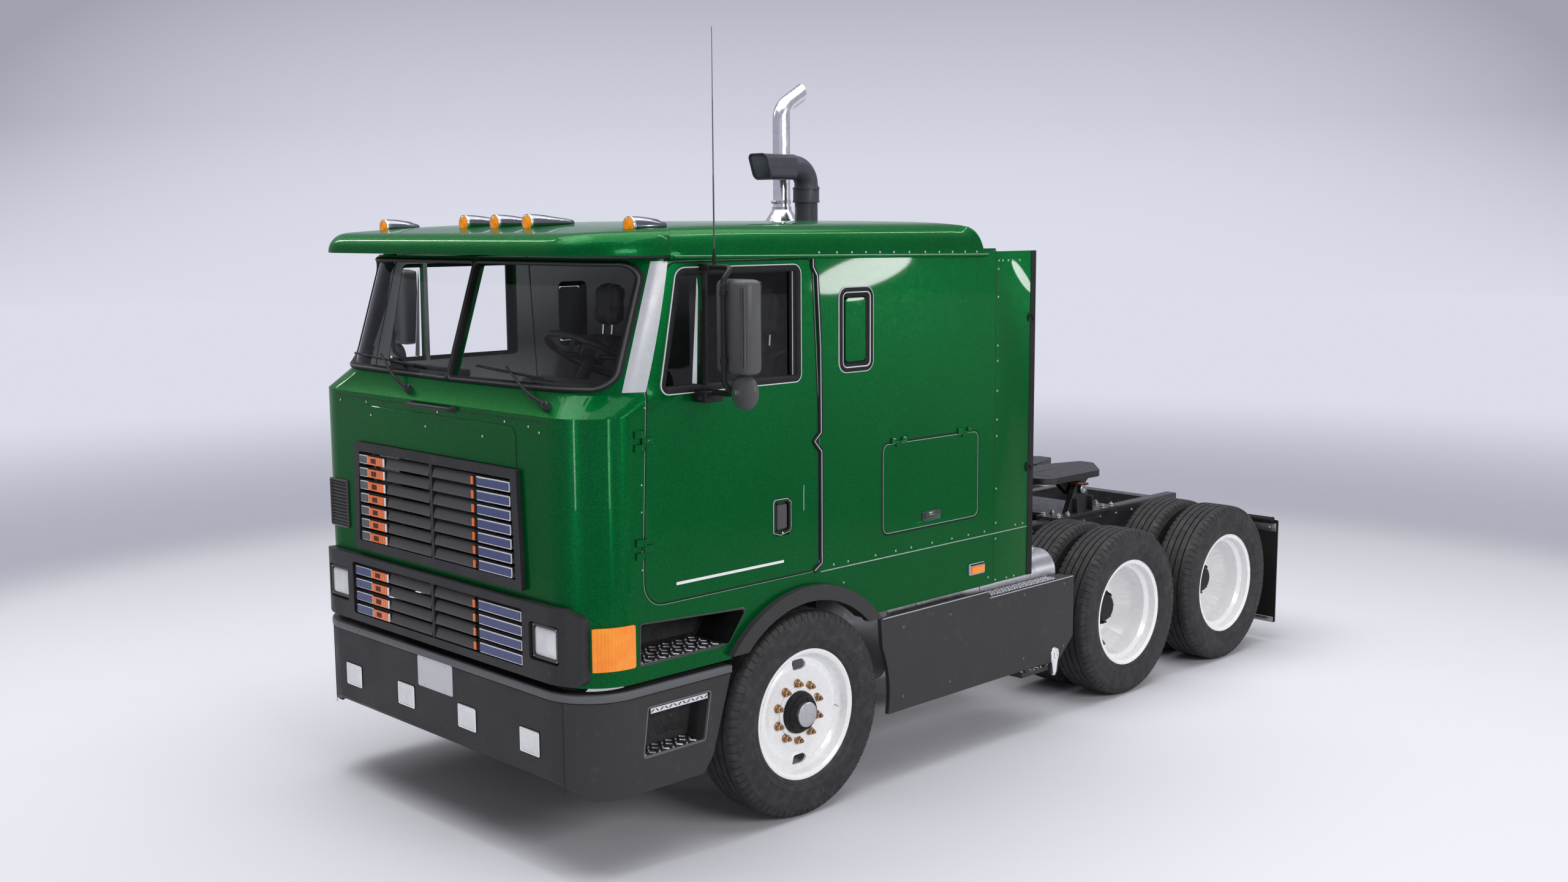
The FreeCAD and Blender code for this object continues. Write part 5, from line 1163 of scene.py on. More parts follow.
# Plan of the bumper's face, moved outwards: straight front, quarter-circle corners, straight sides.
def bumperPath(out, z):
    half, y, corner = (bumperSizes[key] for key in ("half", "y", "corner"))
    t = np.linspace(0, np.pi / 2, 15)
    x = half - corner + (corner + out) * np.sin(t)
    yy = y + corner - (corner + out) * np.cos(t)
    right = np.vstack([np.stack([x, yy], -1), [(half + out, bumperSizes["rearY"])]])
    left = right[::-1] * np.array([-1, 1])
    middle = np.stack([np.linspace(-(half - corner), half - corner, 9)[1:-1], np.full(7, y - out)], -1)
    flat = np.vstack([left, middle, right])
    return np.column_stack([flat, np.full(len(flat), z)])


# Section rows (out, z), each a path round the bumper; the rows close on themselves.
def sweptBumper(section):
    return skinned(np.stack([bumperPath(out, z) for out, z in section], 1))


def makeBumper():
    s, place = bumperSizes, onFront(bumperSizes["y"])
    fromFrame("bumperShell", "bumper", "bumper", "chassis", 0.003)
    lip = sweptBumper([(-0.030, 0.8505), (-0.006, 0.8545), (0.002, 0.8520), (0.0045, 0.845), (0.0045, 0.824),
                       (0.002, 0.8185), (-0.002, 0.8180), (-0.002, 0.8505)])
    piece("bumperLipBand", lip, "bumperLip", "chassis", sharp=50)
    groove = sweptBumper([(0.001, 0.8175), (0.0025, 0.8155), (0.001, 0.8135), (-0.002, 0.8155)])
    piece("bumperLipGroove", groove, "black", "chassis", sharp=50)
    lenses, rims, seats = [], [], []
    for x in s["lampX"]:
        loop = roundRect(*s["lamp"], 0.008, 5) + np.array([x, s["lampZ"]])
        seats.append(plate(loop, [(0.0003, -0.004), (0.0018, -0.004), (0.0022, 0.0)], place))
        rims.append(band(loop, [(0.0, 0.0003), (0.0, 0.0035), (-0.002, 0.0045), (-0.006, 0.0040), (-0.007, 0.0005)],
                         place))
        lenses.append(plate(loop, [(0.0003, 0.007), (0.0030, 0.007), (0.0038, 0.010), (0.0042, 0.03)], place))
    piece("bumperLampLenses", lenses, "lamp", "chassis", replaces=("bumper_lamps",), slot="lamp_glass")
    piece("bumperLampRims", rims, "chrome", "chassis")
    piece("bumperLampSeats", seats, "black", "chassis")
    plateLoop = roundRect(*s["plate"], 0.012, 5) + np.array([0.0, s["plateZ"]])
    piece("frontPlate", plate(plateLoop, [(0.0005, 0), (0.0025, 0), (0.0032, 0.001)], place), "plate", "chassis")
    edge = [(-0.004, 0.003), (-0.004, 0.0042), (-0.006, 0.0042), (-0.006, 0.003)]
    piece("frontPlateEdge", band(plateLoop, edge, place), "plate", "chassis")
    bolts = [(x, s["y"] - 0.0032, z) for x in (-0.09, 0.09) for z in (0.683, 0.805)]
    piece("frontPlateBolts", domes(bolts, [(0, -1, 0)], 0.006, 0.0015), "steel", "chassis")
    # A thin black line down each front corner, where the bumper's face turns: painted shade.
    for sign, side in ((1, "Left"), (-1, "Right")):
        seam = tube([(sign * 1.0, s["y"] + 0.017, z) for z in (0.40, 0.815)], 0.0016, 6)
        piece("bumperSeam" + side, seam, "black", "chassis")


def makeFront():
    grilleTiles()
    slatSkins()
    fromFrame("upperGrille", "upper_grille", "plastic", "cab", 0.002)
    fromFrame("lowerBezel", "lower_bezel", "plastic", "cab", 0.0025)
    noseDetails()
    screenTrim()
    makeWipers()
    makeHeadlights()
    makeBumper()


makeFront()
print("front made")


# Doors, sleeper side and their trim

cabPlan = {"half": 1.170, "levels": (2.070, 2.165, 2.750), "frontY": (-1.300, -1.208, -1.020),
           "corner": (0.257, 0.360, 0.360)}


# Point on the cab's left side at (y, z), moved outwards: the half width, and near the front a quarter circle
# whose start and radius follow the height.
def cabSpot(y, z, out):
    y, z, out = np.broadcast_arrays(np.asarray(y, float), np.asarray(z, float), np.asarray(out, float))
    front = np.interp(z, cabPlan["levels"], cabPlan["frontY"])
    corner = np.interp(z, cabPlan["levels"], cabPlan["corner"])
    back = np.clip(front + corner - y, 0, corner * 0.985)
    depth = np.sqrt(corner ** 2 - back ** 2)
    x = cabPlan["half"] - corner + depth
    return np.stack([x + out * depth / corner, y - out * back / corner, z], -1)


# A closed outline with points at least every step along its sides.
def fineLoop(loop, step=0.05):
    return np.vstack([np.linspace(a, b, max(2, int(np.linalg.norm(b - a) / step) + 1), endpoint=False)
                      for a, b in zip(loop, np.roll(loop, -1, 0))])


# An open 2-D path that carries a closed section of (across, height); place maps it to space.
def strip(path, section, place):
    path, section = np.asarray(path, float), np.asarray(section, float)
    ahead = np.gradient(path, axis=0)
    n = np.stack([ahead[:, 1], -ahead[:, 0]], -1)
    n /= np.linalg.norm(n, axis=1)[:, None]
    flat = path[:, None, :] + n[:, None, :] * section[None, :, :1]
    height = np.broadcast_to(section[None, :, 1], flat.shape[:2])
    return skinned(place(flat[..., 0], flat[..., 1], height))


# Points every step along straight runs, with the given corners kept.
def finePath(points, step=0.06):
    points = np.asarray(points, float)
    rows = [np.linspace(a, b, max(2, int(np.linalg.norm(b - a) / step) + 1), endpoint=False)
            for a, b in zip(points, points[1:])]
    return np.vstack(rows + [points[-1:]])


# One piece for each side of the cab: the left parts as they are, the right ones mirrored.
def bothSides(name, parts, paint, body="cab", replaces=(), **settings):
    for side, shapes in (("left", parts), ("right", mirrorParts(parts))):
        settings["replaces"] = tuple(node.replace("SIDE", side) for node in replaces)
        piece(name + side.title(), shapes, paint, body.replace("SIDE", side), **settings)


doorTrim = {
    "outline": [(-0.975, 1.220, 0.10), (-0.975, 1.475, 0.4), (-0.948, 2.110, 0.2), (-0.924, 2.253, 0.2),
                (-0.797, 2.728, 0.05), (0.075, 2.728, 0.03), (0.120, 1.950, 0.4), (0.120, 1.220, 0.06)],
    "window": [(-0.862, 2.165, 0.030), (-0.010, 2.165, 0.025), (-0.010, 2.695, 0.035), (-0.752, 2.695, 0.040)],
    "sealPath": [(0.084, 2.742), (0.084, 2.694), (0.112, 2.652), (0.133, 2.30), (0.136, 1.892), (0.090, 1.853),
                 (0.139, 1.800), (0.139, 1.246), (0.088, 1.214)],
    "handle": (-0.1265, 1.510), "handleSize": (0.111, 0.168),
    "stripe": (-0.795, -0.117, 1.2930), "stripeHeight": 0.0135,
    "screws": [(-0.985, 1.990), (-0.988, 1.765), (-0.990, 1.645), (-0.990, 1.467), (-0.992, 1.386), (-0.962, 2.104)],
}
beadSection = ridge(0.0014, -0.001, 0.0012, 0.0022)


def doorSeals():
    outline = fineLoop(roundLoop(doorTrim["outline"], 0, 7))
    gap = band(outline, [(-0.001, -0.012), (-0.001, -0.0015), (0.003, 0.0012), (0.008, 0.0005), (0.008, -0.012)],
               cabSpot)
    bothSides("doorGapSeal", [gap], "rubber")
    edge = band(outline, [(0.0082, -0.001), (0.0082, 0.0012), (0.0096, 0.0020), (0.0110, 0.0012), (0.0112, -0.001)],
                cabSpot)
    # The light green edge beside the gap is a painted highlight.
    bothSides("doorGapEdge", [edge], "edgeGreen")
    path = finePath(doorTrim["sealPath"])
    rubberStrip = strip(path, [(-0.013, -0.002), (-0.013, 0.006), (-0.009, 0.010), (-0.003, 0.0075), (0.003, 0.0075),
                               (0.009, 0.010), (0.013, 0.006), (0.013, -0.002)], cabSpot)
    bothSides("doorRearSeal", [rubberStrip], "rubber", sharp=50)
    bothSides("doorRearSealLine", [strip(path, [(-0.003, 0.007), (-0.0025, 0.0082), (0.0025, 0.0082), (0.003, 0.007)],
                                         cabSpot)], "paleLilac")
    dots = [cabSpot(y, z, 0.0) for y, z in doorTrim["screws"]]
    bothSides("doorFrontScrews", domes(dots, cabSpot(-0.985, 1.7, 1.0) - cabSpot(-0.985, 1.7, 0.0), 0.0045, 0.003),
              "steel")


def doorWindowTrim():
    loop = fineLoop(roundLoop(doorTrim["window"], 0, 7))
    gasket = band(loop, [(0.012, -0.002), (0.012, 0.005), (0.004, 0.0085), (-0.010, 0.006), (-0.020, -0.006),
                         (-0.022, -0.015), (0.0, -0.015)], cabSpot)
    bead = band(loop, [(0.0165, -0.001), (0.0165, 0.0045), (0.0145, 0.0060), (0.0115, 0.0055), (0.0115, -0.001)],
                cabSpot)
    channel = strip(finePath([(-0.0385, 2.182), (-0.0385, 2.680)]),
                    [(-0.019, -0.016), (-0.019, -0.003), (-0.006, 0.0), (0.006, -0.003), (0.018, -0.004),
                     (0.018, -0.016)], cabSpot)
    post = strip(finePath([(-0.606, 2.172), (-0.600, 2.690)]),
                 [(-0.016, -0.016), (-0.016, 0.000), (-0.008, 0.004), (0.008, 0.004), (0.016, 0.000),
                  (0.016, -0.016)], cabSpot)
    bothSides("doorWindowGasket", [gasket, channel, post], "rubber", "door_SIDE", sharp=50)
    line = [strip(finePath([(-0.0500, 2.186), (-0.0500, 2.676)]), beadSection,
                  lambda a, b, h: cabSpot(a, b, h - 0.0008))]
    bothSides("doorWindowBead", [bead] + line, "bead", "door_SIDE", sharp=50)
    taper = np.array([(-0.672, 2.190), (-0.646, 2.186), (-0.632, 2.600), (-0.637, 2.660)])
    # The vent channel takes the near-white lit lining: painted light.
    bothSides("ventChannel", [plate(taper, [(-0.0155, 0), (-0.0125, 0)], cabSpot)], "paleLining", "door_SIDE")


def doorHandle():
    y, z = doorTrim["handle"]
    w, h = doorTrim["handleSize"]
    place = onLeft(cabPlan["half"])
    outer = np.array([(-w / 2, -h / 2 + 0.012), (-w / 2 + 0.04, -h / 2), (w / 2 - 0.010, -h / 2 + 0.010),
                      (w / 2, -h / 2 + 0.024), (w / 2, h / 2 - 0.018), (w / 2 - 0.020, h / 2),
                      (-w / 2 + 0.010, h / 2), (-w / 2, h / 2 - 0.010)])
    loop = roundLoop([(y + a, z + b, 0.006) for a, b in outer], 0.006, 4)
    ring = band(loop, [(0.001, -0.001), (0.001, 0.0035), (-0.002, 0.005), (-0.011, 0.0045), (-0.0125, 0.001),
                       (-0.0125, -0.015), (0.001, -0.015)], place)
    cup = plate(loop, [(-0.0172, 0.002), (-0.0150, 0.002), (-0.0145, 0.012)], place)
    bothSides("handleCup", [ring, cup], "black", "door_SIDE", sharp=50)
    bothSides("handleEdge", [band(loop, [(0.0035, -0.001), (0.0035, 0.0025), (0.0012, 0.0030), (0.0008, -0.001)],
                                  place)],
              "bead", "door_SIDE")
    grip = roundLoop([(y - 0.034, z - 0.060, 0.008), (y + 0.034, z - 0.058, 0.008), (y + 0.034, z + 0.062, 0.008),
                      (y - 0.034, z + 0.060, 0.008)], 0.008, 4)
    bothSides("handlePaddle", [plate(grip, [(-0.013, 0.0), (-0.003, 0.0), (0.0005, 0.004), (0.0012, 0.010)], place)],
              "slat", "door_SIDE", bevel=0.001, sharp=50)
    lock = lathe([(-0.001, 0.0045), (0.0048, 0.0045), (0.0056, 0.0030), (0.0058, 0.0)],
                 (cabPlan["half"], y, z - h / 2 + 0.008), (1, 0, 0), 14)
    bothSides("doorLock", [lock], "chrome", "door_SIDE")
    stripe = doorTrim["stripe"]
    half = doorTrim["stripeHeight"] / 2
    tape = np.array([(stripe[0], stripe[2] - half), (stripe[1], stripe[2] - half * 0.9),
                     (stripe[1], stripe[2] + half * 0.9), (stripe[0], stripe[2] + half)])
    bothSides("doorStripe", [plate(tape, [(-0.0002, 0), (0.0006, 0)], place)], "stripe", "door_SIDE")
    bothSides("doorKeyLine", [strip([(0.020, 1.523), (0.020, 1.585), (0.021, 1.646)], beadSection, place)], "bead",
              "door_SIDE")


sleeper = {"seamZ": 1.201, "rivetZ": 1.2235, "lineY": 1.5005,
           "rivetY": [0.229, 0.333, 0.536, 0.691, 0.813, 0.980, 1.143, 1.282, 1.420, 1.696, 1.763],
           "columnY": 1.520, "columnZ": [2.650, 2.500, 2.236, 2.153, 1.989, 1.831, 1.740, 1.449, 1.258, 1.169, 0.938],
           "topY": [1.522, 1.556, 1.604, 1.641, 1.705], "topZ": 2.695,
           "lowSpots": [(1.457, 0.962), (1.622, 0.934), (1.689, 0.934), (0.240, 1.050), (0.300, 1.120)],
           "window": [(0.286, 2.190, 0.034), (0.495, 2.190, 0.034), (0.495, 2.570, 0.034), (0.286, 2.570, 0.034)],
           "luggage": [(0.590, 1.320, 0.04), (1.360, 1.320, 0.04), (1.360, 1.786, 0.04), (0.590, 1.786, 0.04)],
           "marker": (1.3535, 1.0275), "markerSize": (0.131, 0.063)}


def sleeperTrim():
    s, place = sleeper, onLeft(cabPlan["half"])
    seam, under = ([(y, z) for y in (0.135, 0.9, 1.800)] for z in (s["seamZ"], s["seamZ"] - 0.005))
    # The seam's ridge is light green: painted highlight.
    bothSides("sleeperSeam", [strip(seam, ridge(0.003, -0.001, 0.0012, 0.0022), place)], "edgeGreen", sharp=50)
    shade = [strip(under, bar(0.002, -0.001, 0.0004), place),
             strip([(s["lineY"], z) for z in (0.93, 1.9, 2.735)], bar(0.0016, -0.001, 0.0004), place)]
    bothSides("sleeperSeamShade", shade, "black")
    spots = [(y, s["rivetZ"]) for y in s["rivetY"]] + [(s["columnY"], z) for z in s["columnZ"]]
    spots += [(y, s["topZ"]) for y in s["topY"]] + s["lowSpots"]
    heads = domes([(cabPlan["half"] - 0.0002, y, z) for y, z in spots], [(1, 0, 0)], 0.0062, 0.0032, 8)
    bothSides("sleeperRivets", heads, "rivet")

    loop = roundLoop(s["window"], 0, 6)
    ring = [band(loop, [(0.022, -0.001), (0.022, 0.003), (0.019, 0.0055), (0.016, 0.003), (0.016, -0.001)], place),
            band(loop, [(-0.003, 0.001), (-0.003, 0.0065), (-0.006, 0.008), (-0.009, 0.0055), (-0.009, 0.001)],
                 place)]
    bothSides("bunkWindowBeads", ring, "bead", sharp=60)
    gasket = [band(loop, [(0.0165, -0.002), (0.0165, 0.004), (0.009, 0.0075), (-0.002, 0.0075), (-0.010, 0.003),
                          (-0.020, -0.004), (-0.030, -0.008), (-0.030, -0.014), (0.0, -0.014)], place)]
    bothSides("bunkWindowGasket", gasket, "rubber", sharp=60)
    inner = roundLoop([(0.318, 2.222, 0.022), (0.464, 2.222, 0.022), (0.464, 2.538, 0.022), (0.318, 2.538, 0.022)], 0,
                      6)
    bothSides("bunkWindowPanel", [plate(inner, [(-0.0155, 0), (-0.0040, 0), (-0.0020, 0.003), (-0.0018, 0.010)],
                                        place)],
              "green", slot="green_paint")

    door = fineLoop(roundLoop(s["luggage"], 0, 7), 0.2)
    bothSides("luggageSeal", [band(door, [(0.0, -0.006), (0.0, 0.0012), (0.004, 0.0035), (0.009, 0.0010),
                                          (0.009, -0.002)],
                                   place)], "rubber")
    # The luggage door's edge is light green: painted highlight.
    bothSides("luggageEdge", [band(door, [(-0.0008, -0.001), (-0.0008, 0.0014), (-0.0030, 0.0022), (-0.0050, 0.0012),
                                          (-0.0050, -0.001)], place)], "edgeGreen", "luggage_door_SIDE")
    latch = roundRect(0.146, 0.056, 0.010) + np.array([0.970, 1.375])
    pull = roundRect(0.110, 0.026, 0.008) + np.array([0.970, 1.372])
    # The latch plate and pull take the darker copy of the body green: painted shade.
    bothSides("luggageLatch", [plate(latch, [(-0.0002, 0), (0.0030, 0), (0.0045, 0.002)], place),
                               plate(pull, [(0.0040, 0), (0.0075, 0), (0.0090, 0.003)], place)], "greenShade",
              "luggage_door_SIDE", sharp=50)

    y, z = s["marker"]
    w, h = s["markerSize"]
    base = roundRect(w, h, 0.008) + np.array([y, z])
    lens = roundRect(w - 0.018, h - 0.024, 0.005) + np.array([y, z - 0.004])
    bothSides("sideMarkerRim", [plate(base, [(-0.0002, 0), (0.006, 0), (0.009, 0.003)], place)], "paleLilac",
              sharp=50)
    bothSides("sideMarkerLens", [plate(lens, [(0.008, 0), (0.0155, 0.001), (0.018, 0.005)], place)], "amber",
              sharp=50)
    top = roundRect(w - 0.010, 0.008, 0.003) + np.array([y, z + h / 2 - 0.006])
    bothSides("sideMarkerTop", [plate(top, [(0.008, 0), (0.013, 0), (0.014, 0.001)], place)], "black")
    hooks = []
    for z in (2.395, 1.555):
        hooks.append(tube(smoothPath([(1.170, 1.790, z - 0.040), (1.176, 1.786, z - 0.020), (1.177, 1.800, z + 0.004),
                                      (1.177, 1.822, z - 0.014), (1.176, 1.830, z - 0.034)], 5), 0.0045, 8))
    bothSides("extenderHooks", hooks, "black")


doorSeals()
doorWindowTrim()
doorHandle()
sleeperTrim()
print("doors and sleeper sides trimmed")


# Roof: shell with its visor, drip rails, seams and lamps

roof = {"half": 1.190, "visorHalf": 1.202, "visorY": -1.270, "visorRear": -0.826, "visorCorner": 0.300,
        "rearY": 1.400, "visorLow": 2.766, "top": 2.926, "nose": 2.852, "centreY": 0.10, "wall": 0.016,
        "drip": ((-0.800, 2.7465), (1.400, 2.7185)),
        "rivetY": [0.112, 0.236, 0.341, 0.442, 0.545, 0.649, 0.766, 0.889, 1.000, 1.107, 1.210, 1.308],
        "lamps": ((-1.025, 2.894, -0.700), (-0.267, 2.910, -0.640), (0.0, 2.910, -0.640), (0.267, 2.910, -0.640),
                  (1.025, 2.894, -0.700)), "lampY": -0.920, "lampRadius": 0.041}


# Crown of the roof at (x, y): falls with x squared to the sides and x to the eighth at the edge, slopes down
# straight from y = -0.8 to the nose, and rounds down over the last 160 mm at the rear.
def crown(x, y):
    u = np.abs(x) / roof["visorHalf"]
    across = roof["top"] - 0.028 * u ** 2 - 0.030 * u ** 8
    ahead = np.maximum(-0.86 - y, 0)
    side = 2.893 + (roof["nose"] - 2.893) * ahead / 0.41
    side = np.where(y < -0.86, side, 2.893 + 0.033 * np.sin(np.clip((y + 0.86) / 0.75, 0, 1) * np.pi / 2))
    behind = np.clip((y - 1.18) / 0.22, 0, 1)
    side = side - 0.075 * behind ** 2
    return np.minimum(across, side) - 0.010 * np.exp(-((across - side) / 0.02) ** 2)


# The shell is carried from the rim to the middle: each row is the plan drawn in by a share, and its height rises
# over the rim as a quarter ellipse up to the crown. The same rows, lower by the wall, close it from inside.
def roofShell():
    r = roof
    visor, half, rear = r["visorHalf"], r["half"], r["rearY"]
    plan = fineLoop(roundLoop([(-visor, r["visorY"], r["visorCorner"]), (visor, r["visorY"], r["visorCorner"]),
                               (visor, r["visorRear"], 0.006), (half, r["visorRear"] + 0.006, 0.004),
                               (half, rear, 0.045), (-half, rear, 0.045), (-half, r["visorRear"] + 0.006, 0.004),
                               (-visor, r["visorRear"], 0.006)],
                              0, 9), 0.09)
    centre = np.array([0.0, r["centreY"]])
    span = np.einsum("ij,ij->i", plan - centre, outwards(plan))
    drip = np.interp(plan[:, 1], [r["drip"][0][0], r["drip"][1][0]], [r["drip"][0][1], r["drip"][1][1]])
    low = np.where(plan[:, 1] < r["visorRear"] + 0.003, r["visorLow"], drip)
    frontness = np.clip((-0.92 - plan[:, 1]) / 0.30, 0, 1)
    width = np.where(plan[:, 1] < r["visorRear"] + 0.003, 0.075, 0.10) + 0.02 * frontness
    loops = []

    def row(share, depth, drop):
        flat = centre + (plan - centre) * share[:, None]
        inward = np.clip((1 - share) * span / width, 0, 1)
        rise = np.sqrt(1 - (1 - inward) ** 2.2)
        z = low + (crown(flat[:, 0], flat[:, 1]) - drop - low) * rise if depth is None else depth
        return np.column_stack([flat, z])

    ones = np.ones(len(plan))
    for share in (1.0, 0.9995, 0.998, 0.9955, 0.992, 0.987, 0.981, 0.973, 0.963, 0.95, 0.93, 0.90, 0.86, 0.80, 0.72,
                  0.62, 0.5, 0.36, 0.2, 0.06, 0.0):
        loops.append(row(ones * share, None, 0.0))
    outer = loops[::-1]
    shelf = 0.976 - 0.20 * frontness
    under = [row(ones * 0.9985, low - 0.0015, 0), row(ones * 0.994, low - 0.0015, 0),
             row(ones * 0.988, low + 0.001, 0), row(shelf, low + 0.002, 0)]
    inner = [row(shelf * 0.997, np.maximum(low + 0.02, crown(0, r["centreY"]) - 0.12), 0)]
    for share in (0.95, 0.8, 0.6, 0.4, 0.2, 0.0):
        flat = centre + (plan - centre) * (shelf * share)[:, None]
        inner.append(np.column_stack([flat, crown(flat[:, 0], flat[:, 1]) - r["wall"] - 0.022]))
    return skinned(np.stack(outer + under + inner))


def roofSorter(x, y, z, normal, corners):
    return int(normal.z < -0.25 and z > roof["visorLow"] + 0.009)


def roofTrim():
    piece("roofCap", roofShell(), ["green", "lining"], "cab", sharp=50, replaces=("roof_cap",), slot="green_paint",
          sorter=roofSorter)
    tail = block(-1.168, 1.168, 1.376, 1.499, 2.7505, 2.7615, 0.003)
    piece("roofTail", [tail], "green", "cab", slot="green_paint")
    (y0, z0), (y1, z1) = roof["drip"]
    ys = np.linspace(y0, y1, 12)
    zs = z0 + (z1 - z0) * (ys - y0) / (y1 - y0)
    place = onLeft(roof["half"])
    path = np.stack([ys, zs + 0.0055], -1)
    rail = strip(path, [(-0.0055, -0.020), (-0.0055, 0.003), (-0.001, 0.007), (0.003, 0.007), (0.0055, 0.002),
                        (0.0055, -0.020)], place)
    bothSides("dripRail", [rail], "green", sharp=50, slot="green_paint")
    # The rail's bead is light green: painted highlight.
    bead = strip(path + np.array([0, 0.0085]), ridge(0.0022, -0.004, 0.0035, 0.0050), place)
    bothSides("dripRailBead", [bead], "edgeGreen", sharp=50)
    slope = (z1 - z0) / (y1 - y0)
    heads = domes([(roof["half"] - 0.001, y, z0 + slope * (y - y0) + 0.026) for y in roof["rivetY"]], [(1, 0, 0)],
                  0.0062, 0.003, 8)
    bothSides("roofRivets", heads, "rivet")


# Bullet lamps: a tapering bright housing with a rim, and a lens of raised rings on its front.
def roofLamps():
    housings, rims, lenses = [], [], []
    y, r = roof["lampY"], roof["lampRadius"]
    for x, z, tail in roof["lamps"]:
        centre = (x, y, z)
        length = tail - y
        profile = [(0.010, r - 0.006), (0.010, r - 0.001), (0.020, r - 0.0005), (0.060, r - 0.0015),
                   (0.110, r - 0.006),
                   (0.165, r - 0.014), (length * 0.85, r - 0.0225), (length * 0.97, 0.0125), (length, 0.006)]
        housings.append(lathe(profile, centre, (0, 1, 0), 26))
        foot = roundLoop([(x - 0.036, y + 0.022, 0.010), (x + 0.036, y + 0.022, 0.010),
                          (x + 0.016, tail - 0.004, 0.012), (x - 0.016, tail - 0.004, 0.012)], 0)
        housings.append(plate(foot, [(-0.060, 0), (-0.014, 0), (-0.006, 0.006)], onTop(z)))
        rims.append(lathe([(0.004, r - 0.006), (0.003, r - 0.001), (0.007, r), (0.014, r + 0.0004),
                           (0.018, r - 0.001)], centre,
                          (0, 1, 0), 28))
        lens = [(0.012, r - 0.0045)]
        lens += [(0.0042 - 0.0022 * (i % 2) - 0.0016 * (1 - (i / 8) ** 2), (r - 0.005) * i / 8)
                 for i in range(8, 0, -1)]
        lenses.append(lathe(lens + [(0.002, 0.0)], centre, (0, 1, 0), 28))
    piece("roofLampHousings", housings, "lampShell", "cab", replaces=("marker_lights",), slot="amber_lens", sharp=50)
    piece("roofLampRims", rims, "steel", "cab", sharp=50)
    piece("roofLampLenses", lenses, "marker", "cab", slot="amber_lens", sharp=25)


roofTrim()
roofLamps()
print("roof trimmed")


# Mirrors and aerial

mirrorSizes = {"y": -0.620, "x": 1.370, "top": 2.710, "low": 2.150, "tube": 0.0125, "head": (1.286, 1.507),
               "headY": (-0.664, -0.566), "headZ": (2.241, 2.659), "spot": (1.440, 2.165), "spotRadius": 0.080,
               "aerialX": 1.255}


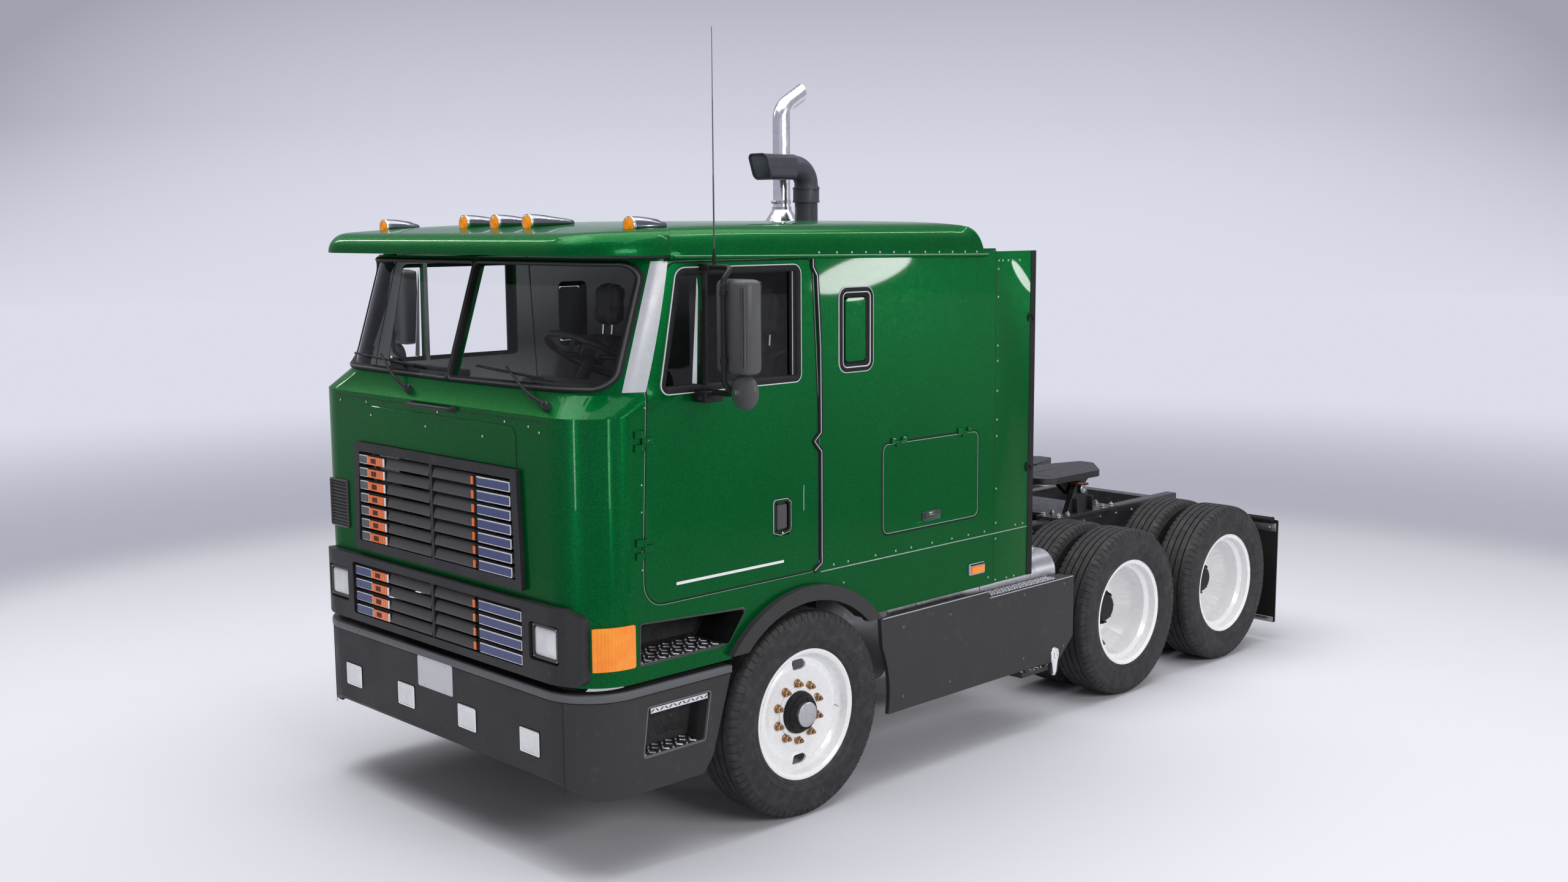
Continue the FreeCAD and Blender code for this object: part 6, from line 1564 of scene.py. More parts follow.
def makeMirrors():
    m = mirrorSizes
    y, face = m["y"], cabPlan["half"]
    ahead = m["headY"][0] - 0.014
    frameTube = tube(roundedPath([(face, y, m["top"]), (m["x"], y, m["top"]),
                                  (m["x"] + 0.004, ahead, m["top"] - 0.055),
                                  (m["x"] + 0.004, ahead, m["low"] + 0.055), (m["x"], y, m["low"]),
                                  (face, y, m["low"])],
                                 0.050, 8), m["tube"], 14)
    brackets = [block(face, face + 0.066, y - 0.021, y + 0.021, 2.693, 2.723, 0.004),
                block(face, face + 0.078, y - 0.058, y + 0.058, 2.107, 2.158, 0.006),
                block(face + 0.008, face + 0.060, y - 0.075, y + 0.062, 2.120, 2.138, 0.004)]
    clamps = [lathe([(-0.014, 0.0150), (-0.012, 0.0165), (0.012, 0.0165), (0.014, 0.0150)],
                    (m["x"] + 0.004, ahead, z), (0, 0, 1), 18) for z in (2.300, 2.600)]
    bothSides("mirrorFrame", [frameTube] + brackets + clamps, "black", "door_SIDE", bevel=0.0008, sharp=45)
    (x0, x1), (y0, y1), (z0, z1) = m["head"], m["headY"], m["headZ"]
    loop = roundLoop([(x0, y0 + 0.012, 0.030), (x1, y0, 0.034), (x1, y1, 0.020), (x0, y1, 0.016)], 0)
    head = plate(loop, [(0, 0.030), (0.004, 0.016), (0.014, 0.005), (0.028, 0.0), (z1 - z0 - 0.028, 0.0),
                        (z1 - z0 - 0.014, 0.005), (z1 - z0 - 0.004, 0.016), (z1 - z0, 0.030)], onTop(z0))
    bothSides("mirrorHead", [head], "mirrorShell", "door_SIDE", replaces=("mirror_SIDE",), sharp=60,
              slot="black_plastic")
    ribs = [strip([(x, z0 + 0.035), (x, (z0 + z1) / 2), (x, z1 - 0.035)],
                  ridge(0.004, -0.004, 0.002, 0.005),
                  lambda a, b, h: np.stack([a, y0 - h + 0.001 + 0.012 * (x1 - a) / (x1 - x0), b], -1))
            for x in (x1 - 0.042, x1 - 0.028, x1 - 0.014)]
    bothSides("mirrorRibs", ribs, "slat", "door_SIDE", sharp=50)
    rim = roundRect(x1 - x0 - 0.012, z1 - z0 - 0.016, 0.018) + np.array([(x0 + x1) / 2, (z0 + z1) / 2])
    behind = lambda a, b, h: np.stack([a, y1 + h, b], -1)
    bothSides("mirrorEdge", [band(rim, [(0.0, -0.012), (0.0, 0.003), (-0.004, 0.005), (-0.008, 0.003),
                                        (-0.008, -0.012)],
                                  behind)], "rubber", "door_SIDE")
    bothSides("mirrorGlass", [plate(rim, [(-0.010, 0.006), (0.001, 0.006), (0.0016, 0.009)], behind)], "mirrorFace",
              "door_SIDE", slot="chrome")
    sx, sz = m["spot"]
    r = m["spotRadius"]
    bowl = lathe([(-0.028, 0.012), (-0.027, 0.030), (-0.022, r * 0.72), (-0.008, r * 0.95), (0.010, r),
                  (0.016, r - 0.002), (0.016, r - 0.008)], (sx, y, sz), (0, 1, 0), 36)
    bothSides("spotMirror", [bowl], "mirrorShell", "door_SIDE", sharp=50)
    bulge = lathe([(0.008, r - 0.006), (0.013, r - 0.010), (0.019, r * 0.6), (0.0215, r * 0.3), (0.022, 0.0)],
                  (sx, y, sz), (0, 1, 0), 36)
    bothSides("spotMirrorGlass", [bulge], "mirrorFace", "door_SIDE", slot="chrome")
    arm = [block(m["x"] - 0.006, sx - 0.012, y - 0.010, y - 0.002, 2.156, 2.176, 0.003),
           lathe([(-0.044, 0.011), (-0.026, 0.013), (-0.024, 0.010)], (sx - 0.018, y, sz), (0, 1, 0), 14)]
    bothSides("spotMirrorArm", arm, "chrome", "door_SIDE", bevel=0.0008)
    x = m["aerialX"]
    base = [lathe([(0.0, 0.010), (0.010, 0.0105), (0.014, 0.008), (0.030, 0.008), (0.034, 0.0095), (0.062, 0.0085),
                   (0.080, 0.005), (0.088, 0.004)], (x, y, 2.702), (0, 0, 1), 16)]
    base += [lathe([(0.0, 0.0088), (0.002, 0.0096), (0.004, 0.0088)], (x, y, 2.738 + 0.006 * i), (0, 0, 1), 14)
             for i in range(4)]
    piece("aerialBase", base, "black", "door_left")
    whip = lathe([(0.0, 0.0040), (0.33, 0.0036), (0.332, 0.0030), (0.66, 0.0026), (0.662, 0.0021), (0.965, 0.0014),
                  (0.967, 0.0022), (0.970, 0.0)], (x, y, 2.779), (0, 0, 1), 8)
    piece("aerialWhip", [whip], "slat", "door_left")


makeMirrors()
print("mirrors made")


# Exhaust and intake stacks

stackSizes = {"x": -1.000, "y": 2.010, "tube": 0.057, "muffler": 0.120, "intakeX": -0.775, "pipe": 0.074,
              "sleeve": 0.084, "hoodZ": 3.255, "hoodHalf": 0.084, "mufflerZ": (1.187, 2.9005), "sootZ": (3.40, 3.60),
              "sootRadius": 0.0545, "mouth": (1.722, 0.0765, 0.0715), "straps": (1.70, 2.45), "jointZ": 3.040}


# 1 muffler shell, 2 painted bracket, 3 the sooty inside, 0 the bright stack.
def stackSorter(x, y, z, normal, corners):
    s = stackSizes
    if z < s["mufflerZ"][0] or (abs(x) < 0.86 and z < 1.2):
        return 2
    if z < s["mufflerZ"][1]:
        return 1
    away = max(math.hypot(c[0] - s["x"], c[1] - s["y"]) for c in corners)
    towards = normal.x * (x - s["x"]) + normal.y * (y - s["y"])
    return 3 if s["sootZ"][0] < z < s["sootZ"][1] and away < s["sootRadius"] and towards < 0 else 0


# 1 inside the hood's mouth.
def hoodSorter(x, y, z, normal, corners):
    s = stackSizes
    rear, half, tall = s["mouth"]
    return int(y < rear and abs(x - s["intakeX"]) < half and abs(z - s["hoodZ"]) < tall)


def makeStacks():
    s = stackSizes
    x, y = s["x"], s["y"]
    fromFrame("exhaustStack", "exhaust_stack", ["stack", "muffler", "frame", "black"], "chassis", 0.0015, 40,
              sorter=stackSorter)
    up = (0, 0, 1)
    bands = []
    strapped = [(z, s["muffler"]) for z in s["straps"]]
    for z, r in [(1.215, s["muffler"])] + strapped + [(2.885, s["muffler"]), (2.998, s["tube"] + 0.003),
                                                      (s["jointZ"], s["tube"])]:
        bands.append(lathe(hoop(0.013, r, 0.0035), (x, y, z), up, 40))
    for z, r in strapped + [(s["jointZ"], s["tube"])]:
        bands.append(block(x - 0.012, x + 0.012, y - r - 0.030, y - r + 0.002, z - 0.010, z + 0.010, 0.003))
        bands += hexNut((x + 0.012, y - r - 0.018, z), (1, 0, 0), 0.006, 0.008)
    piece("stackBands", bands, "steel", "chassis", bevel=0.0006)
    piece("stackSeat", tube([(x - dx, y, 1.13) for dx in (-0.06, 0.06)], 0.020, 12), "frame", "chassis")
    fromFrame("airIntake", "air_intake", ["slate", "black"], "chassis", 0.0015, 40, sorter=hoodSorter)
    ix, hz, hw = s["intakeX"], s["hoodZ"], s["hoodHalf"]
    rings = [lathe(hoop(0.007, r, 0.003), (ix, y, z), up, 36)
             for z, r in ((1.62, s["pipe"]), (2.40, s["pipe"]), (3.041, s["sleeve"]), (3.124, s["sleeve"]))]
    creases = [strip([(1.606, hz), (1.72, hz), (1.845, hz)], bar(0.0022, -0.002, 0.0012), onLeft(ix + hw))]
    creases += [(p * np.array([-1.0, 1, 1]) + np.array([2 * ix, 0, 0]), f) for p, f in creases[:1]]
    mouth = roundRect(2 * hw, 0.158, 0.035, 6)
    lean = lambda a, b, h: np.stack([ix + a, 1.604 - 0.33 * b - h, hz + b], -1)
    rim = band(mouth, [(0.0005, -0.010), (0.0030, 0.001), (0.0, 0.005), (-0.006, 0.004), (-0.0085, -0.002),
                       (-0.0085, -0.010)], lean)
    shield = plate(roundRect(2 * hw - 0.014, 0.144, 0.030, 6), [(-0.009, 0), (-0.004, 0.0), (-0.001, 0.004)], lean)
    piece("intakeRings", rings + creases + [rim, shield], "slate", "chassis", sharp=50)


makeStacks()
print("stacks made")


# Steps, skirt and tanks

stepSizes = {"cab": (0.955, 1.166, -1.004, -0.500, 0.9565), "bumper": (1.050, 1.171, -0.998, -0.650, 0.5305),
             "skirt": (1.112, 1.192, 1.462, 2.075, 0.8562, 0.026),
             "side": (1.046, 1.188, 1.756, 2.074, 0.3522, 0.034),
             "cabWall": [(-0.995, 0.975), (-0.50, 0.975), (-0.415, 1.095), (-0.995, 1.125)],
             "bumperWall": [(-0.975, 0.565), (-0.665, 0.565), (-0.640, 0.715), (-0.955, 0.715)], "headerZ": 0.738}
skirtSizes = {"x": 1.200, "top": 0.894, "shelf": 0.856, "frontY": 0.560, "stepY": 1.420, "treadZ": (0.345, 0.36),
              "latch": [(2.005, 0.452), (2.030, 0.466), (2.062, 0.452), (2.072, 0.420), (2.058, 0.372),
                        (2.048, 0.318), (2.034, 0.292), (2.018, 0.300), (2.012, 0.345), (2.000, 0.400)]}


# Serrated tread: raised lugs in rows staggered in turn, each lug turned the other way from the next.
def lugPlate(x0, x1, y0, y1, z, pitch=0.040):
    parts = []
    reach = pitch * 0.36
    columns, rows = max(2, int((y1 - y0) / pitch)), max(2, int((x1 - x0) / pitch))
    for i in range(columns):
        for j in range(rows):
            a = y0 + (i + 0.5 + 0.25 * (j % 2)) * (y1 - y0) / (columns + 0.5)
            b = x0 + (j + 0.5) * (x1 - x0) / rows
            turn = 0.6 if (i + j) % 2 else -0.6
            lug = np.array([(-reach, -0.0042), (reach, -0.0042), (reach, 0.0042), (-reach, 0.0042)])
            lug = lug @ np.array([(math.cos(turn), math.sin(turn)), (-math.sin(turn), math.cos(turn))])
            parts.append(plate(lug + np.array([b, a]), [(0.003, 0), (0.0085, 0.0012)], onTop(z)))
    return parts


# The lugs with the plate that they are pressed from.
def stepTread(name, body, *sizes):
    x0, x1, y0, y1, z = sizes[:5]
    bothSides(name, lugPlate(*sizes), "treadBright", body)
    bothSides(name + "Base", [block(x0, x1, y0, y1, z, z + 0.004, 0.0012)], "treadBase", body)


def makeSteps():
    s = stepSizes
    stepTread("cabStepTread", "cab", *s["cab"])
    stepTread("bumperStepTread", "chassis", *s["bumper"])
    place, low = onLeft(cabPlan["half"]), onLeft(bumperSizes["half"])
    edge = roundLoop([(-1.010, 1.144, 0.012), (-0.365, 1.106, 0.012), (-0.480, 0.956, 0.02), (-1.014, 0.956, 0.012)],
                     0)
    lip = [(0.001, 0.003), (-0.003, 0.0015), (-0.003, -0.010), (0.002, -0.010)]
    # The step recess's rim takes the darker copy of the body green: painted shade.
    bothSides("cabStepRim", [band(edge, [(0.006, -0.001), (0.006, 0.0015)] + lip, place)], "greenShade", sharp=50)
    wall = plate(np.array(s["cabWall"]), [(-0.2345, 0), (-0.2325, 0.001)], place)
    bothSides("cabStepWall", [wall], "speckled")
    edge = roundLoop([(-0.976, 0.756, 0.012), (-0.600, 0.756, 0.012), (-0.640, 0.530, 0.012), (-1.007, 0.530, 0.012)],
                     0)
    rim = band(edge, [(0.005, -0.001), (0.005, 0.0015)] + lip, low)
    bothSides("bumperStepRim", [rim], "bumperLip", "chassis", sharp=50)
    wall = plate(np.array(s["bumperWall"]), [(-0.1295, 0), (-0.1275, 0.001)], low)
    bothSides("bumperStepWall", [wall], "speckled", "chassis")
    header = strip([(y, s["headerZ"]) for y in (-0.962, -0.80, -0.622)], bar(0.012, -0.010, 0.0005), low)
    bothSides("bumperStepHeader", [header], "treadBright", "chassis")
    notches = []
    for i in range(13):
        lean = 0.6 - 1.2 * (i % 2)
        notch = roundRect(0.020, 0.005, 0.0015, 2) @ np.array([(0.8, lean), (-lean, 0.8)])
        notches.append(plate(notch + np.array([-0.950 + 0.0265 * i, s["headerZ"]]), [(0.0004, 0), (0.0012, 0)], low))
    bothSides("bumperStepNotches", notches, "black", "chassis")


def makeSkirt():
    s = skirtSizes
    place = onLeft(s["x"])
    fromFrame("sideFairings", "side_fairings", ["bumper", "treadBright"], "chassis", 0.003,
              sorter=lambda x, y, z, n, c: int(n.z > 0.9 and s["treadZ"][0] < z < s["treadZ"][1] and abs(x) < 1.195))
    lines = [strip(finePath([(y0, z - 0.003), (y1, z - 0.003)], 0.2), ridge(0.0025, -0.002, 0.001, 0.0018), place)
             for y0, y1, z in ((s["frontY"], s["stepY"], s["top"]), (1.440, 2.215, s["shelf"]))]
    bothSides("skirtTopLine", lines, "paleLilac", "chassis", sharp=50)
    stepTread("skirtTread", "chassis", *stepSizes["skirt"])
    stepTread("sideStepTread", "chassis", *stepSizes["side"])
    latch = roundLoop([(y, z, 0.012) for y, z in s["latch"][::-1]], 0.012, 3)
    inner = roundLoop([(2.018, 0.440, 0.008), (2.052, 0.440, 0.008), (2.048, 0.400, 0.008), (2.020, 0.398, 0.008)], 0,
                      4)
    bothSides("skirtLatch", [plate(latch, [(0.0, 0), (0.013, 0), (0.0165, 0.003), (0.0175, 0.008)], place),
                             band(inner, ringSection(0.004, 0.004, 6), onLeft(s["x"] + 0.0178))], "chrome", "chassis",
              sharp=50)
    bolts = [(s["x"] - 0.0005, y, z) for y in (0.72, 1.10, 1.75, 2.13) for z in (0.82, 0.45)]
    bothSides("skirtBolts", domes(bolts, [(1, 0, 0)], 0.008, 0.004), "bumperLip", "chassis")


# Tank ends, straps and filler over the polished tanks.
def makeTanks():
    fromFrame("fuelTanks", "fuel_tanks", "tank", "chassis", 0.004)
    loop = roundLoop([(0.580, 0.500, 0.12), (1.100, 0.500, 0.12), (1.100, 0.995, 0.12), (0.580, 0.995, 0.12)], 0, 9)
    around = lambda y: (lambda a, b, h: np.stack([a, y + h, b], -1))
    straps = [band(loop, [(-0.001, -0.026), (0.0035, -0.026), (0.0045, 0.0), (0.0035, 0.026), (-0.001, 0.026)],
                   around(y))
              for y in (0.96, 1.50, 1.96)]
    bothSides("tankStraps", straps, "steel", "chassis", sharp=50)
    seams = [band(loop, [(-0.001, -0.004), (0.0015, -0.003), (0.0022, 0.0), (0.0015, 0.003), (-0.001, 0.004)],
                  around(y))
             for y in (0.716, 1.30, 2.164)]
    bothSides("tankSeams", seams, "tank", "chassis", sharp=50)
    ends = [plate(loop, [(-0.0005, 0.012), (0.010, 0.020), (0.018, 0.045), (0.021, 0.085), (0.021, 0.118)],
                  around(2.180))]
    bothSides("tankEnds", ends, "tank", "chassis", sharp=60)
    cap = [lathe([(-0.004, 0.046), (0.014, 0.046), (0.016, 0.042), (0.018, 0.040), (0.036, 0.039), (0.040, 0.034),
                  (0.041, 0.0)],
                 (0.980, 2.060, 0.986), (0.35, 0, 0.937), 28)]
    bothSides("tankCap", cap, "steel", "chassis", sharp=40)


makeSteps()
makeSkirt()
makeTanks()
print("steps, skirts and tanks made")


# Frame, coupling and rear end

rearSizes = {"plateTop": 1.250, "pin": (0.440, 3.390, 1.140), "boltX": (0.462, 0.338),
             "boltY": (3.09, 3.19, 3.59, 3.69),
             "footZ": 0.990, "railX": 0.4302, "railZ": (0.752, 0.921), "lampX": (-0.370, -0.250, 0.250, 0.370),
             "lampY": 4.630, "lampZ": 0.757, "flapX": 0.88, "flapHalf": 0.290, "flapY": (4.6440, 4.6485),
             "barEnd": (1.150, 4.635, 0.850)}


def makeRear():
    s = rearSizes
    for name, node, paint, body, slot in (("fifthWheelPlate", "fifth_wheel_plate", "iron", "fifth_wheel",
                                           "engine_iron"),
                                          ("fifthWheelBase", "fifth_wheel_base", "frame", "chassis", "frame_paint"),
                                          ("frameRails", "frame_rails", "frame", "chassis", "frame_paint"),
                                          ("mudFlaps", "mud_flaps", "rubber", "chassis", "black_rubber"),
                                          ("rearAxles", "rear_axles", "frame", "chassis", "frame_paint"),
                                          ("frontAxle", "front_axle", "frame", "chassis", "frame_paint")):
        fromFrame(name, node, paint, body, 0.002)
    top = s["plateTop"]
    pinX, pinY, pinZ = s["pin"]
    pins = [lathe([(-0.002, 0.034), (0.006, 0.034), (0.010, 0.030), (0.010, 0.012), (0.006, 0.010), (0.006, 0.0)],
                  (sign * pinX, pinY, pinZ), (sign, 0, 0), 24) for sign in (1, -1)]
    piece("couplerPins", pins, "steel", "fifth_wheel", bevel=0.0006)
    throat = smoothPath([(x, y, top - 0.012) for x, y in ((0.075, 3.36), (0.0, 3.315), (-0.075, 3.36))], 8)
    piece("couplerJaw", tube(throat, 0.0105, 10), "steel", "fifth_wheel")
    grease = []
    for sign in (1, -1):
        for width, length, x, y in ((0.016, 0.240, 0.20, 3.28), (0.300, 0.018, 0.235, 3.100)):
            groove = roundRect(width, length, 0.006) + np.array([sign * x, y])
            grease.append(plate(groove, [(-0.0005, 0), (0.0006, 0)], onTop(top)))
    piece("couplerGrooves", grease, "black", "fifth_wheel")
    handle = [tube(roundedPath([(0.30, 3.30, 1.190), (0.47, 3.30, 1.185), (0.50, 3.36, 1.185)], 0.03), 0.0085, 10),
              tube([(0.16, 3.30, 1.192), (0.31, 3.30, 1.190)], 0.013, 10)]
    piece("couplerHandle", handle, "rustRed", "fifth_wheel")
    nuts = []
    for sx in (1, -1):
        for y in s["boltY"]:
            for x in s["boltX"]:
                nuts += hexNut((sx * x, y, s["footZ"]), (0, 0, 1), 0.016, 0.018, 0.3)
    piece("couplerBolts", nuts, "steel", "chassis", bevel=0.0006)
    ribs = []
    for sx in (1, -1):
        for dy in (-0.085, 0.085):
            x, y = sx * 0.430, pinY + dy
            ribs.append(block(x - 0.010, x + 0.034, y - 0.006, y + 0.006, 0.989, 1.085, 0.003))
    piece("couplerRibs", ribs, "frame", "chassis")
    bolts = [(sx * s["railX"], float(y), z)
             for sx in (1, -1) for y in np.arange(-0.95, 4.5, 0.19) for z in s["railZ"]]
    piece("railBolts", domes(bolts, [(math.copysign(1, b[0]), 0, 0) for b in bolts], 0.010, 0.008, 6), "steel",
          "chassis")
    lamps, rims = [], []
    for x in s["lampX"]:
        centre = (x, s["lampY"], s["lampZ"])
        rims.append(lathe([(-0.0005, 0.050), (0.006, 0.050), (0.009, 0.047), (0.009, 0.042), (0.0, 0.041)], centre,
                          (0, 1, 0), 32))
        lamps.append(lathe([(0.0, 0.0415), (0.012, 0.0410), (0.017, 0.036)] +
                           [(0.0178 + 0.0012 * (i % 2) + 0.0018 * (1 - i / 6), 0.036 * i / 6)
                            for i in range(6, 0, -1)] +
                           [(0.0205, 0.0)], centre, (0, 1, 0), 28))
    piece("tailLampLenses", lamps, "red", "chassis", replaces=("tail_lamps",), slot="red_lens", sharp=25)
    piece("tailLampRims", rims, "black", "chassis")
    middle, half = s["flapX"], s["flapHalf"]
    hangers = [block(sx * middle - half, sx * middle + half, *s["flapY"], z0, z1, 0.002)
               for sx in (1, -1) for z0, z1 in ((0.770, 0.826), (0.134, 0.166))]
    flapBolts = [(sx * middle + dx, s["flapY"][0] + 0.0002, 0.798)
                 for sx in (1, -1) for dx in (-0.24, -0.08, 0.08, 0.24)]
    hangers += domes(flapBolts, [(0, -1, 0)], 0.009, 0.005)
    piece("flapStraps", hangers, "steel", "chassis")
    endX, endY, endZ = s["barEnd"]
    barEnds = [lathe([(-0.004, 0.0245), (0.0, 0.0245), (0.003, 0.021), (0.003, 0.0)], (sx * endX, endY, endZ),
                     (sx, 0, 0), 18)
               for sx in (1, -1)]
    piece("flapBarEnds", barEnds, "rubber", "chassis")


makeRear()
print("frame and rear end made")


# Seats, bunk and the inside of the cab

# Each pad: middle (y, z), half sizes (across, along, thick), lean in degrees from level, its sewn channels along,
# and how far out its side seams run.
pads = {
    "cushion": {"x": 0.645, "at": (-0.215, 1.652), "half": (0.213, 0.296, 0.058), "lean": 176.0,
                "channels": (-0.14, -0.03, 0.08, 0.19), "seam": 0.150, "voxel": 0.009},
    "back": {"x": 0.645, "at": (0.186, 1.975), "half": (0.213, 0.330, 0.052), "lean": 76.0,
             "channels": (-0.20, -0.10, 0.0, 0.10), "seam": 0.145, "voxel": 0.009},
    "head": {"x": 0.645, "at": (0.288, 2.452), "half": (0.104, 0.114, 0.042), "lean": 85.0, "channels": (),
             "seam": 0.075, "voxel": 0.006},
}
bunkSizes = {"at": (0.998, 1.853), "half": (1.095, 0.430, 0.058), "voxel": 0.022}


# Cube points divided by the k-norm of their place: a box with soft edges, crowned where both faces' middles are.
def padForm(half, k=5.0, steps=26, crown=0.12):
    t = np.linspace(-1, 1, steps)
    a, b = [g.ravel() for g in np.meshgrid(t, t, indexing="ij")]
    one = np.ones_like(a)
    points, faces = [], []
    for turn in range(3):
        for sign in (-1, 1):
            side = np.roll(np.stack([a, b, one * sign], -1), turn, axis=1)
            faces += [tuple(i + len(points) * steps * steps for i in f) for f in gridFaces(steps, steps)]
            points.append(side)
    p = np.vstack(points)
    p = p / (np.abs(p) ** k).sum(1, keepdims=True) ** (1 / k)
    p[:, 2] *= 1 + crown * (1 - p[:, 0] ** 2) * (1 - p[:, 1] ** 2)
    return p * np.array(half), faces


# Blows the pad up with cloth pressure from a voxel copy of itself, and caps how far each point may go.
def inflate(obj, voxel, cap=0.014):
    work = bpy.data.objects.new(obj.name + "Work", obj.data.copy())
    bpy.context.scene.collection.objects.link(work)
    mod = work.modifiers.new("remesh", "REMESH")
    mod.mode = "VOXEL"
    mod.voxel_size = voxel
    graph = bpy.context.evaluated_depsgraph_get()
    base = bpy.data.meshes.new_from_object(work.evaluated_get(graph))
    work.modifiers.clear()
    work.data = base
    start = np.empty(len(base.vertices) * 3)
    base.vertices.foreach_get("co", start)
    cloth = work.modifiers.new("cloth", "CLOTH")
    cloth.settings.use_pressure = True
    cloth.settings.uniform_pressure_force = 4.0
    cloth.settings.effector_weights.gravity = 0.0
    cloth.point_cache.frame_start = 1
    cloth.point_cache.frame_end = 20
    for number in range(1, 21):
        bpy.context.scene.frame_set(number)
    graph = bpy.context.evaluated_depsgraph_get()
    blown = work.evaluated_get(graph).to_mesh()
    end = np.empty(len(blown.vertices) * 3)
    blown.vertices.foreach_get("co", end)
    move = (end - start).reshape(-1, 3)
    far = np.linalg.norm(move, axis=1, keepdims=True)
    move *= np.minimum(1.0, cap / np.maximum(far, 1e-9))
    base.vertices.foreach_set("co", (start.reshape(-1, 3) + move).ravel())
    bpy.data.objects.remove(work)
    bpy.context.scene.frame_set(1)
    obj.data = base


# Sewn channels and side seams: points near a line sink along their normal by a bell curve of the distance.
def sew(obj, s, frameAt, depth=0.011, width=0.011):
    mesh = obj.data
    count = len(mesh.vertices)
    co, normal = np.empty(count * 3), np.empty(count * 3)
    mesh.vertices.foreach_get("co", co)
    mesh.vertices.foreach_get("normal", normal)
    co, normal = co.reshape(-1, 3), normal.reshape(-1, 3)
    origin, along = frameAt
    across = np.abs(co[:, 0] - s["x"])
    run = (co - origin) @ along
    sink = np.exp(-((across - s["seam"]) / width) ** 2)
    for line in s["channels"]:
        sink = np.maximum(sink, np.exp(-((run - line) / width) ** 2) * (across < s["seam"]))
    mesh.vertices.foreach_set("co", (co - normal * (sink * depth)[:, None]).ravel())
    mesh.update()


def makePad(name, s, paint, replaces=(), slot=None):
    a = math.radians(s["lean"])
    along = np.array([0.0, math.cos(a), math.sin(a)])
    up = np.array([0.0, -math.sin(a), math.cos(a)])
    origin = np.array([s["x"], s["at"][0], s["at"][1]])
    p, faces = padForm(s["half"], steps=26)
    p = origin + p[:, :1] * np.array([1.0, 0, 0]) + p[:, 1:2] * along + p[:, 2:] * up
    made = piece(name + "Left", [(p, faces)], paint, "cab", sharp=80, replaces=replaces, slot=slot, subdiv=1)
    inflate(made, s["voxel"])
    sew(made, s, (origin + np.array([0, axleY, 0]), along))
    meshes = [(made, made.data)]
    if s["x"] > 0:
        twin = made.data.copy()
        twin.name = name + "Right"
        twin.transform(Matrix.Scale(-1, 4, (1, 0, 0)))
        twin.flip_normals()
        other = bpy.data.objects.new(name + "Right", twin)
        bpy.context.scene.collection.objects.link(other)
        mod = other.modifiers.new("smooth", "SUBSURF")
        mod.levels = mod.render_levels = 1
        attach(other, "cab")
        meshes.append((other, twin))
    for obj, mesh in meshes:
        mesh.materials.clear()
        mesh.materials.append(paints[paint])
        mesh.shade_smooth()
    print("pad made:", name)


def makeSeats():
    makePad("seatCushion", pads["cushion"], "leather", ("seats",), "black_leather")
    makePad("seatBack", pads["back"], "leather")
    makePad("seatHead", pads["head"], "leather")
    y, z = -0.215, 1.250
    loop = roundRect(0.330, 0.410, 0.05) + np.array([0.640, y])
    folds = [(0.0, 0.0), (0.015, 0.0)]
    for i in range(6):
        folds += [(0.020 + i * 0.045, 0.034), (0.042 + i * 0.045, 0.004)]
    folds += [(0.296, 0.030)]
    pans = [block(0.440, 0.850, -0.480, 0.050, 1.552, 1.592, 0.012),
            block(0.425, 0.865, -0.12, 0.02, 1.560, 1.606, 0.012)]
    bothSides("seatBellows", [plate(loop, folds, onTop(z))], "rubber", sharp=40)
    bothSides("seatPan", pans, "black", bevel=0.001)
    posts = [lathe([(-0.02, 0.007), (0.10, 0.007)], (x, 0.268, 2.285), (0, 0.1, 1), 12) for x in (0.605, 0.685)]
    arm = [plate(roundRect(0.052, 0.30, 0.024) + np.array([0.395, -0.08]),
                 [(0, 0.012), (0.012, 0.0), (0.034, 0.0), (0.046, 0.012)],
                 onTop(1.890)), block(0.405, 0.417, 0.030, 0.075, 1.80, 1.90, 0.004)]
    bothSides("seatPosts", posts, "chrome")
    bothSides("seatArm", arm, "leather", sharp=50)
    belt = strip([(0.075, 1.66), (0.10, 1.90), (0.215, 2.24), (0.30, 2.27)],
                 [(-0.001, 0.0), (-0.001, 0.046), (0.001, 0.046), (0.001, 0.0)],
                 lambda a, b, h: np.stack([0.800 + h, a - 0.062, b], -1))
    bothSides("seatBelt", [belt], "fabric")
    s = dict(bunkSizes, x=0.0, lean=0.0, channels=(-0.22, 0.0, 0.22), seam=0.55)
    makePad("bunkMattress", s, "fabric", ("bunk",), "grey_fabric")


dashSizes = {"gauges": [(0.44, 2.030), (0.54, 2.040), (0.66, 2.040), (0.76, 2.030)], "gauge": 0.036,
             "vents": (-0.95, -0.60, -0.20, 0.20, 0.98), "wheel": (0.600, -0.800, 2.290),
             "wheelAxis": (0.0, 0.503, 0.864), "rim": 0.230, "rimTube": 0.013}


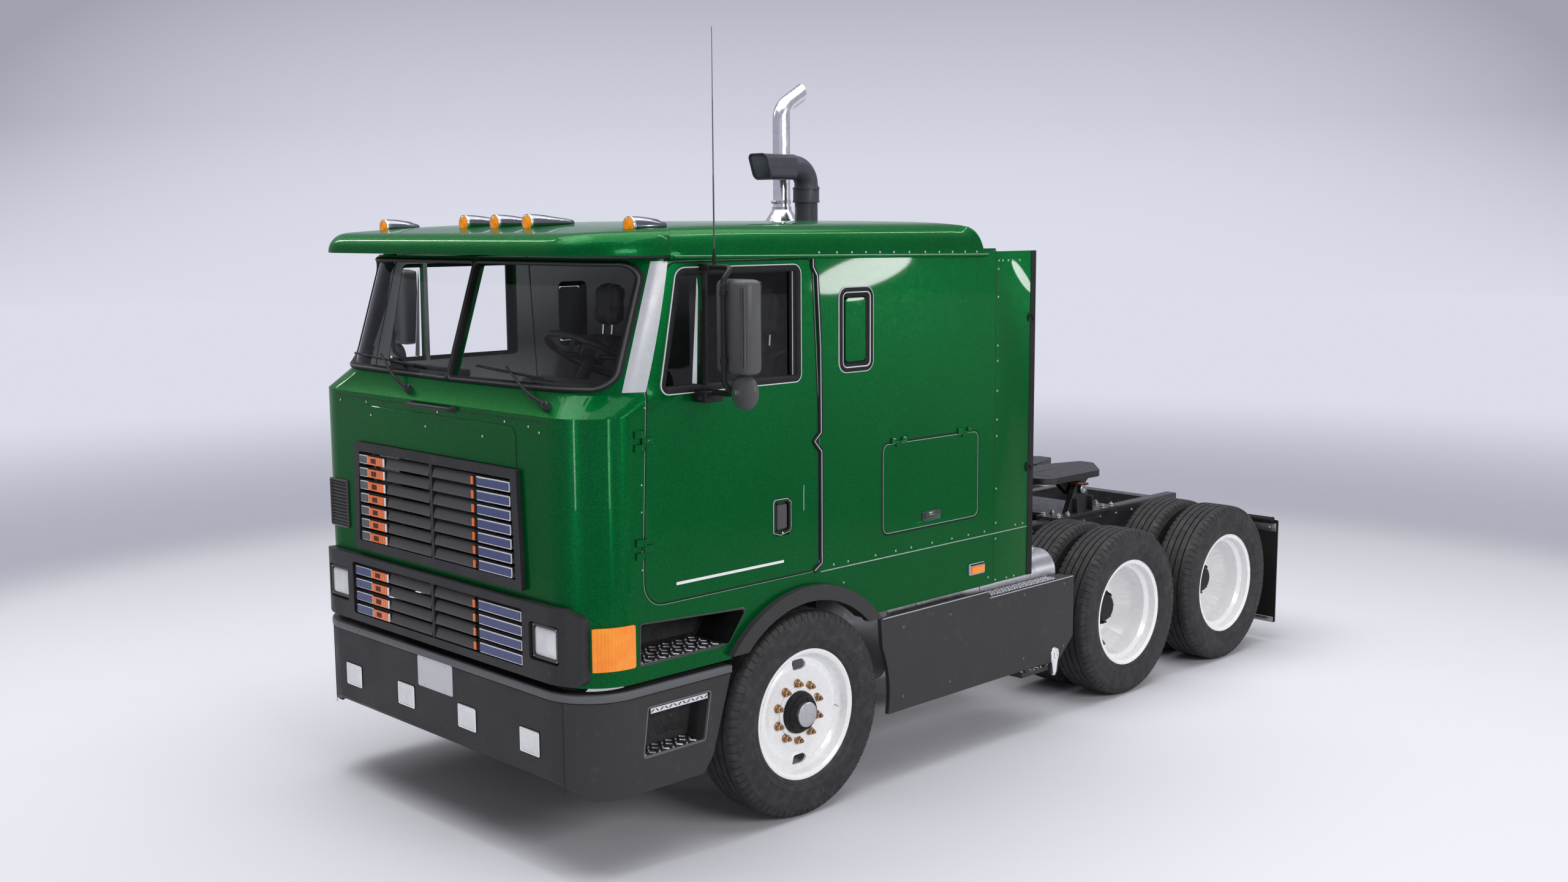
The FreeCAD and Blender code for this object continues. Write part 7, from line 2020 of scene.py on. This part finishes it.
def makeDash():
    d = dashSizes
    fromFrame("dashboard", "dashboard", "lining", "cab", 0.006)
    hood = roundLoop([(0.30, -1.02, 0.05), (0.90, -1.02, 0.05), (0.90, -0.86, 0.03), (0.30, -0.86, 0.03)], 0)
    piece("dashHood", [plate(hood, [(-0.02, 0), (0.020, 0.0), (0.032, 0.006), (0.038, 0.020)], onTop(2.150))],
          "leather", "cab", sharp=50)
    lean = lambda a, b, h: np.stack([a, -0.853 + h - 0.10 * (b - 2.0), b], -1)
    dials = []
    for x, z in d["gauges"]:
        loop = roundRect(2 * d["gauge"], 2 * d["gauge"], d["gauge"] * 0.999, 8) + np.array([x, z])
        dials.append(band(loop, [(0.0, 0.0), (0.0, 0.007), (-0.003, 0.009), (-0.006, 0.004), (-0.006, 0.0)], lean))
    piece("dashGaugeRims", dials, "chrome", "cab")
    vents = []
    for x in d["vents"]:
        for k in range(5):
            vents.append(block(x - 0.065, x + 0.065, -0.858, -0.846, 2.005 + 0.011 * k, 2.009 + 0.011 * k, 0.001))
    piece("dashVents", vents, "black", "cab")
    tray = [block(-0.95, -0.25, -1.10, -0.93, 2.152, 2.166, 0.004),
            block(-0.97, -0.23, -0.945, -0.925, 2.15, 2.188, 0.006)]
    piece("dashTray", tray, "black", "cab")
    fromFrame("steeringWheel", "steering_wheel", "black", "cab", 0.001, 50)
    centre = np.array(d["wheel"])
    side, up, way = frameOf(d["wheelAxis"])
    grips = []
    for t in np.linspace(0, 2 * math.pi, 24, endpoint=False):
        outer = math.cos(t) * side + math.sin(t) * up
        spot = centre + (d["rim"] - d["rimTube"]) * outer
        grips.append(lathe([(0.0, 0.0075), (0.0022, 0.006), (0.003, 0.0)], spot, -outer, 8))
    piece("steeringGrips", grips, "rubber", "cab")
    button = lathe([(0.0, 0.046), (0.012, 0.045), (0.020, 0.034), (0.022, 0.0)], centre + way * 0.004, way, 28)
    piece("steeringButton", button, "leather", "cab", sharp=50)


# Trim on the inside of each door, from its inner face: padded panel, armrest and window winder.
def makeDoorInsides():
    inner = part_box("door_left")[0][0]
    place = lambda a, b, h: np.stack([inner - h + 0 * a, a, b], -1)
    loop = roundLoop([(-0.93, 1.32, 0.04), (-0.17, 1.32, 0.04), (-0.17, 1.93, 0.04), (-0.97, 1.90, 0.04)], 0)
    # The door panels take the near-white lit lining: painted light.
    bothSides("doorPanel", [plate(loop, [(-0.001, 0), (0.006, 0.0), (0.011, 0.008), (0.012, 0.02)], place)],
              "paleLining", "door_SIDE", sharp=50)
    arm = roundLoop([(-0.80, 1.70, 0.02), (-0.30, 1.70, 0.02), (-0.30, 1.76, 0.02), (-0.80, 1.76, 0.02)], 0)
    bothSides("doorArmrest", [plate(arm, [(0.010, 0), (0.050, 0.0), (0.060, 0.01)], place)], "leather", "door_SIDE",
              sharp=50)
    winder = [lathe([(0.010, 0.020), (0.022, 0.018), (0.024, 0.0)], (inner, -0.62, 1.56), (-1, 0, 0), 20),
              tube([(inner - 0.022, -0.62, 1.56), (inner - 0.034, -0.53, 1.50)], 0.006, 8),
              lathe([(0.034, 0.010), (0.062, 0.012), (0.064, 0.0)], (inner, -0.53, 1.50), (-1, 0, 0), 14)]
    bothSides("doorWinder", winder, "chrome", "door_SIDE")


makeSeats()
makeDash()
makeDoorInsides()
print("inside of the cab made")
